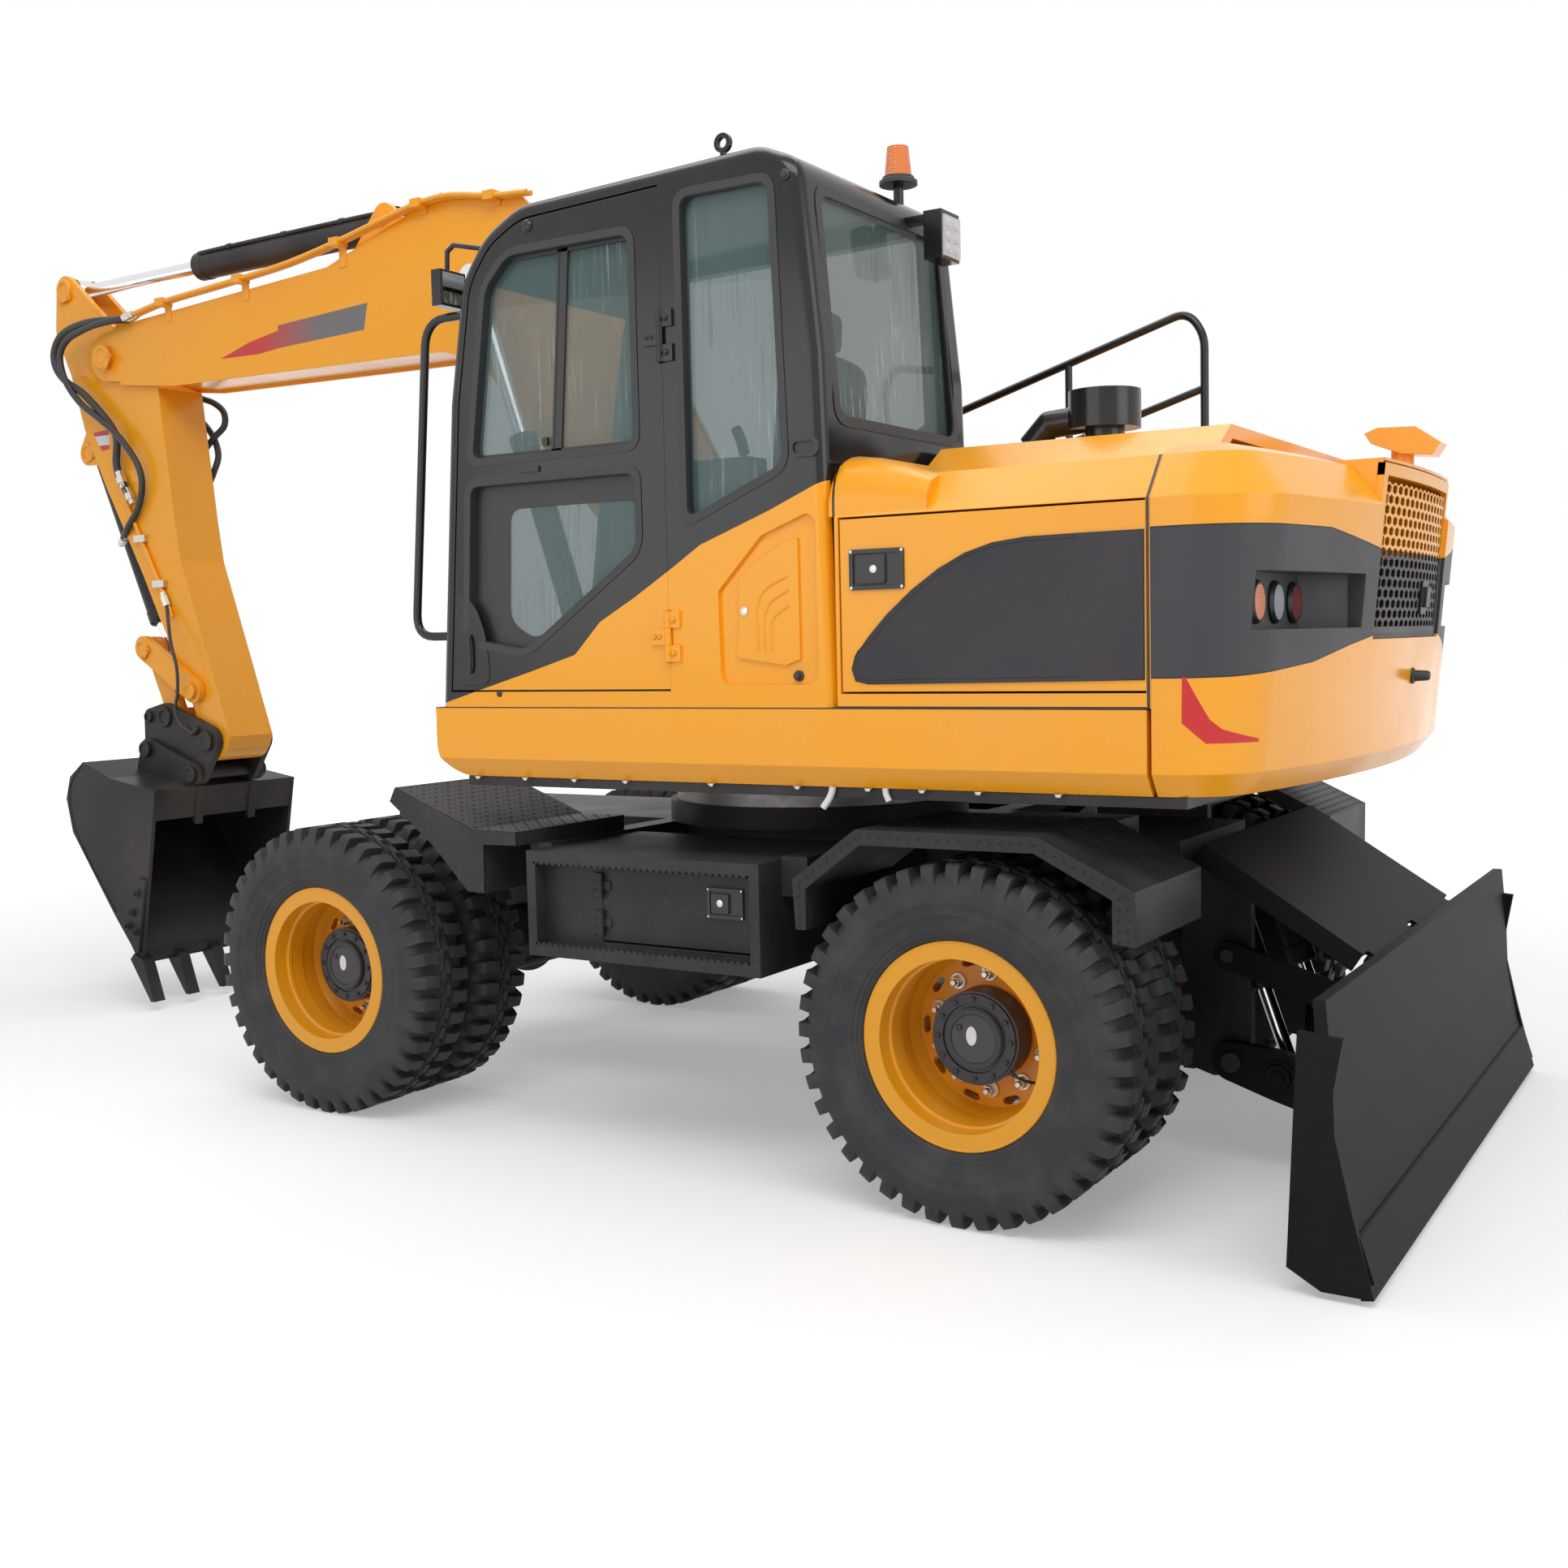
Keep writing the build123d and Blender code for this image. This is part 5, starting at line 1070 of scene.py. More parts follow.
latch.done("grille_latch", black_plastic, "upper", "console_plastic")
stop_profile = [(0, 0.024), (0.010, 0.024), (0.014, 0.017), (0.050, 0.015), (0.056, 0.011)]
stop = Shape().turned(on_tail(-0.02, 1.475, 0.004), (-1, 0, 0), stop_profile, 20)
stop.done("rubber_stop", hose_rubber, "upper", "console_plastic")
print("bay cover, latch and stop", made_pieces[-3:])

# %% [markdown]
# ## Wings and handles on the service doors
# Each service door wears a moulded black wing with a raised lip, and a sunk pull with a key
# beside it. The wing is one thin plate cut to its outline. Both sides of the machine have
# the same doors, so the pieces are made in a loop over the sides.

# %% Service doors
# Columns: distance ahead of the rear axle, height, along the wing's edge.
WING = (
    (0.297, 1.538), (0.286, 1.575), (0.242, 1.626), (0.182, 1.687), (0.106, 1.750), (0.024, 1.804),
    (-0.056, 1.843), (-0.135, 1.866), (-0.227, 1.876), (-0.375, 1.878), (-0.550, 1.879),
    (-0.550, 1.503), (-0.372, 1.501), (0.095, 1.497), (0.245, 1.496), (0.285, 1.505),
)
LOW_LIP = [(-0.372, 1.515), (0.095, 1.511), (0.235, 1.510), (0.278, 1.518), (0.285, 1.538)]
SIDES = (("left", 1), ("right", -1))
# Profiles of small round parts, as (distance along, radius).
KEY_LOCK = [(0, 0.011), (0.002, 0.011), (0.0035, 0.008)]
SCREW_HEAD = [(0, 0.0045), (0.0015, 0.0045), (0.0025, 0.003)]


def frame_ring(shape, outer, inner, low, high, axis="y"):
    """A flat frame between two outlines with the same count of corners."""
    section = ((outer, low), (outer, high), (inner, high), (inner, low))
    rings = [[facing(axis, a, b, c) for a, b in outline] for outline, c in section]
    return shape.skin(rings, looped=True)


def rectangle(x0, x1, z0, z1, corner, steps=5):
    """A side view rectangle from the rear axle, with soft corners."""
    return rounded(outline_of([(x0, z0), (x1, z0), (x1, z1), (x0, z1)]), corner, steps)


for hand, side in SIDES:
    body = f"service_door_{hand}"
    wing = Shape().plate(outline_of(WING), side * 1.2190, side * 1.2242, "y", 0.0022)
    lip = [(a - 0.010 if a > 0 else a, b - 0.010 if b > 1.6 else b + 0.010) for a, b in WING[:10]]
    wing.pipe(side_points(LOW_LIP + lip[1:], side * 1.2236), 0.0024, 8, 3)
    wing.done(f"door_wing_{hand}", wing_plastic, body, "black_paint")
    pull = Shape()
    outer = rectangle(0.127, 0.297, 1.755, 1.866, 0.008)
    inner = rectangle(0.139, 0.285, 1.767, 1.854, 0.006)
    frame_ring(pull, outer, inner, side * 1.2195, side * 1.2255)
    pull.plate(inner, side * 1.2192, side * 1.2204)
    pull.plate(
        rectangle(0.184, 0.274, 1.772, 1.850, 0.006), side * 1.2200, side * 1.2275, "y", 0.0022
    )
    pull.done(f"door_pull_{hand}", black_plastic, body, "console_plastic")
    key = Shape().turned(at(0.220, side * 1.2265, 1.811), (0, side, 0), KEY_LOCK, 20)
    for a in (0.133, 0.291):
        for b in (1.761, 1.860):
            key.turned(at(a, side * 1.2250, b), (0, side, 0), SCREW_HEAD, 12)
    key.done(f"door_screws_{hand}", zinc, body, "ring_steel")
print("service doors dressed", len(WING), "points of wing")

# %% [markdown]
# ## Window seals, the sliding pane and the door's furniture
# Every pane is glued or clamped in a black rubber seal, which reads as a dark frame with a
# thin lit edge. A seal is a flat ring between the pane's outline and the same outline drawn
# out. The door's upper window slides, so it has a rail at its middle and small catches.

# %% Window seals
PANES = {
    "upper": [(1.020, 2.205), (1.020, 2.835), (1.500, 2.835), (1.600, 2.740), (1.680, 2.205)],
    "lower": [(1.020, 1.900), (1.020, 2.140), (1.690, 2.140), (1.720, 1.640), (1.470, 1.600)],
    "rear": [(0.500, 2.110), (0.530, 2.910), (0.850, 2.910), (0.850, 1.968)],
}
# Columns: how far the outer and the inner edge lie outside the pane, each with the radius of
# its corners, and the places of the ring's two faces.
SEAL_RINGS = (
    (0.014, 0.058, -0.010, 0.036, 1.2185, 1.2225), (0.001, 0.046, -0.012, 0.034, 1.1935, 1.2190),
)


def drawn(points, distance):
    """A convex outline drawn out by a distance, or in where it is negative."""
    points = [Vector(p) for p in points]
    turn = sum((b - a).cross(c - b) for a, b, c in zip(points, points[1:], points[2:]))
    made = []
    for n, corner in enumerate(points):
        before = (corner - points[n - 1]).normalized()
        after = (points[(n + 1) % len(points)] - corner).normalized()
        sign = -1 if turn > 0 else 1
        first, second = (Vector((-w.y, w.x)) * sign for w in (before, after))
        spread = (first + second).normalized()
        made.append(tuple(corner + spread * distance / max(0.3, spread.dot(first))))
    return made


for name, body in (("upper", "cab_door"), ("lower", "cab_door"), ("rear", "upper")):
    pane = outline_of(PANES[name])
    seal = Shape()
    for wide, wide_turn, narrow, narrow_turn, inner_y, outer_y in SEAL_RINGS:
        outer = rounded(drawn(pane, wide), wide_turn)
        inner = rounded(drawn(pane, narrow), narrow_turn)
        frame_ring(seal, outer, inner, inner_y, outer_y)
    seal.done(f"window_seal_{name}", hose_rubber, body, "console_plastic")
print("seals", len(PANES))

# %% [markdown]
# The lower pane has a printed black border, and the sliding window its rails and catch. Both
# lie on the glass, on the inside of the door's skin.

# %% Pane border and sliding window
GLASS_Y, RAIL_FRONT_Y = 1.1930, 1.2010
border = Shape()
clear = [(1.040, 1.915), (1.040, 2.052), (1.540, 2.052), (1.556, 1.700), (1.452, 1.640)]
whole = drawn(outline_of(PANES["lower"]), -0.004)
frame_ring(border, rounded(whole, 0.040), rounded(outline_of(clear), 0.045), 1.1926, 1.1932)
border.done("lower_pane_border", black_plastic, "cab_door", "console_plastic")
slider = Shape()
section = ((-1, GLASS_Y), (1, GLASS_Y), (1, RAIL_FRONT_Y), (-1, RAIL_FRONT_Y))
for top, foot, half in ((1.286, 1.336, 0.014), (1.306, 1.356, 0.004)):
    slider.skin(
        [[at(a + d * half, y, z) for d, y in section] for a, z in ((top, 2.822), (foot, 2.212))]
    )
slider.box(at(1.030, GLASS_Y, 2.212), at(1.670, RAIL_FRONT_Y, 2.226))
slider.box(at(1.030, GLASS_Y, 2.812), at(1.500, RAIL_FRONT_Y, 2.826))
slider.box(at(1.372, 1.1960, 2.238), at(1.392, 1.2080, 2.262), 0.002)
slider.box(at(1.395, 1.2180, 2.158), at(1.475, 1.2260, 2.176), 0.003)
slider.done("sliding_window_rails", black_plastic, "cab_door", "console_plastic")
print("window trim", made_pieces[-2:])

# %% [markdown]
# The door has a stop near its top, a lock, and a recessed plate with a pull bar at its front.

# %% Door furniture
DOOR_FACE_Y = 1.2190
knobs = Shape()
stop_profile = [(0, 0.020), (0.004, 0.020), (0.010, 0.014), (0.012, 0.006)]
knobs.turned(at(1.412, DOOR_FACE_Y, 2.902), (0, 1, 0), stop_profile, 20)
lock_profile = [(0, 0.011), (0.003, 0.011), (0.005, 0.006)]
knobs.turned(at(1.590, DOOR_FACE_Y, 1.474), (0, 1, 0), lock_profile, 16)
grip = [(1.764, 1.500), (1.762, 1.800), (1.722, 1.792), (1.672, 1.740), (1.640, 1.660),
        (1.628, 1.560), (1.628, 1.505)]
knobs.plate(rounded(outline_of(grip), 0.03), DOOR_FACE_Y, 1.2222, "y", 0.0015)
pull_bar = ((1.703, 1.2200, 1.660), (1.700, 1.2315, 1.652), (1.698, 1.2330, 1.600),
            (1.700, 1.2315, 1.548), (1.703, 1.2200, 1.540))
knobs.pipe([at(*p) for p in pull_bar], 0.0050, 10)
knobs.plate(rectangle(1.676, 1.730, 1.520, 1.680, 0.026), 1.2215, 1.2232)
knobs.done("door_furniture", trim_enamel, "cab_door", "cab_paint")
print("door furniture", made_pieces[-1])

# %% [markdown]
# On the cab's own side there are a grab slot in the pillar, two rubber buttons, and the
# locker with three pressed ribs and a lock.

# %% Pillar and locker
PILLAR_FACE_Y, LOCKER_FACE_Y = 1.2190, 1.2155
slot = Shape()
slot_outer = rectangle(0.388, 0.482, 2.130, 2.184, 0.026, 8)
slot_inner = rectangle(0.400, 0.470, 2.141, 2.173, 0.015, 8)
frame_ring(slot, slot_outer, slot_inner, PILLAR_FACE_Y, 1.2260)
hook_profile = [(0, 0.015), (0.010, 0.015), (0.014, 0.010), (0.019, 0.010)]
slot.turned(at(0.478, 1.2150, 2.905), (0, 1, 0), hook_profile, 16)
stud_profile = [(0, 0.016), (0.005, 0.016), (0.007, 0.010), (0.018, 0.010), (0.024, 0.005)]
slot.turned(at(0.476, 1.2070, 1.521), (0, 1, 0), stud_profile, 18)
slot.done("pillar_fittings", black_plastic, "upper", "console_plastic")
hollow = Shape().plate(rectangle(0.402, 0.468, 2.143, 2.171, 0.013, 8), PILLAR_FACE_Y, 1.2205)
hollow.done("grab_slot_hollow", hose_rubber, "upper", "console_plastic")
LOCKER_RIBS = (
    ((0.606, 1.602), (0.608, 1.700), (0.600, 1.740), (0.578, 1.768), (0.541, 1.788),
     (0.504, 1.803)),
    ((0.583, 1.601), (0.584, 1.676), (0.576, 1.708), (0.555, 1.736), (0.501, 1.764)),
    ((0.559, 1.601), (0.558, 1.666), (0.548, 1.690), (0.502, 1.720)),
)
DIMPLE = [(0, 0.007), (0.0022, 0.006), (0.003, 0.002)]
ribs = Shape()
for points in LOCKER_RIBS:
    ribs.pipe(side_points(points, LOCKER_FACE_Y), 0.0042, 8)
    a, b = points[0]
    ribs.turned(at(a, LOCKER_FACE_Y - 0.0005, b - 0.004), (0, 1, 0), DIMPLE, 14)
ribs.done("locker_ribs", orange_enamel, "upper", "orange_paint")
lock_profile = [(0, 0.013), (0.004, 0.013), (0.006, 0.009)]
lock = Shape().turned(at(0.652, LOCKER_FACE_Y, 1.708), (0, 1, 0), lock_profile, 20)
lock.done("locker_lock", zinc, "upper", "ring_steel")
print("pillar and locker", made_pieces[-4:])

# %% [markdown]
# Each hinge of the cab door has two bolts in its fixed leaf and two flat ones in the leaf
# that moves. The flat heads leave room, because the door folds right back against the cab.

# %% Hinge bolts
LEAF_FACE_Y = 1.2275
HINGES = (("low", 1.566, orange_enamel, "orange_paint"), ("high", 2.440, trim_enamel, "cab_paint"))
for level, z0, finish, slot_name in HINGES:
    fixed, moving = Shape(), Shape()
    for z in (z0 + 0.026, z0 + 0.124):
        fixed.bolt(at(0.896, LEAF_FACE_Y, z), (0, 1, 0), 0.0075, 0.008)
    for a in (0.948, 0.966):
        moving.bolt(at(a, LEAF_FACE_Y, z0 + 0.075), (0, 1, 0), 0.0065, 0.004)
    fixed.done(f"hinge_bolts_pillar_{level}", finish, "upper", slot_name)
    moving.done(f"hinge_bolts_door_{level}", finish, "cab_door", slot_name)
print("hinge bolts", made_pieces[-4:])

# %% [markdown]
# An orange cowl closes the step between the cab's back and the hood's shoulder. It is one
# section of the side view, repeated outwards and pressed lower and lower, so that it rolls
# over into the side.

# %% Cowl
COWL_FOOT, COWL_HEIGHT = 1.960, 0.175
COWL = ((0.366, 1.960), (0.366, 2.070), (0.362, 2.096), (0.350, 2.122), (0.325, 2.132),
        (0.250, 2.122), (0.160, 2.100), (0.060, 2.060), (0.060, 1.960))
# Columns: distance from the machine's middle, how far the section's top drops there.
COWL_ROLL = ((0.560, 0.0), (1.110, 0.0), (1.150, 0.007), (1.180, 0.026), (1.200, 0.058),
             (1.210, 0.095), (1.213, 0.130))
rings = []
for y, drop in COWL_ROLL:
    squash = 1 - drop / COWL_HEIGHT
    rings.append([at(a, y, COWL_FOOT + (b - COWL_FOOT) * squash) for a, b in COWL])
cowl = Shape().skin(rings)
cowl.done("cab_cowl", orange_enamel, "upper", "orange_paint")
print("cowl sections", len(COWL_ROLL))

# %% [markdown]
# The rear window's seal lies on the cab's back, which leans forward with height, and more so
# above a bend.

# %% Rear window seal
BACK_FOOT, BACK_BEND, BACK_TOP = (0.356, 1.431), (0.385, 2.420), (0.440, 2.950)


def rear_wall_x(z):
    """How far ahead of the rear axle the cab's back stands at a height."""
    (a0, z0), (a1, z1) = (BACK_FOOT, BACK_BEND) if z < BACK_BEND[1] else (BACK_BEND, BACK_TOP)
    return a0 + (z - z0) * (a1 - a0) / (z1 - z0)


rear_seal = Shape()
outer = rounded([(0.372, 2.222), (1.148, 2.222), (1.148, 2.898), (0.372, 2.898)], 0.07)
inner = rounded([(0.402, 2.252), (1.118, 2.252), (1.118, 2.868), (0.402, 2.868)], 0.045)
section = ((outer, -0.004), (outer, 0.003), (inner, 0.003), (inner, -0.004))
rings = [[at(rear_wall_x(b) - out, a, b) for a, b in outline] for outline, out in section]
rear_seal.skin(rings, looped=True)
rear_seal.done("window_seal_back", hose_rubber, "upper", "console_plastic")
print("cab trim", len(made_pieces))

# %% [markdown]
# ## The seat, wheel and levers seen through the glass
# The operator's seat is padded, so each cushion is a closed crowned form: a grid over a box,
# drawn round and made fuller in the middle of its faces. Seat, back and headrest are three
# such pads on a plain base.

# %% Seat
def cushion(shape, low, high, crown, lean=0.0, cells=10):
    """A crowned pad: a box drawn round, fuller on its faces than at its edges."""
    low, high = Vector(low), Vector(high)
    middle, half = (low + high) / 2, (high - low) / 2
    pad = bmesh.new()
    bmesh.ops.create_cube(pad, size=2.0)
    bmesh.ops.subdivide_edges(pad, edges=pad.edges, cuts=cells, use_grid_fill=True)
    made = {}
    for vertex in pad.verts:
        p = vertex.co.copy()
        size = (abs(p.x) ** 6 + abs(p.y) ** 6 + abs(p.z) ** 6) ** (1 / 6)
        p = p / size
        swell = 1 + crown * (1 - abs(p.y)) * (2 - abs(p.x) - abs(p.z))
        spot = middle + Vector((p.x * half.x, p.y * half.y, p.z * half.z)) * (swell / (1 + crown))
        spot.x += lean * (spot.z - low.z)
        made[vertex] = shape.mesh.verts.new(spot)
    for face in pad.faces:
        shape.mesh.faces.new([made[v] for v in face.verts])
    pad.free()


SEAT_Y = 0.76
# Rows: front and back of the pad, half its width, its low and high edge, crown, lean.
PADS = (
    (0.700, 1.118, 0.235, 1.940, 2.055, 0.10, 0.0),
    (0.615, 0.745, 0.225, 2.020, 2.500, 0.12, -0.10),
    (0.632, 0.705, 0.130, 2.500, 2.635, 0.12, -0.05),
)
seat = Shape()
for a0, a1, half, z0, z1, crown, lean in PADS:
    cushion(seat, at(a0, SEAT_Y - half, z0), at(a1, SEAT_Y + half, z1), crown, lean)
seat.box(at(0.660, SEAT_Y - 0.190, 1.488), at(1.040, SEAT_Y + 0.190, 1.945), 0.02)
seat_piece = seat.done("operator_seat", seat_cloth, "upper", "seat_cloth", 60)
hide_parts("seat")
print("seat", made_pieces[-1])

# %% [markdown]
# The steering wheel is a turned ring on three spokes, and a lever with a rubber boot stands on
# each console.

# %% Steering wheel and levers
WHEEL_RADIUS, WHEEL_THICK = 0.165, 0.011
BOOT = [(0, 0.040), (0.015, 0.034), (0.030, 0.020), (0.050, 0.012)]
controls = Shape()
wheel_way = Vector((-0.1414, 0, 0.9900))
wheel_middle = at(1.468, SEAT_Y, 2.135)
rim = [(WHEEL_THICK * math.sin(a), WHEEL_RADIUS + WHEEL_THICK * math.cos(a)) for a in full_turn(10)]
controls.turned(wheel_middle, wheel_way, rim, 48, looped=True)
controls.turned(wheel_middle, wheel_way, [(-0.02, 0.034), (0.006, 0.034), (0.012, 0.024)], 24)
for spoke in ring_at(wheel_middle, wheel_way, 0.160, 3):
    controls.rod(wheel_middle, spoke, 0.009, 8)
for side in (-1, 1):
    y = SEAT_Y + side * 0.310
    controls.turned(at(1.120, y, 2.118), (0, 0, 1), BOOT, 20)
    controls.pipe(
        [at(1.120, y, 2.150), at(1.132, y, 2.215), at(1.150, y - side * 0.006, 2.270)], 0.008, 8
    )
    controls.pipe([at(1.146, y, 2.255), at(1.158, y, 2.300), at(1.178, y, 2.345)], 0.019, 12)
    controls.box(at(0.690, y - 0.050, 2.118), at(1.000, y + 0.050, 2.160), 0.012)
controls.done("steering_wheel_and_levers", black_plastic, "upper", "console_plastic")
print("cab inside", len(made_pieces))

# %% [markdown]
# ## Chequer plate, toothed steps and latches low down
# Treads are chequer plate: short raised bars, turned a quarter from one to the next. Each bar
# is a low ridge on a diamond, laid in rows over a patch given by a corner and two edges. The
# tool boxes are steps too, and their bars carry rows of grip teeth.

# %% Treads and steps
BAR_LONG, BAR_WIDE, BAR_HIGH, BAR_PITCH = 0.0120, 0.0036, 0.0018, 0.0300


def chequer(shape, corner, first, second, out):
    """Raised bars over the patch that two edges span at a corner."""
    corner, first, second, out = (Vector(v) for v in (corner, first, second, out))
    rows, columns = (max(1, round(edge.length / BAR_PITCH)) for edge in (first, second))
    one, two = first.normalized(), second.normalized()
    for row in range(rows):
        for column in range(columns):
            middle = corner + first * (row + 0.5) / rows + second * (column + 0.5) / columns
            turn = 1 if (row + column) % 2 else -1
            long_way, wide_way = (one + two * turn).normalized(), (two - one * turn).normalized()
            ring = [middle + long_way * BAR_LONG, middle + wide_way * BAR_WIDE,
                    middle - long_way * BAR_LONG, middle - wide_way * BAR_WIDE]
            foot = [shape.mesh.verts.new(p - out * 0.0004) for p in ring]
            top = shape.mesh.verts.new(middle + out * BAR_HIGH)
            shape.mesh.faces.new(foot)
            for a, b in zip(foot, foot[1:] + foot[:1]):
                shape.mesh.faces.new((a, b, top))


# Each rear fender's sheet in the side view: its outer line, and the inner line below it.
REAR_ARCH = (
    (0.504, 0.800), (0.509, 0.940), (0.299, 1.092), (-0.251, 1.094), (-0.519, 0.964),
    (-0.518, 0.825),
)
REAR_UNDER = (
    (0.468, 0.800), (0.468, 0.918), (0.286, 1.052), (-0.240, 1.053), (-0.455, 0.943),
    (-0.459, 0.830),
)
WHEELBASE = FRONT_AXLE_X - REAR_AXLE_X
FRONT_STEP = ((-0.912, 1.030), (-0.729, 1.030), (-0.387, 1.160))
treads = Shape()
for side in (-1, 1):
    for n in range(5):
        (a0, b0), (a1, b1) = REAR_ARCH[n], REAR_ARCH[n + 1]
        (c0, d0), (c1, d1) = REAR_UNDER[n], REAR_UNDER[n + 1]
        run = Vector((a1 - a0, 0, b1 - b0))
        out = Vector((b0 - b1, 0, a1 - a0)).normalized() * (-1 if a1 < a0 or n == 0 else 1)
        if n in (1, 2, 3):
            chequer(treads, at(a0, side * 0.715, b0), run, (0, side * 0.490, 0), out)
        inward = at((c0 + c1) / 2, 0, (d0 + d1) / 2) - at((a0 + a1) / 2, 0, (b0 + b1) / 2)
        chequer(treads, at(a0, side * 1.2200, b0) + inward * 0.1, run, inward * 0.8, (0, side, 0))
    for (a0, b0), (a1, b1) in zip(FRONT_STEP, FRONT_STEP[1:]):
        run = Vector((a1 - a0, 0, b1 - b0))
        out = Vector((b0 - b1, 0, a1 - a0)).normalized()
        chequer(treads, at(WHEELBASE + a0, side * 0.655, b0), run, (0, side * 0.530, 0), out)
treads.done("fender_treads", chassis_enamel, "chassis", "black_paint", 10)
print("treads", made_pieces[-1])

# %% [markdown]
# The front fenders' outer edge is folded down into a deep cheek, which is chequer plate too.

# %% Front fender cheeks
CHEEK_Y = 1.2030
CHEEK = ((-0.914, 0.985), (-0.914, 1.030), (-0.729, 1.030), (-0.387, 1.160), (-0.360, 1.112),
         (-0.560, 0.965), (-0.700, 0.826), (-0.774, 0.826), (-0.774, 0.985))
# Rows: a patch's corner, and its two edges, all in the side view.
CHEEK_PATCHES = (
    ((-0.900, 1.020), (0.160, 0), (0, -0.032)), ((-0.720, 1.018), (0.300, 0.112), (0, -0.052)),
    ((-0.762, 0.980), (0.150, 0), (-0.040, -0.130)),
)
cheeks = Shape()
for side in (-1, 1):
    cheek = outline_of([(WHEELBASE + a, b) for a, b in CHEEK])
    cheeks.plate(cheek, side * (CHEEK_Y - 0.0070), side * CHEEK_Y, "y", 0.0015)
    for (a, b), *edges in CHEEK_PATCHES:
        first, second = (Vector((along, 0, up)) for along, up in edges)
        chequer(cheeks, at(WHEELBASE + a, side * CHEEK_Y, b), first, second, (0, side, 0))
cheeks.done("front_fender_cheeks", chassis_enamel, "chassis", "black_paint", 12)
print("cheeks", made_pieces[-1])

# %% [markdown]
# The tool boxes have a row of grip teeth along their upper and lower bar, and each door a
# sunk latch with a key.

# %% Teeth and latches on the tool boxes
TEETH, TOOTH_START, TOOTH_PITCH, TOOTH_HIGH = 34, 0.672, 0.0240, 0.0080
UPPER_BAR_Z, LOWER_BAR_Z = 0.9402, 0.6748
teeth = Shape()
for side in (-1, 1):
    for n in range(TEETH):
        a = TOOTH_START + n * TOOTH_PITCH
        tip_start, tip_end = a + 0.35 * TOOTH_PITCH, a + 0.65 * TOOTH_PITCH
        for foot, tip in (
            (UPPER_BAR_Z, UPPER_BAR_Z - TOOTH_HIGH), (LOWER_BAR_Z, LOWER_BAR_Z + TOOTH_HIGH)
        ):
            ring = [(a, foot), (a + TOOTH_PITCH, foot), (tip_end, tip), (tip_start, tip)]
            teeth.skin([side_points(ring, side * y) for y in (1.1990, 1.2100)])
teeth.done("step_teeth", chassis_enamel, "chassis", "black_paint", 10)
for hand, side in SIDES:
    box_latch, key = Shape(), Shape()
    outer = rectangle(0.724, 0.854, 0.795, 0.888, 0.006)
    inner = rectangle(0.735, 0.843, 0.806, 0.877, 0.004)
    frame_ring(box_latch, outer, inner, side * 1.1470, side * 1.1550)
    box_latch.plate(rectangle(0.734, 0.844, 0.805, 0.878, 0.003), side * 1.1470, side * 1.1490)
    box_latch.plate(
        rectangle(0.775, 0.838, 0.812, 0.871, 0.004), side * 1.1485, side * 1.1560, "y", 0.0015
    )
    box_latch.done(f"box_latch_{hand}", black_plastic, f"tool_box_door_{hand}", "console_plastic")
    key_profile = [(0, 0.011), (0.002, 0.011), (0.0035, 0.007)]
    key.turned(at(0.806, side * 1.1555, 0.842), (0, side, 0), key_profile, 20)
    for a in (0.7285, 0.8495):
        for b in (0.8005, 0.8825):
            key.turned(at(a, side * 1.1545, b), (0, side, 0), [(0, 0.0035), (0.0015, 0.003)], 10)
    key.done(f"box_lock_{hand}", zinc, f"tool_box_door_{hand}", "ring_steel")
print("teeth and latches", made_pieces[-5:])

# %% [markdown]
# Below the skirts hang a row of bolts and two short pale drain hoses.

# %% Skirt bolts and drains
SKIRT_BOLTS = (1.722, 1.522, 1.322, 1.122, 0.803, 0.503, 0.271, 0.101, -0.069, -0.300)
LONG_DRAIN = ((0.392, 1.176, 1.2060), (0.396, 1.177, 1.188), (0.406, 1.182, 1.166),
              (0.420, 1.186, 1.146))
SHORT_DRAIN = ((0.222, 1.176, 1.2060), (0.220, 1.177, 1.190), (0.210, 1.178, 1.170))
skirt_bolts = Shape()
for side in (-1, 1):
    for a in SKIRT_BOLTS:
        skirt_bolts.bolt(at(a, side * 1.188, 1.2052), (0, 0, -1), 0.0085, 0.009)
skirt_bolts.done("skirt_bolts", zinc, "upper", "ring_steel")
drains = Shape()
for course, radius in ((LONG_DRAIN, 0.010), (SHORT_DRAIN, 0.009)):
    drains.pipe([at(*p) for p in course], radius, 12)
drains.done("drain_hoses", white_plastic, "upper", "console_plastic")
print("skirt", made_pieces[-2:])

# %% [markdown]
# ## Pipes, hoses and cylinders of the working arm
# Oil runs in steel pipes clamped along the boom, and in hoses where a joint has to move. The
# pipes lie in pairs on both sides of the boom's top edge, and bolted clamps hold each pair.

# %% Boom pipes
BOOM_TOP = ((2.050, 3.050), (2.353, 3.364), (2.775, 3.440), (3.437, 3.235), (4.860, 3.150))
PIPE_LINE = (
    (2.292, 3.361), (2.478, 3.376), (2.689, 3.410), (2.866, 3.404), (3.096, 3.363), (3.335, 3.318),
    (3.633, 3.272), (3.942, 3.246), (4.212, 3.228), (4.463, 3.210), (4.720, 3.172),
)
CLAMPS = ((2.478, 3.376), (2.866, 3.404), (3.335, 3.318), (3.942, 3.246), (4.463, 3.210))


def boom_top(a):
    """The height of the boom's top edge, at a distance ahead of the rear axle."""
    for (a0, b0), (a1, b1) in zip(BOOM_TOP, BOOM_TOP[1:]):
        if a <= a1:
            return b0 + (b1 - b0) * (a - a0) / (a1 - a0)
    return BOOM_TOP[-1][1]


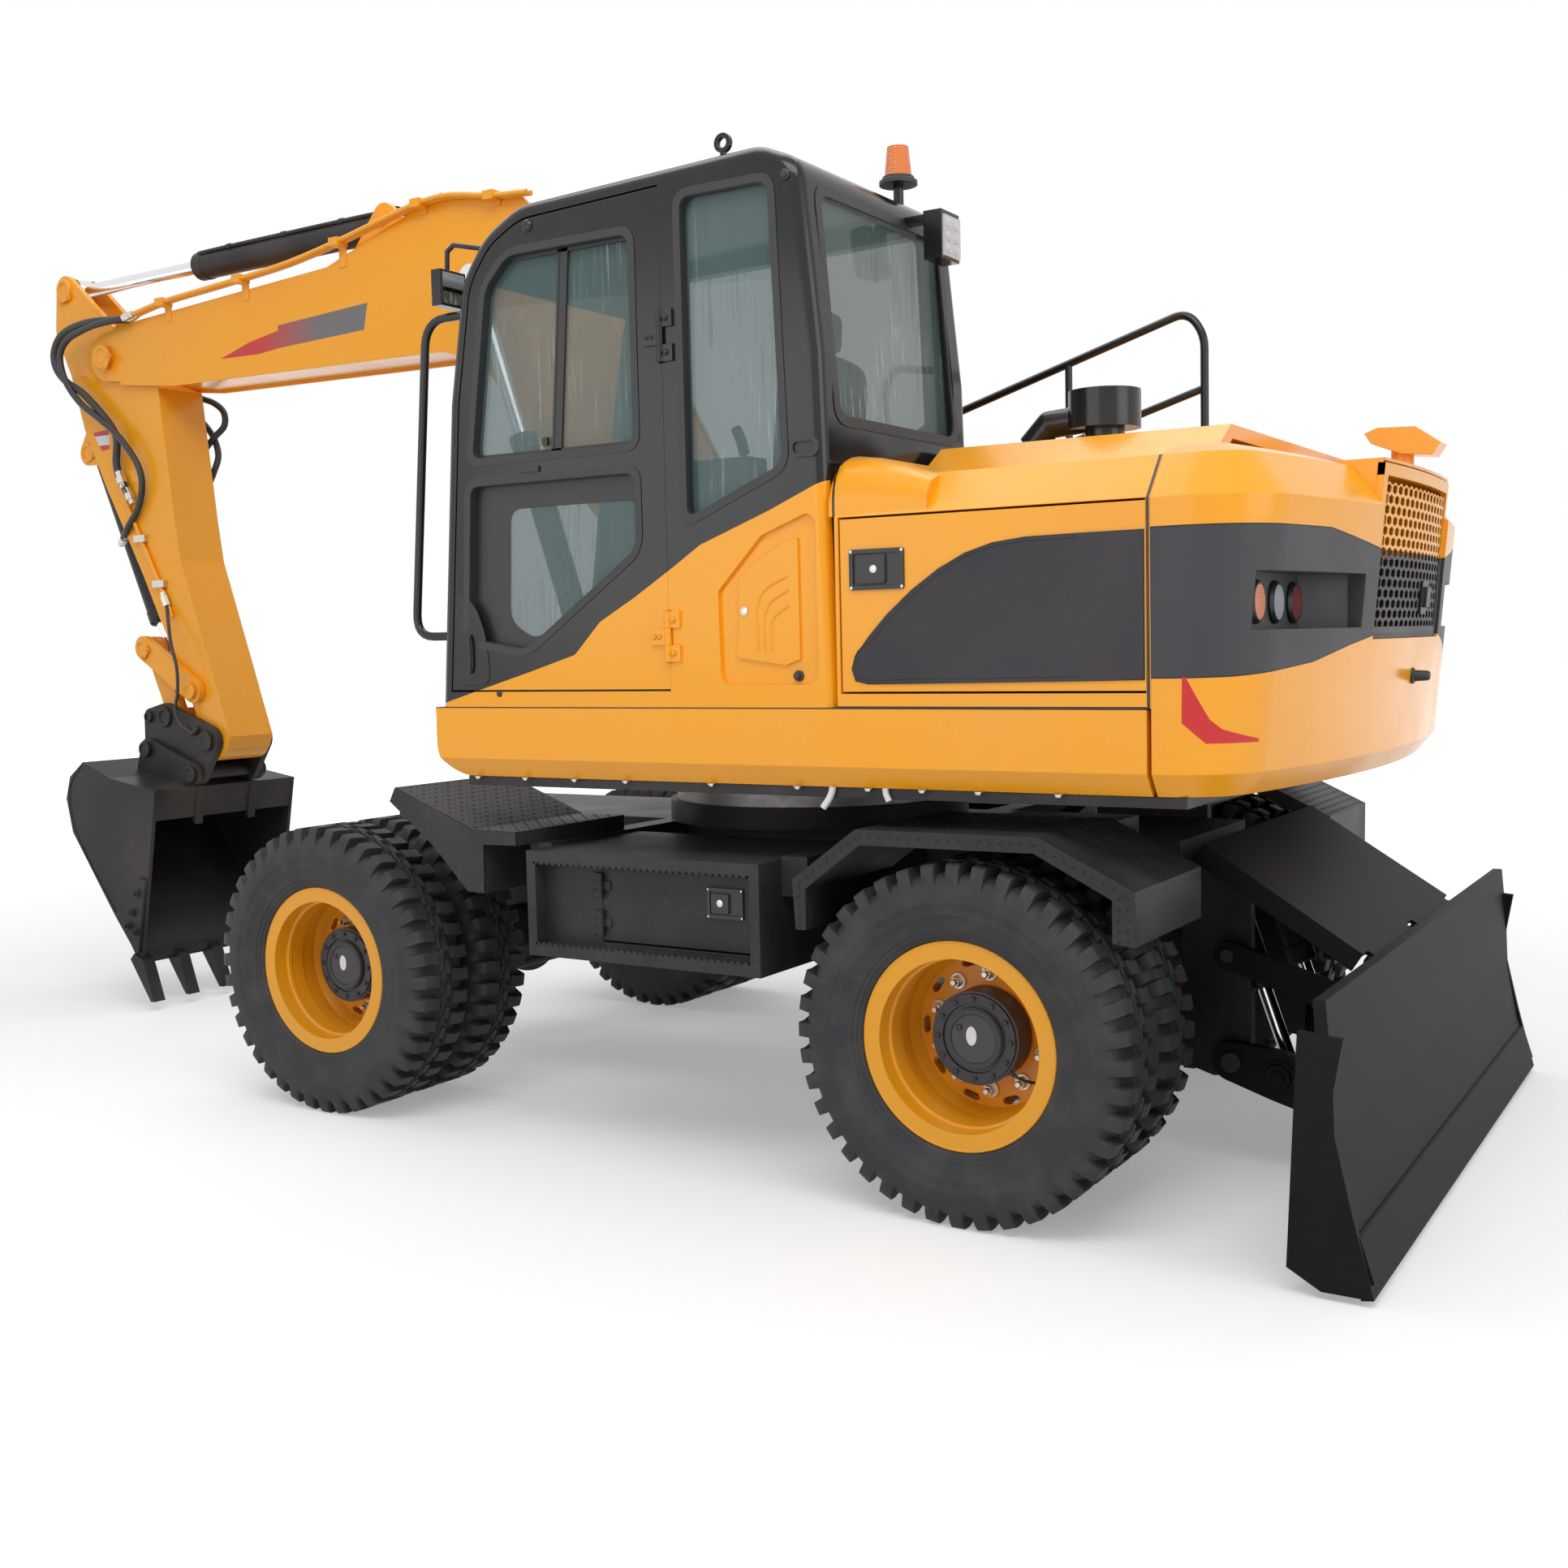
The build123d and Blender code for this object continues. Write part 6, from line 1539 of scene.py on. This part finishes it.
PIPE_Y, PIPE_RADIUS = (0.163, 0.190), 0.0105
pipes, clamps, couplings = Shape(), Shape(), Shape()
coupling_profile = [(-0.04, 0.015), (-0.015, 0.015), (-0.015, 0.018), (0.03, 0.018)]
for y in PIPE_Y:
    couplings.turned(at(4.700, y, 3.1755), (1, 0, -0.17), coupling_profile, 6)
for side in (-1, 1):
    for y in PIPE_Y:
        pipes.pipe(side_points(PIPE_LINE, side * y), PIPE_RADIUS, 12, 3)
    for a, b in CLAMPS:
        foot = min(b - 0.016, boom_top(a) - 0.045)
        clamps.box(
            at(a - 0.026, side * 0.148, b - 0.017), at(a + 0.026, side * 0.206, b + 0.017), 0.004
        )
        clamps.box(at(a - 0.020, side * 0.148, foot), at(a + 0.020, side * 0.154, b), 0.002)
        couplings.bolt(at(a, side * sum(PIPE_Y) / 2, b + 0.016), (0, 0, 1), 0.007, 0.007)
pipes.done("boom_pipes", orange_enamel, "boom", "orange_paint")
clamps.done("boom_pipe_clamps", orange_enamel, "boom", "orange_paint", 30)
print("boom pipes", made_pieces[-2:])

# %% [markdown]
# A hose across a joint is modelled once, at rest, and rides on no body. These hoses are fixed
# in couplings at both ends, so none of them is a cord.
# Each course follows the loop that the photograph shows.

# %% Hoses from boom to arm
HOSE_A = (
    (4.735, 0.163, 3.169), (4.936, 0.185, 3.181), (5.092, 0.190, 3.172), (5.203, 0.190, 3.138),
    (5.256, 0.190, 3.070), (5.247, 0.190, 2.996), (5.183, 0.188, 2.928), (5.080, 0.182, 2.869),
    (4.989, 0.176, 2.794), (4.908, 0.170, 2.715), (4.862, 0.164, 2.645), (4.872, 0.158, 2.579),
    (4.885, 0.154, 2.533), (4.877, 0.152, 2.473), (4.847, 0.148, 2.417), (4.812, 0.145, 2.366),
)
HOSE_B = (
    (4.735, 0.190, 3.169), (4.900, 0.212, 3.158), (5.030, 0.216, 3.136), (5.117, 0.216, 3.110),
    (5.171, 0.216, 3.060), (5.177, 0.214, 2.994), (5.145, 0.208, 2.906), (5.065, 0.200, 2.813),
    (4.954, 0.194, 2.738), (4.850, 0.186, 2.665), (4.776, 0.176, 2.590), (4.716, 0.164, 2.500),
    (4.706, 0.154, 2.413), (4.752, 0.146, 2.309), (4.840, 0.142, 2.222), (4.925, 0.110, 2.172),
)
FAR_A = (
    (4.830, -0.158, 2.960), (4.800, -0.172, 2.900), (4.710, -0.190, 2.850), (4.610, -0.194, 2.815),
    (4.540, -0.194, 2.765), (4.535, -0.190, 2.700), (4.590, -0.176, 2.650), (4.650, -0.156, 2.580),
    (4.670, -0.146, 2.500), (4.672, -0.146, 2.440),
)
FAR_B = (
    (4.890, -0.158, 2.930), (4.860, -0.176, 2.860), (4.780, -0.190, 2.790), (4.690, -0.190, 2.730),
    (4.610, -0.186, 2.650), (4.570, -0.176, 2.560), (4.585, -0.156, 2.480), (4.615, -0.146, 2.420),
)
HOSES = (
    ("boom_hose_outer", HOSE_A, 0.0175), ("boom_hose_inner", HOSE_B, 0.0150),
    ("far_hose_outer", FAR_B, 0.0150), ("far_hose_inner", FAR_A, 0.0150),
)
for name, course, radius in HOSES:
    hose = Shape().pipe([at(*p) for p in course], radius, 14, 5).done(
        name, hose_rubber, slot="console_plastic"
    )
    at(4.960, 0, 3.180)
    at(4.960, 0, 2.640)
    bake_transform(hose)
# Rows: place, direction and radius of each coupling on the arm.
ARM_COUPLINGS = (
    ((4.860, 0.150, 2.445), (0.4, 0, 0.9), 0.024), ((4.812, 0.145, 2.366), (0.5, 0, 0.85), 0.022),
    ((4.930, 0.104, 2.168), (0.85, -0.3, -0.4), 0.021),
    ((4.672, -0.146, 2.425), (0, 0, 1), 0.021), ((4.620, -0.146, 2.405), (-0.2, 0, 1), 0.021),
)
arm_couplings = Shape()
for spot, way, size in ARM_COUPLINGS:
    profile = [(-0.045, 0.75 * size), (-0.02, 0.75 * size), (-0.02, size), (0.012, size),
               (0.012, 0.85 * size), (0.04, 0.85 * size)]
    arm_couplings.turned(at(*spot), way, profile, 6)
for a, b in ((4.830, 2.960), (4.890, 2.930)):
    couplings.rod(at(a, -0.148, b + 0.006), at(a, -0.176, b + 0.006), 0.019, 6)
couplings.done("boom_couplings", zinc, "boom", "ring_steel")
print("hoses", [name for name, _, _ in HOSES])

# %% [markdown]
# The hoses end in couplings on the arm, and steel pipes go on down its sides under small
# clamps. One thin hose crosses the last joint, to the quick coupler's lock.

# %% Arm pipes and the coupler's hose
# Rows: side of the arm, course in the side view, and the places of its clamps.
ARM_PIPES = (
    (1, ((4.878, 2.470), (4.868, 2.374), (4.803, 2.243), (4.688, 2.033), (4.598, 1.873),
         (4.566, 1.790)), ((4.760, 2.165), (4.640, 1.950))),
    (-1, ((4.672, 2.420), (4.668, 2.300), (4.640, 2.150), (4.560, 1.950), (4.500, 1.790)),
     ((4.618, 2.150), (4.540, 1.950))),
    (-1, ((4.622, 2.400), (4.618, 2.300), (4.590, 2.150), (4.512, 1.960), (4.460, 1.800)), ()),
)
arm_pipes = Shape()
for side, course, holds in ARM_PIPES:
    arm_pipes.pipe(side_points(course, side * 0.134), 0.0095, 10)
    for a, b in holds:
        low, high = at(a - 0.040, side * 0.120, b - 0.016), at(a + 0.040, side * 0.1465, b + 0.016)
        arm_couplings.box(low, high, 0.003)
arm_pipes.done("arm_pipes", orange_enamel, "arm", "orange_paint")
hose_fitting = [(-0.03, 0.014), (-0.03, 0.018), (0.02, 0.018), (0.02, 0.013), (0.04, 0.013)]
arm_couplings.turned(at(4.598, 0.140, 1.873), (0.42, 0, 0.9), hose_fitting, 8)
arm_couplings.done("arm_couplings", zinc, "arm", "ring_steel")
COUPLER_HOSE = (
    (4.590, 0.142, 1.858), (4.545, 0.172, 1.760), (4.500, 0.196, 1.660), (4.466, 0.200, 1.560),
    (4.470, 0.198, 1.450), (4.500, 0.190, 1.370), (4.484, 0.180, 1.300), (4.420, 0.164, 1.255),
)
tail_hose = Shape().pipe([at(*p) for p in COUPLER_HOSE], 0.0075, 10, 5)
tail_hose = tail_hose.done("coupler_hose", hose_rubber, slot="console_plastic")
at(4.440, 0, 1.480)
at(4.400, 0, 1.270)
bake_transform(tail_hose)
print("arm pipes", len(ARM_PIPES))

# %% [markdown]
# ## Cylinders
# Each barrel ends in a bolted collar round its rod, and the barrels of the working arm carry
# an oil pipe along most of their length. The small ones at the blade have no pipe.

# %% Cylinder collars and pipes
COLLAR_BOLTS, COLLAR_PROUD = 6, 0.0035
CYLINDERS = {
    # body: base, rod eye, barrel length, barrel radius, rod radius, distances from the middle
    "arm_barrel": ((3.131, 3.403), (5.295, 3.386), 1.280, 0.060, 0.032, (0.0,)),
    "bucket_barrel": ((5.182, 2.599), (4.760, 1.655), 0.900, 0.050, 0.028, (0.0,)),
    "boom_barrels": ((1.950, 1.360), (2.520, 3.050), 1.130, 0.050, 0.032, (-0.238, 0.238)),
    "blade_barrels": ((-0.445, 0.850), (-0.640, 0.300), 0.330, 0.042, 0.022, (-0.222, 0.222)),
}
for body, (base, eye, length, barrel, rod, places) in CYLINDERS.items():
    collar = Shape()
    line = (Vector((eye[0], 0, eye[1])) - Vector((base[0], 0, base[1]))).normalized()
    upward = Vector((-line.z, 0, line.x))
    upward = upward if upward.z > 0 else -upward
    reach = barrel + COLLAR_PROUD
    profile = [(-0.062, barrel), (-0.058, reach), (-0.004, reach), (0.001, reach - 0.004),
               (0.001, rod + 0.004), (-0.004, rod + 0.002)]
    for y in places:
        foot = at(base[0], y, base[1])
        collar.turned(foot + line * length, line, profile, 32)
        for turn in full_turn(COLLAR_BOLTS):
            way = upward * math.cos(turn) + Vector((0, 1, 0)) * math.sin(turn)
            place = foot + line * (length + 0.001) + way.normalized() * (barrel + rod) / 2
            collar.bolt(place, line, 0.0055, 0.005)
    collar.done(f"{body}_collar", chassis_enamel, body, "black_paint")
    if body == "blade_barrels":
        continue
    pipe = Shape()
    for y in places:
        foot = at(base[0], y, base[1])
        lean = (upward * 0.70 + Vector((0, 0.714 if y >= 0 else -0.714, 0))) * (barrel + 0.007)
        start, end = foot + line * 0.16 + lean, foot + line * (length - 0.10) + lean
        course = [start - lean * 0.12, start + line * 0.02, end - line * 0.02, end - lean * 0.12]
        pipe.pipe(course, 0.0085, 10)
        for share in (0.15, 0.5, 0.85):
            spot = start + (end - start) * share
            pipe.rod(spot - line * 0.012, spot + line * 0.012, 0.0125, 12)
    pipe.done(f"{body}_pipe", chassis_enamel, body, "black_paint")
print("cylinders", len(CYLINDERS))

# %% [markdown]
# ## Pin caps
# Each pin ends in a round boss. Where the table gives a direction, a flat keeper held by two
# bolts lies over the boss's edge and stops the pin from turning.

# %% Pins
CAPS = (
    # body, place in the side view, distance out, boss radius, height, keeper direction, finish
    ("boom", (4.928, 3.019), 0.1700, 0.056, 0.010, (-0.8, -0.6), orange_enamel),
    ("boom", (2.520, 3.050), 0.1900, 0.040, 0.001, None, orange_enamel),
    ("arm", (5.295, 3.386), 0.0880, 0.050, 0.014, (-0.2, -1.0), orange_enamel),
    ("arm", (5.182, 2.599), 0.0880, 0.046, 0.012, (-1.0, 0.3), orange_enamel),
    ("arm", (4.425, 1.450), 0.1720, 0.038, 0.006, None, orange_enamel),
    ("guide_links", (4.760, 1.655), 0.1550, 0.040, 0.010, (-0.7, -0.7), orange_enamel),
    ("bucket", (4.330, 1.220), 0.1720, 0.045, 0.006, None, bucket_enamel),
    ("bucket", (4.730, 1.330), 0.1580, 0.026, 0.016, None, bucket_enamel),
    ("bucket", (4.720, 1.180), 0.2020, 0.038, 0.008, None, bucket_enamel),
    ("bucket", (4.410, 1.070), 0.2020, 0.038, 0.008, None, bucket_enamel),
    ("bucket", (4.620, 1.330), 0.1580, 0.048, 0.012, None, bucket_enamel),
)
SQUARE = ((-1, -1), (1, -1), (1, 1), (-1, 1))
caps = {}
for body, (a, b), out, radius, height, keeper, finish in CAPS:
    if body not in caps:
        caps[body] = (Shape(), finish)
    shape = caps[body][0]
    for side in (-1, 1):
        spot, way = at(a, side * (out - 0.001), b), (0, side, 0)
        profile = [(0, radius), (height * 0.8, radius), (height + 0.001, radius - 0.003),
                   (height + 0.001, radius * 0.62), (height * 0.6, radius * 0.58),
                   (height * 0.6, radius * 0.20)]
        shape.turned(spot, way, profile, 32)
        if keeper:
            lean = Vector((keeper[0], 0, keeper[1])).normalized()
            beside = Vector((-lean.z, 0, lean.x))
            middle = spot + lean * radius * 0.95
            under, over = (Vector((0, side * d, 0)) for d in (height - 0.003, height + 0.004))
            ring = [middle + beside * u * radius * 0.85 + lean * v * 0.014 for u, v in SQUARE]
            shape.skin([[p + level for p in ring] for level in (under, over)])
            for u in (-0.6, 0.6):
                shape.bolt(middle + beside * u * radius + over, way, 0.007, 0.006)
for body, (shape, finish) in caps.items():
    slot_name = "black_paint" if body == "bucket" else "orange_paint"
    shape.done(f"pin_caps_{body}", finish, body, slot_name)
print("pin caps", len(CAPS))

# %% [markdown]
# ## Bucket and blade
# The bucket wears side cutters held by four bolts, a lip plate behind its hinge ears, and the
# weld line where the wrapped sheet meets the sides. A small cylinder and a short pipe work the
# quick coupler's lock.

# %% Bucket details
CUTTER_Y = 0.4130
CUTTER_BOLTS = ((4.538, 0.540), (4.580, 0.450), (4.560, 0.360), (4.615, 0.385))
BOLT_END = [(0, 0.009), (0.012, 0.009), (0.014, 0.006)]
WELD = ((4.915, 1.118), (4.990, 1.050), (5.022, 0.957), (4.990, 0.810), (4.880, 0.640),
        (4.725, 0.445))
cutters, cutter_bolts = Shape(), Shape()
CUTTER = (
    (4.556, 0.262), (4.480, 0.600), (4.530, 0.612), (4.630, 0.470), (4.655, 0.368), (4.585, 0.262)
)
for side in (-1, 1):
    cutters.plate(outline_of(CUTTER), side * 0.3990, side * CUTTER_Y, "y", 0.003)
    for a, b in CUTTER_BOLTS:
        cutter_bolts.bolt(at(a, side * CUTTER_Y, b), (0, side, 0), 0.015, 0.014)
        cutter_bolts.turned(at(a, side * (CUTTER_Y + 0.013), b), (0, side, 0), BOLT_END, 14)
    cutters.pipe(side_points(WELD, side * 0.4004), 0.0045, 8)
lip_line = [(4.4030, 1.0050), (4.4290, 0.8710), (4.4430, 0.8740), (4.4180, 1.0060)]
cutters.skin([[at(a, y, b) for a, b in lip_line] for y in (-0.386, 0.386)])
for y in (-0.150, 0.150):
    ear = [(4.398, 1.012), (4.426, 0.836), (4.444, 0.845), (4.440, 1.012)]
    cutters.skin([[at(a, y + d, b) for a, b in ear] for d in (-0.020, 0.020)])
cutters.done("bucket_cutters", bucket_enamel, "bucket", "black_paint")
cutter_bolts.done("bucket_bolts", bucket_enamel, "bucket", "black_paint")
hitch = Shape()
hitch.rod(at(4.452, -0.060, 1.175), at(4.600, -0.060, 1.228), 0.030, 20)
hitch.rod(at(4.600, -0.060, 1.228), at(4.660, -0.060, 1.250), 0.016, 14)
hitch.pipe([at(4.420, 0.166, 1.256), at(4.396, 0.176, 1.262), at(4.380, 0.170, 1.285)], 0.012, 10)
hitch.done("coupler_lock", chassis_enamel, "bucket", "black_paint")
print("bucket", made_pieces[-3:])

# %% [markdown]
# The blade has a bolted-on cutting edge, round pin ends at its hinges, and bosses on its arms.

# %% Blade details
EDGE_SECTION = ((-1.0700, 0.1690), (-1.0790, 0.1650), (-1.1130, 0.0560), (-1.1050, 0.0520))
PIN_END = [(0, 0.040), (0.010, 0.040), (0.014, 0.034), (0.014, 0.022), (0.024, 0.020)]
ARM_BOSS = [(0, 0.052), (0.006, 0.052), (0.006, 0.040), (0.016, 0.038), (0.016, 0.022),
            (0.022, 0.020)]
WELD_RING = [(0.004 * math.sin(t), 0.052 + 0.003 * math.cos(t)) for t in full_turn(8)]
edge, arm_bosses = Shape(), Shape()
edge.skin([side_points(EDGE_SECTION, y) for y in (-1.224, 1.224)])
for side in (-1, 1):
    for b in (0.200, 0.530):
        edge.turned(at(-0.900, side * 0.438, b), (0, side, 0), PIN_END, 28)
    arm_bosses.turned(at(-0.640, side * 0.3640, 0.300), (0, side, 0), ARM_BOSS, 32)
    arm_bosses.turned(at(-0.765, side * 0.3650, 0.248), (0, side, 0), WELD_RING, 40, looped=True)
edge.done("blade_edge_and_pins", blade_shaded_enamel, "blade", "black_paint")
arm_bosses.done("blade_arm_bosses", blade_shaded_enamel, "blade_arms", "black_paint")
print("blade", made_pieces[-2:])

# %% [markdown]
# ## Lamps and mirror
# Each tail lamp sits in a thin black bezel, and the beacon on a round foot. The work lamp
# has three rows of two bright lenses, and the mirror a silvered pane.

# %% Lamps and mirror
TAIL_LAMPS_Y = (0.711, 0.879, 1.047)
BEZEL = [(0, 0.056), (0.006, 0.056), (0.015, 0.0495), (0.015, 0.0465), (0.001, 0.0465)]
BEACON_FOOT = [(0, 0.060), (0.012, 0.060), (0.018, 0.050), (0.024, 0.050)]
LED_LENS = [(0, 0.017), (0.003, 0.016), (0.006, 0.006)]
LED_PITCH_Y, LED_PITCH_Z = 0.050, 0.037
MIRROR = [(1.108, 2.720), (1.207, 2.720), (1.207, 2.818), (1.108, 2.818)]
MIRROR_X = REAR_AXLE_X + 1.7795
bezels = Shape()
for side in (-1, 1):
    for y in TAIL_LAMPS_Y:
        bezels.turned(at(-0.7750, side * y, 1.693), (-1, 0, 0), BEZEL, 36)
bezels.turned(at(0.500, 0.520, 3.0295), (0, 0, 1), BEACON_FOOT, 32)
bezels.done("lamp_bezels", black_plastic, "upper", "console_plastic")
leds = Shape()
for row in range(3):
    for column in range(2):
        lens = at(0.2825, 0.560 + LED_PITCH_Y * column, 2.790 + LED_PITCH_Z * row)
        leds.turned(lens, (-1, 0, 0), LED_LENS, 16)
leds.done("work_lamp_lenses", lamp_lens, "upper", "lamp_lens")
glass = Shape()
glass.plate(MIRROR, MIRROR_X, MIRROR_X + 0.003, "x")
glass.done("mirror_glass", mirror_silver, "upper", "rod_chrome")
print("lights", len(made_pieces), "pieces,", sum(n for _, n in made_pieces), "faces")

# %% [markdown]
# ## Handrails
# The rails are round bar bent on a former, so their corners are arcs. The bent bar keeps the
# course of the solid that it stands in for, and gets a bolted foot at each end.

# %% Rails
def bent(points, radius):
    """A course in space whose corners are drawn round."""
    made = [Vector(points[0])]
    for before, corner, after in zip(points, points[1:], points[2:]):
        made += soft_corner(before, corner, after, radius, 6, 2.05)
    return made + [Vector(points[-1])]


RAIL_Y, HOOD_RAIL_Y, RAIL_RADIUS = 1.170, -0.350, 0.014
HOOD_TOP, TANK_TOP = 2.2005, 2.0805
CAB_RAIL = ((1.829, 1.660), (1.990, 1.660), (1.895, 2.680), (1.721, 2.680))
HOOD_RAIL = ((-0.190, HOOD_TOP), (-0.190, 2.620), (-0.130, 2.700), (0.880, 2.396), (0.950, 2.330),
             (0.950, TANK_TOP))
rails = Shape()
rails.pipe(bent(side_points(CAB_RAIL, RAIL_Y), 0.085), RAIL_RADIUS, 16, 1)
rails.pipe(bent(side_points(HOOD_RAIL, HOOD_RAIL_Y), 0.060), RAIL_RADIUS, 16, 1)
rails.rod(at(-0.190, HOOD_RAIL_Y, 2.440), at(0.300, HOOD_RAIL_Y, 2.293), RAIL_RADIUS - 0.001, 14)
rails.rod(at(0.300, HOOD_RAIL_Y, HOOD_TOP), at(0.300, HOOD_RAIL_Y, 2.570), RAIL_RADIUS - 0.001, 14)
for a, top in ((-0.190, HOOD_TOP), (0.300, HOOD_TOP), (0.950, TANK_TOP)):
    low = at(a - 0.035, HOOD_RAIL_Y - 0.022, top - 0.0005)
    rails.box(low, at(a + 0.035, HOOD_RAIL_Y + 0.022, top + 0.007), 0.002)
    for d in (-0.025, 0.025):
        rails.bolt(at(a + d, HOOD_RAIL_Y, top + 0.006), (0, 0, 1), 0.006, 0.006)
rails_piece = rails.done("bent_handrails", trim_enamel, "upper", "black_paint")
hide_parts("handrails")
print("rails", made_pieces[-1])

# %% [markdown]
# ## The floor
# A plain pale floor carries the shadow. To the camera it has to end in the same white as the
# wall behind, so it gives off a little white light of its own where the camera or a mirror
# looks, more and more with distance. That light reaches nothing else, and the shadow near the
# wheels stays.

# %% Floor
NEAR_GLOW, FAR_GLOW = 0.30, 1.0
GLOW_START, GLOW_END, FLOOR_REACH = 4.0, 14.0, 60.0
floor_paint = Finish("floor_paint", (0.80, 0.80, 0.80), 0.75)
x, y, z = floor_paint.place()
from_middle = (x * x + y * y).root()
floor_rays = floor_paint.node("LightPath").outputs
looked_at = Pattern(floor_paint, floor_rays["Is Camera Ray"])
for mirrored in ("Is Glossy Ray", "Is Transmission Ray"):
    looked_at = looked_at.most(floor_rays[mirrored])
far = from_middle.between(GLOW_START, GLOW_END)
glow = (far * (FAR_GLOW - NEAR_GLOW) + NEAR_GLOW) * looked_at
floor_paint.set("Emission Color", glow)
floor_paint.set("Emission Strength", 1.0)
floor_mesh = bpy.data.meshes.new("floor")
corners = [(u * FLOOR_REACH, v * FLOOR_REACH, 0) for u, v in SQUARE]
floor_mesh.from_pydata(corners, [], [(0, 1, 2, 3)])
floor_mesh.materials.append(floor_paint.material)
floor = bpy.data.objects.new("floor", floor_mesh)
scene.collection.objects.link(floor)
floor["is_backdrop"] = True

# %% [markdown]
# ## The dressed machine's box
# The dressed machine must stay inside the CAD's box, so its own box is written down.

# %% Sizes and finish
low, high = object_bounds()
print("visual box", tuple(low), tuple(high))
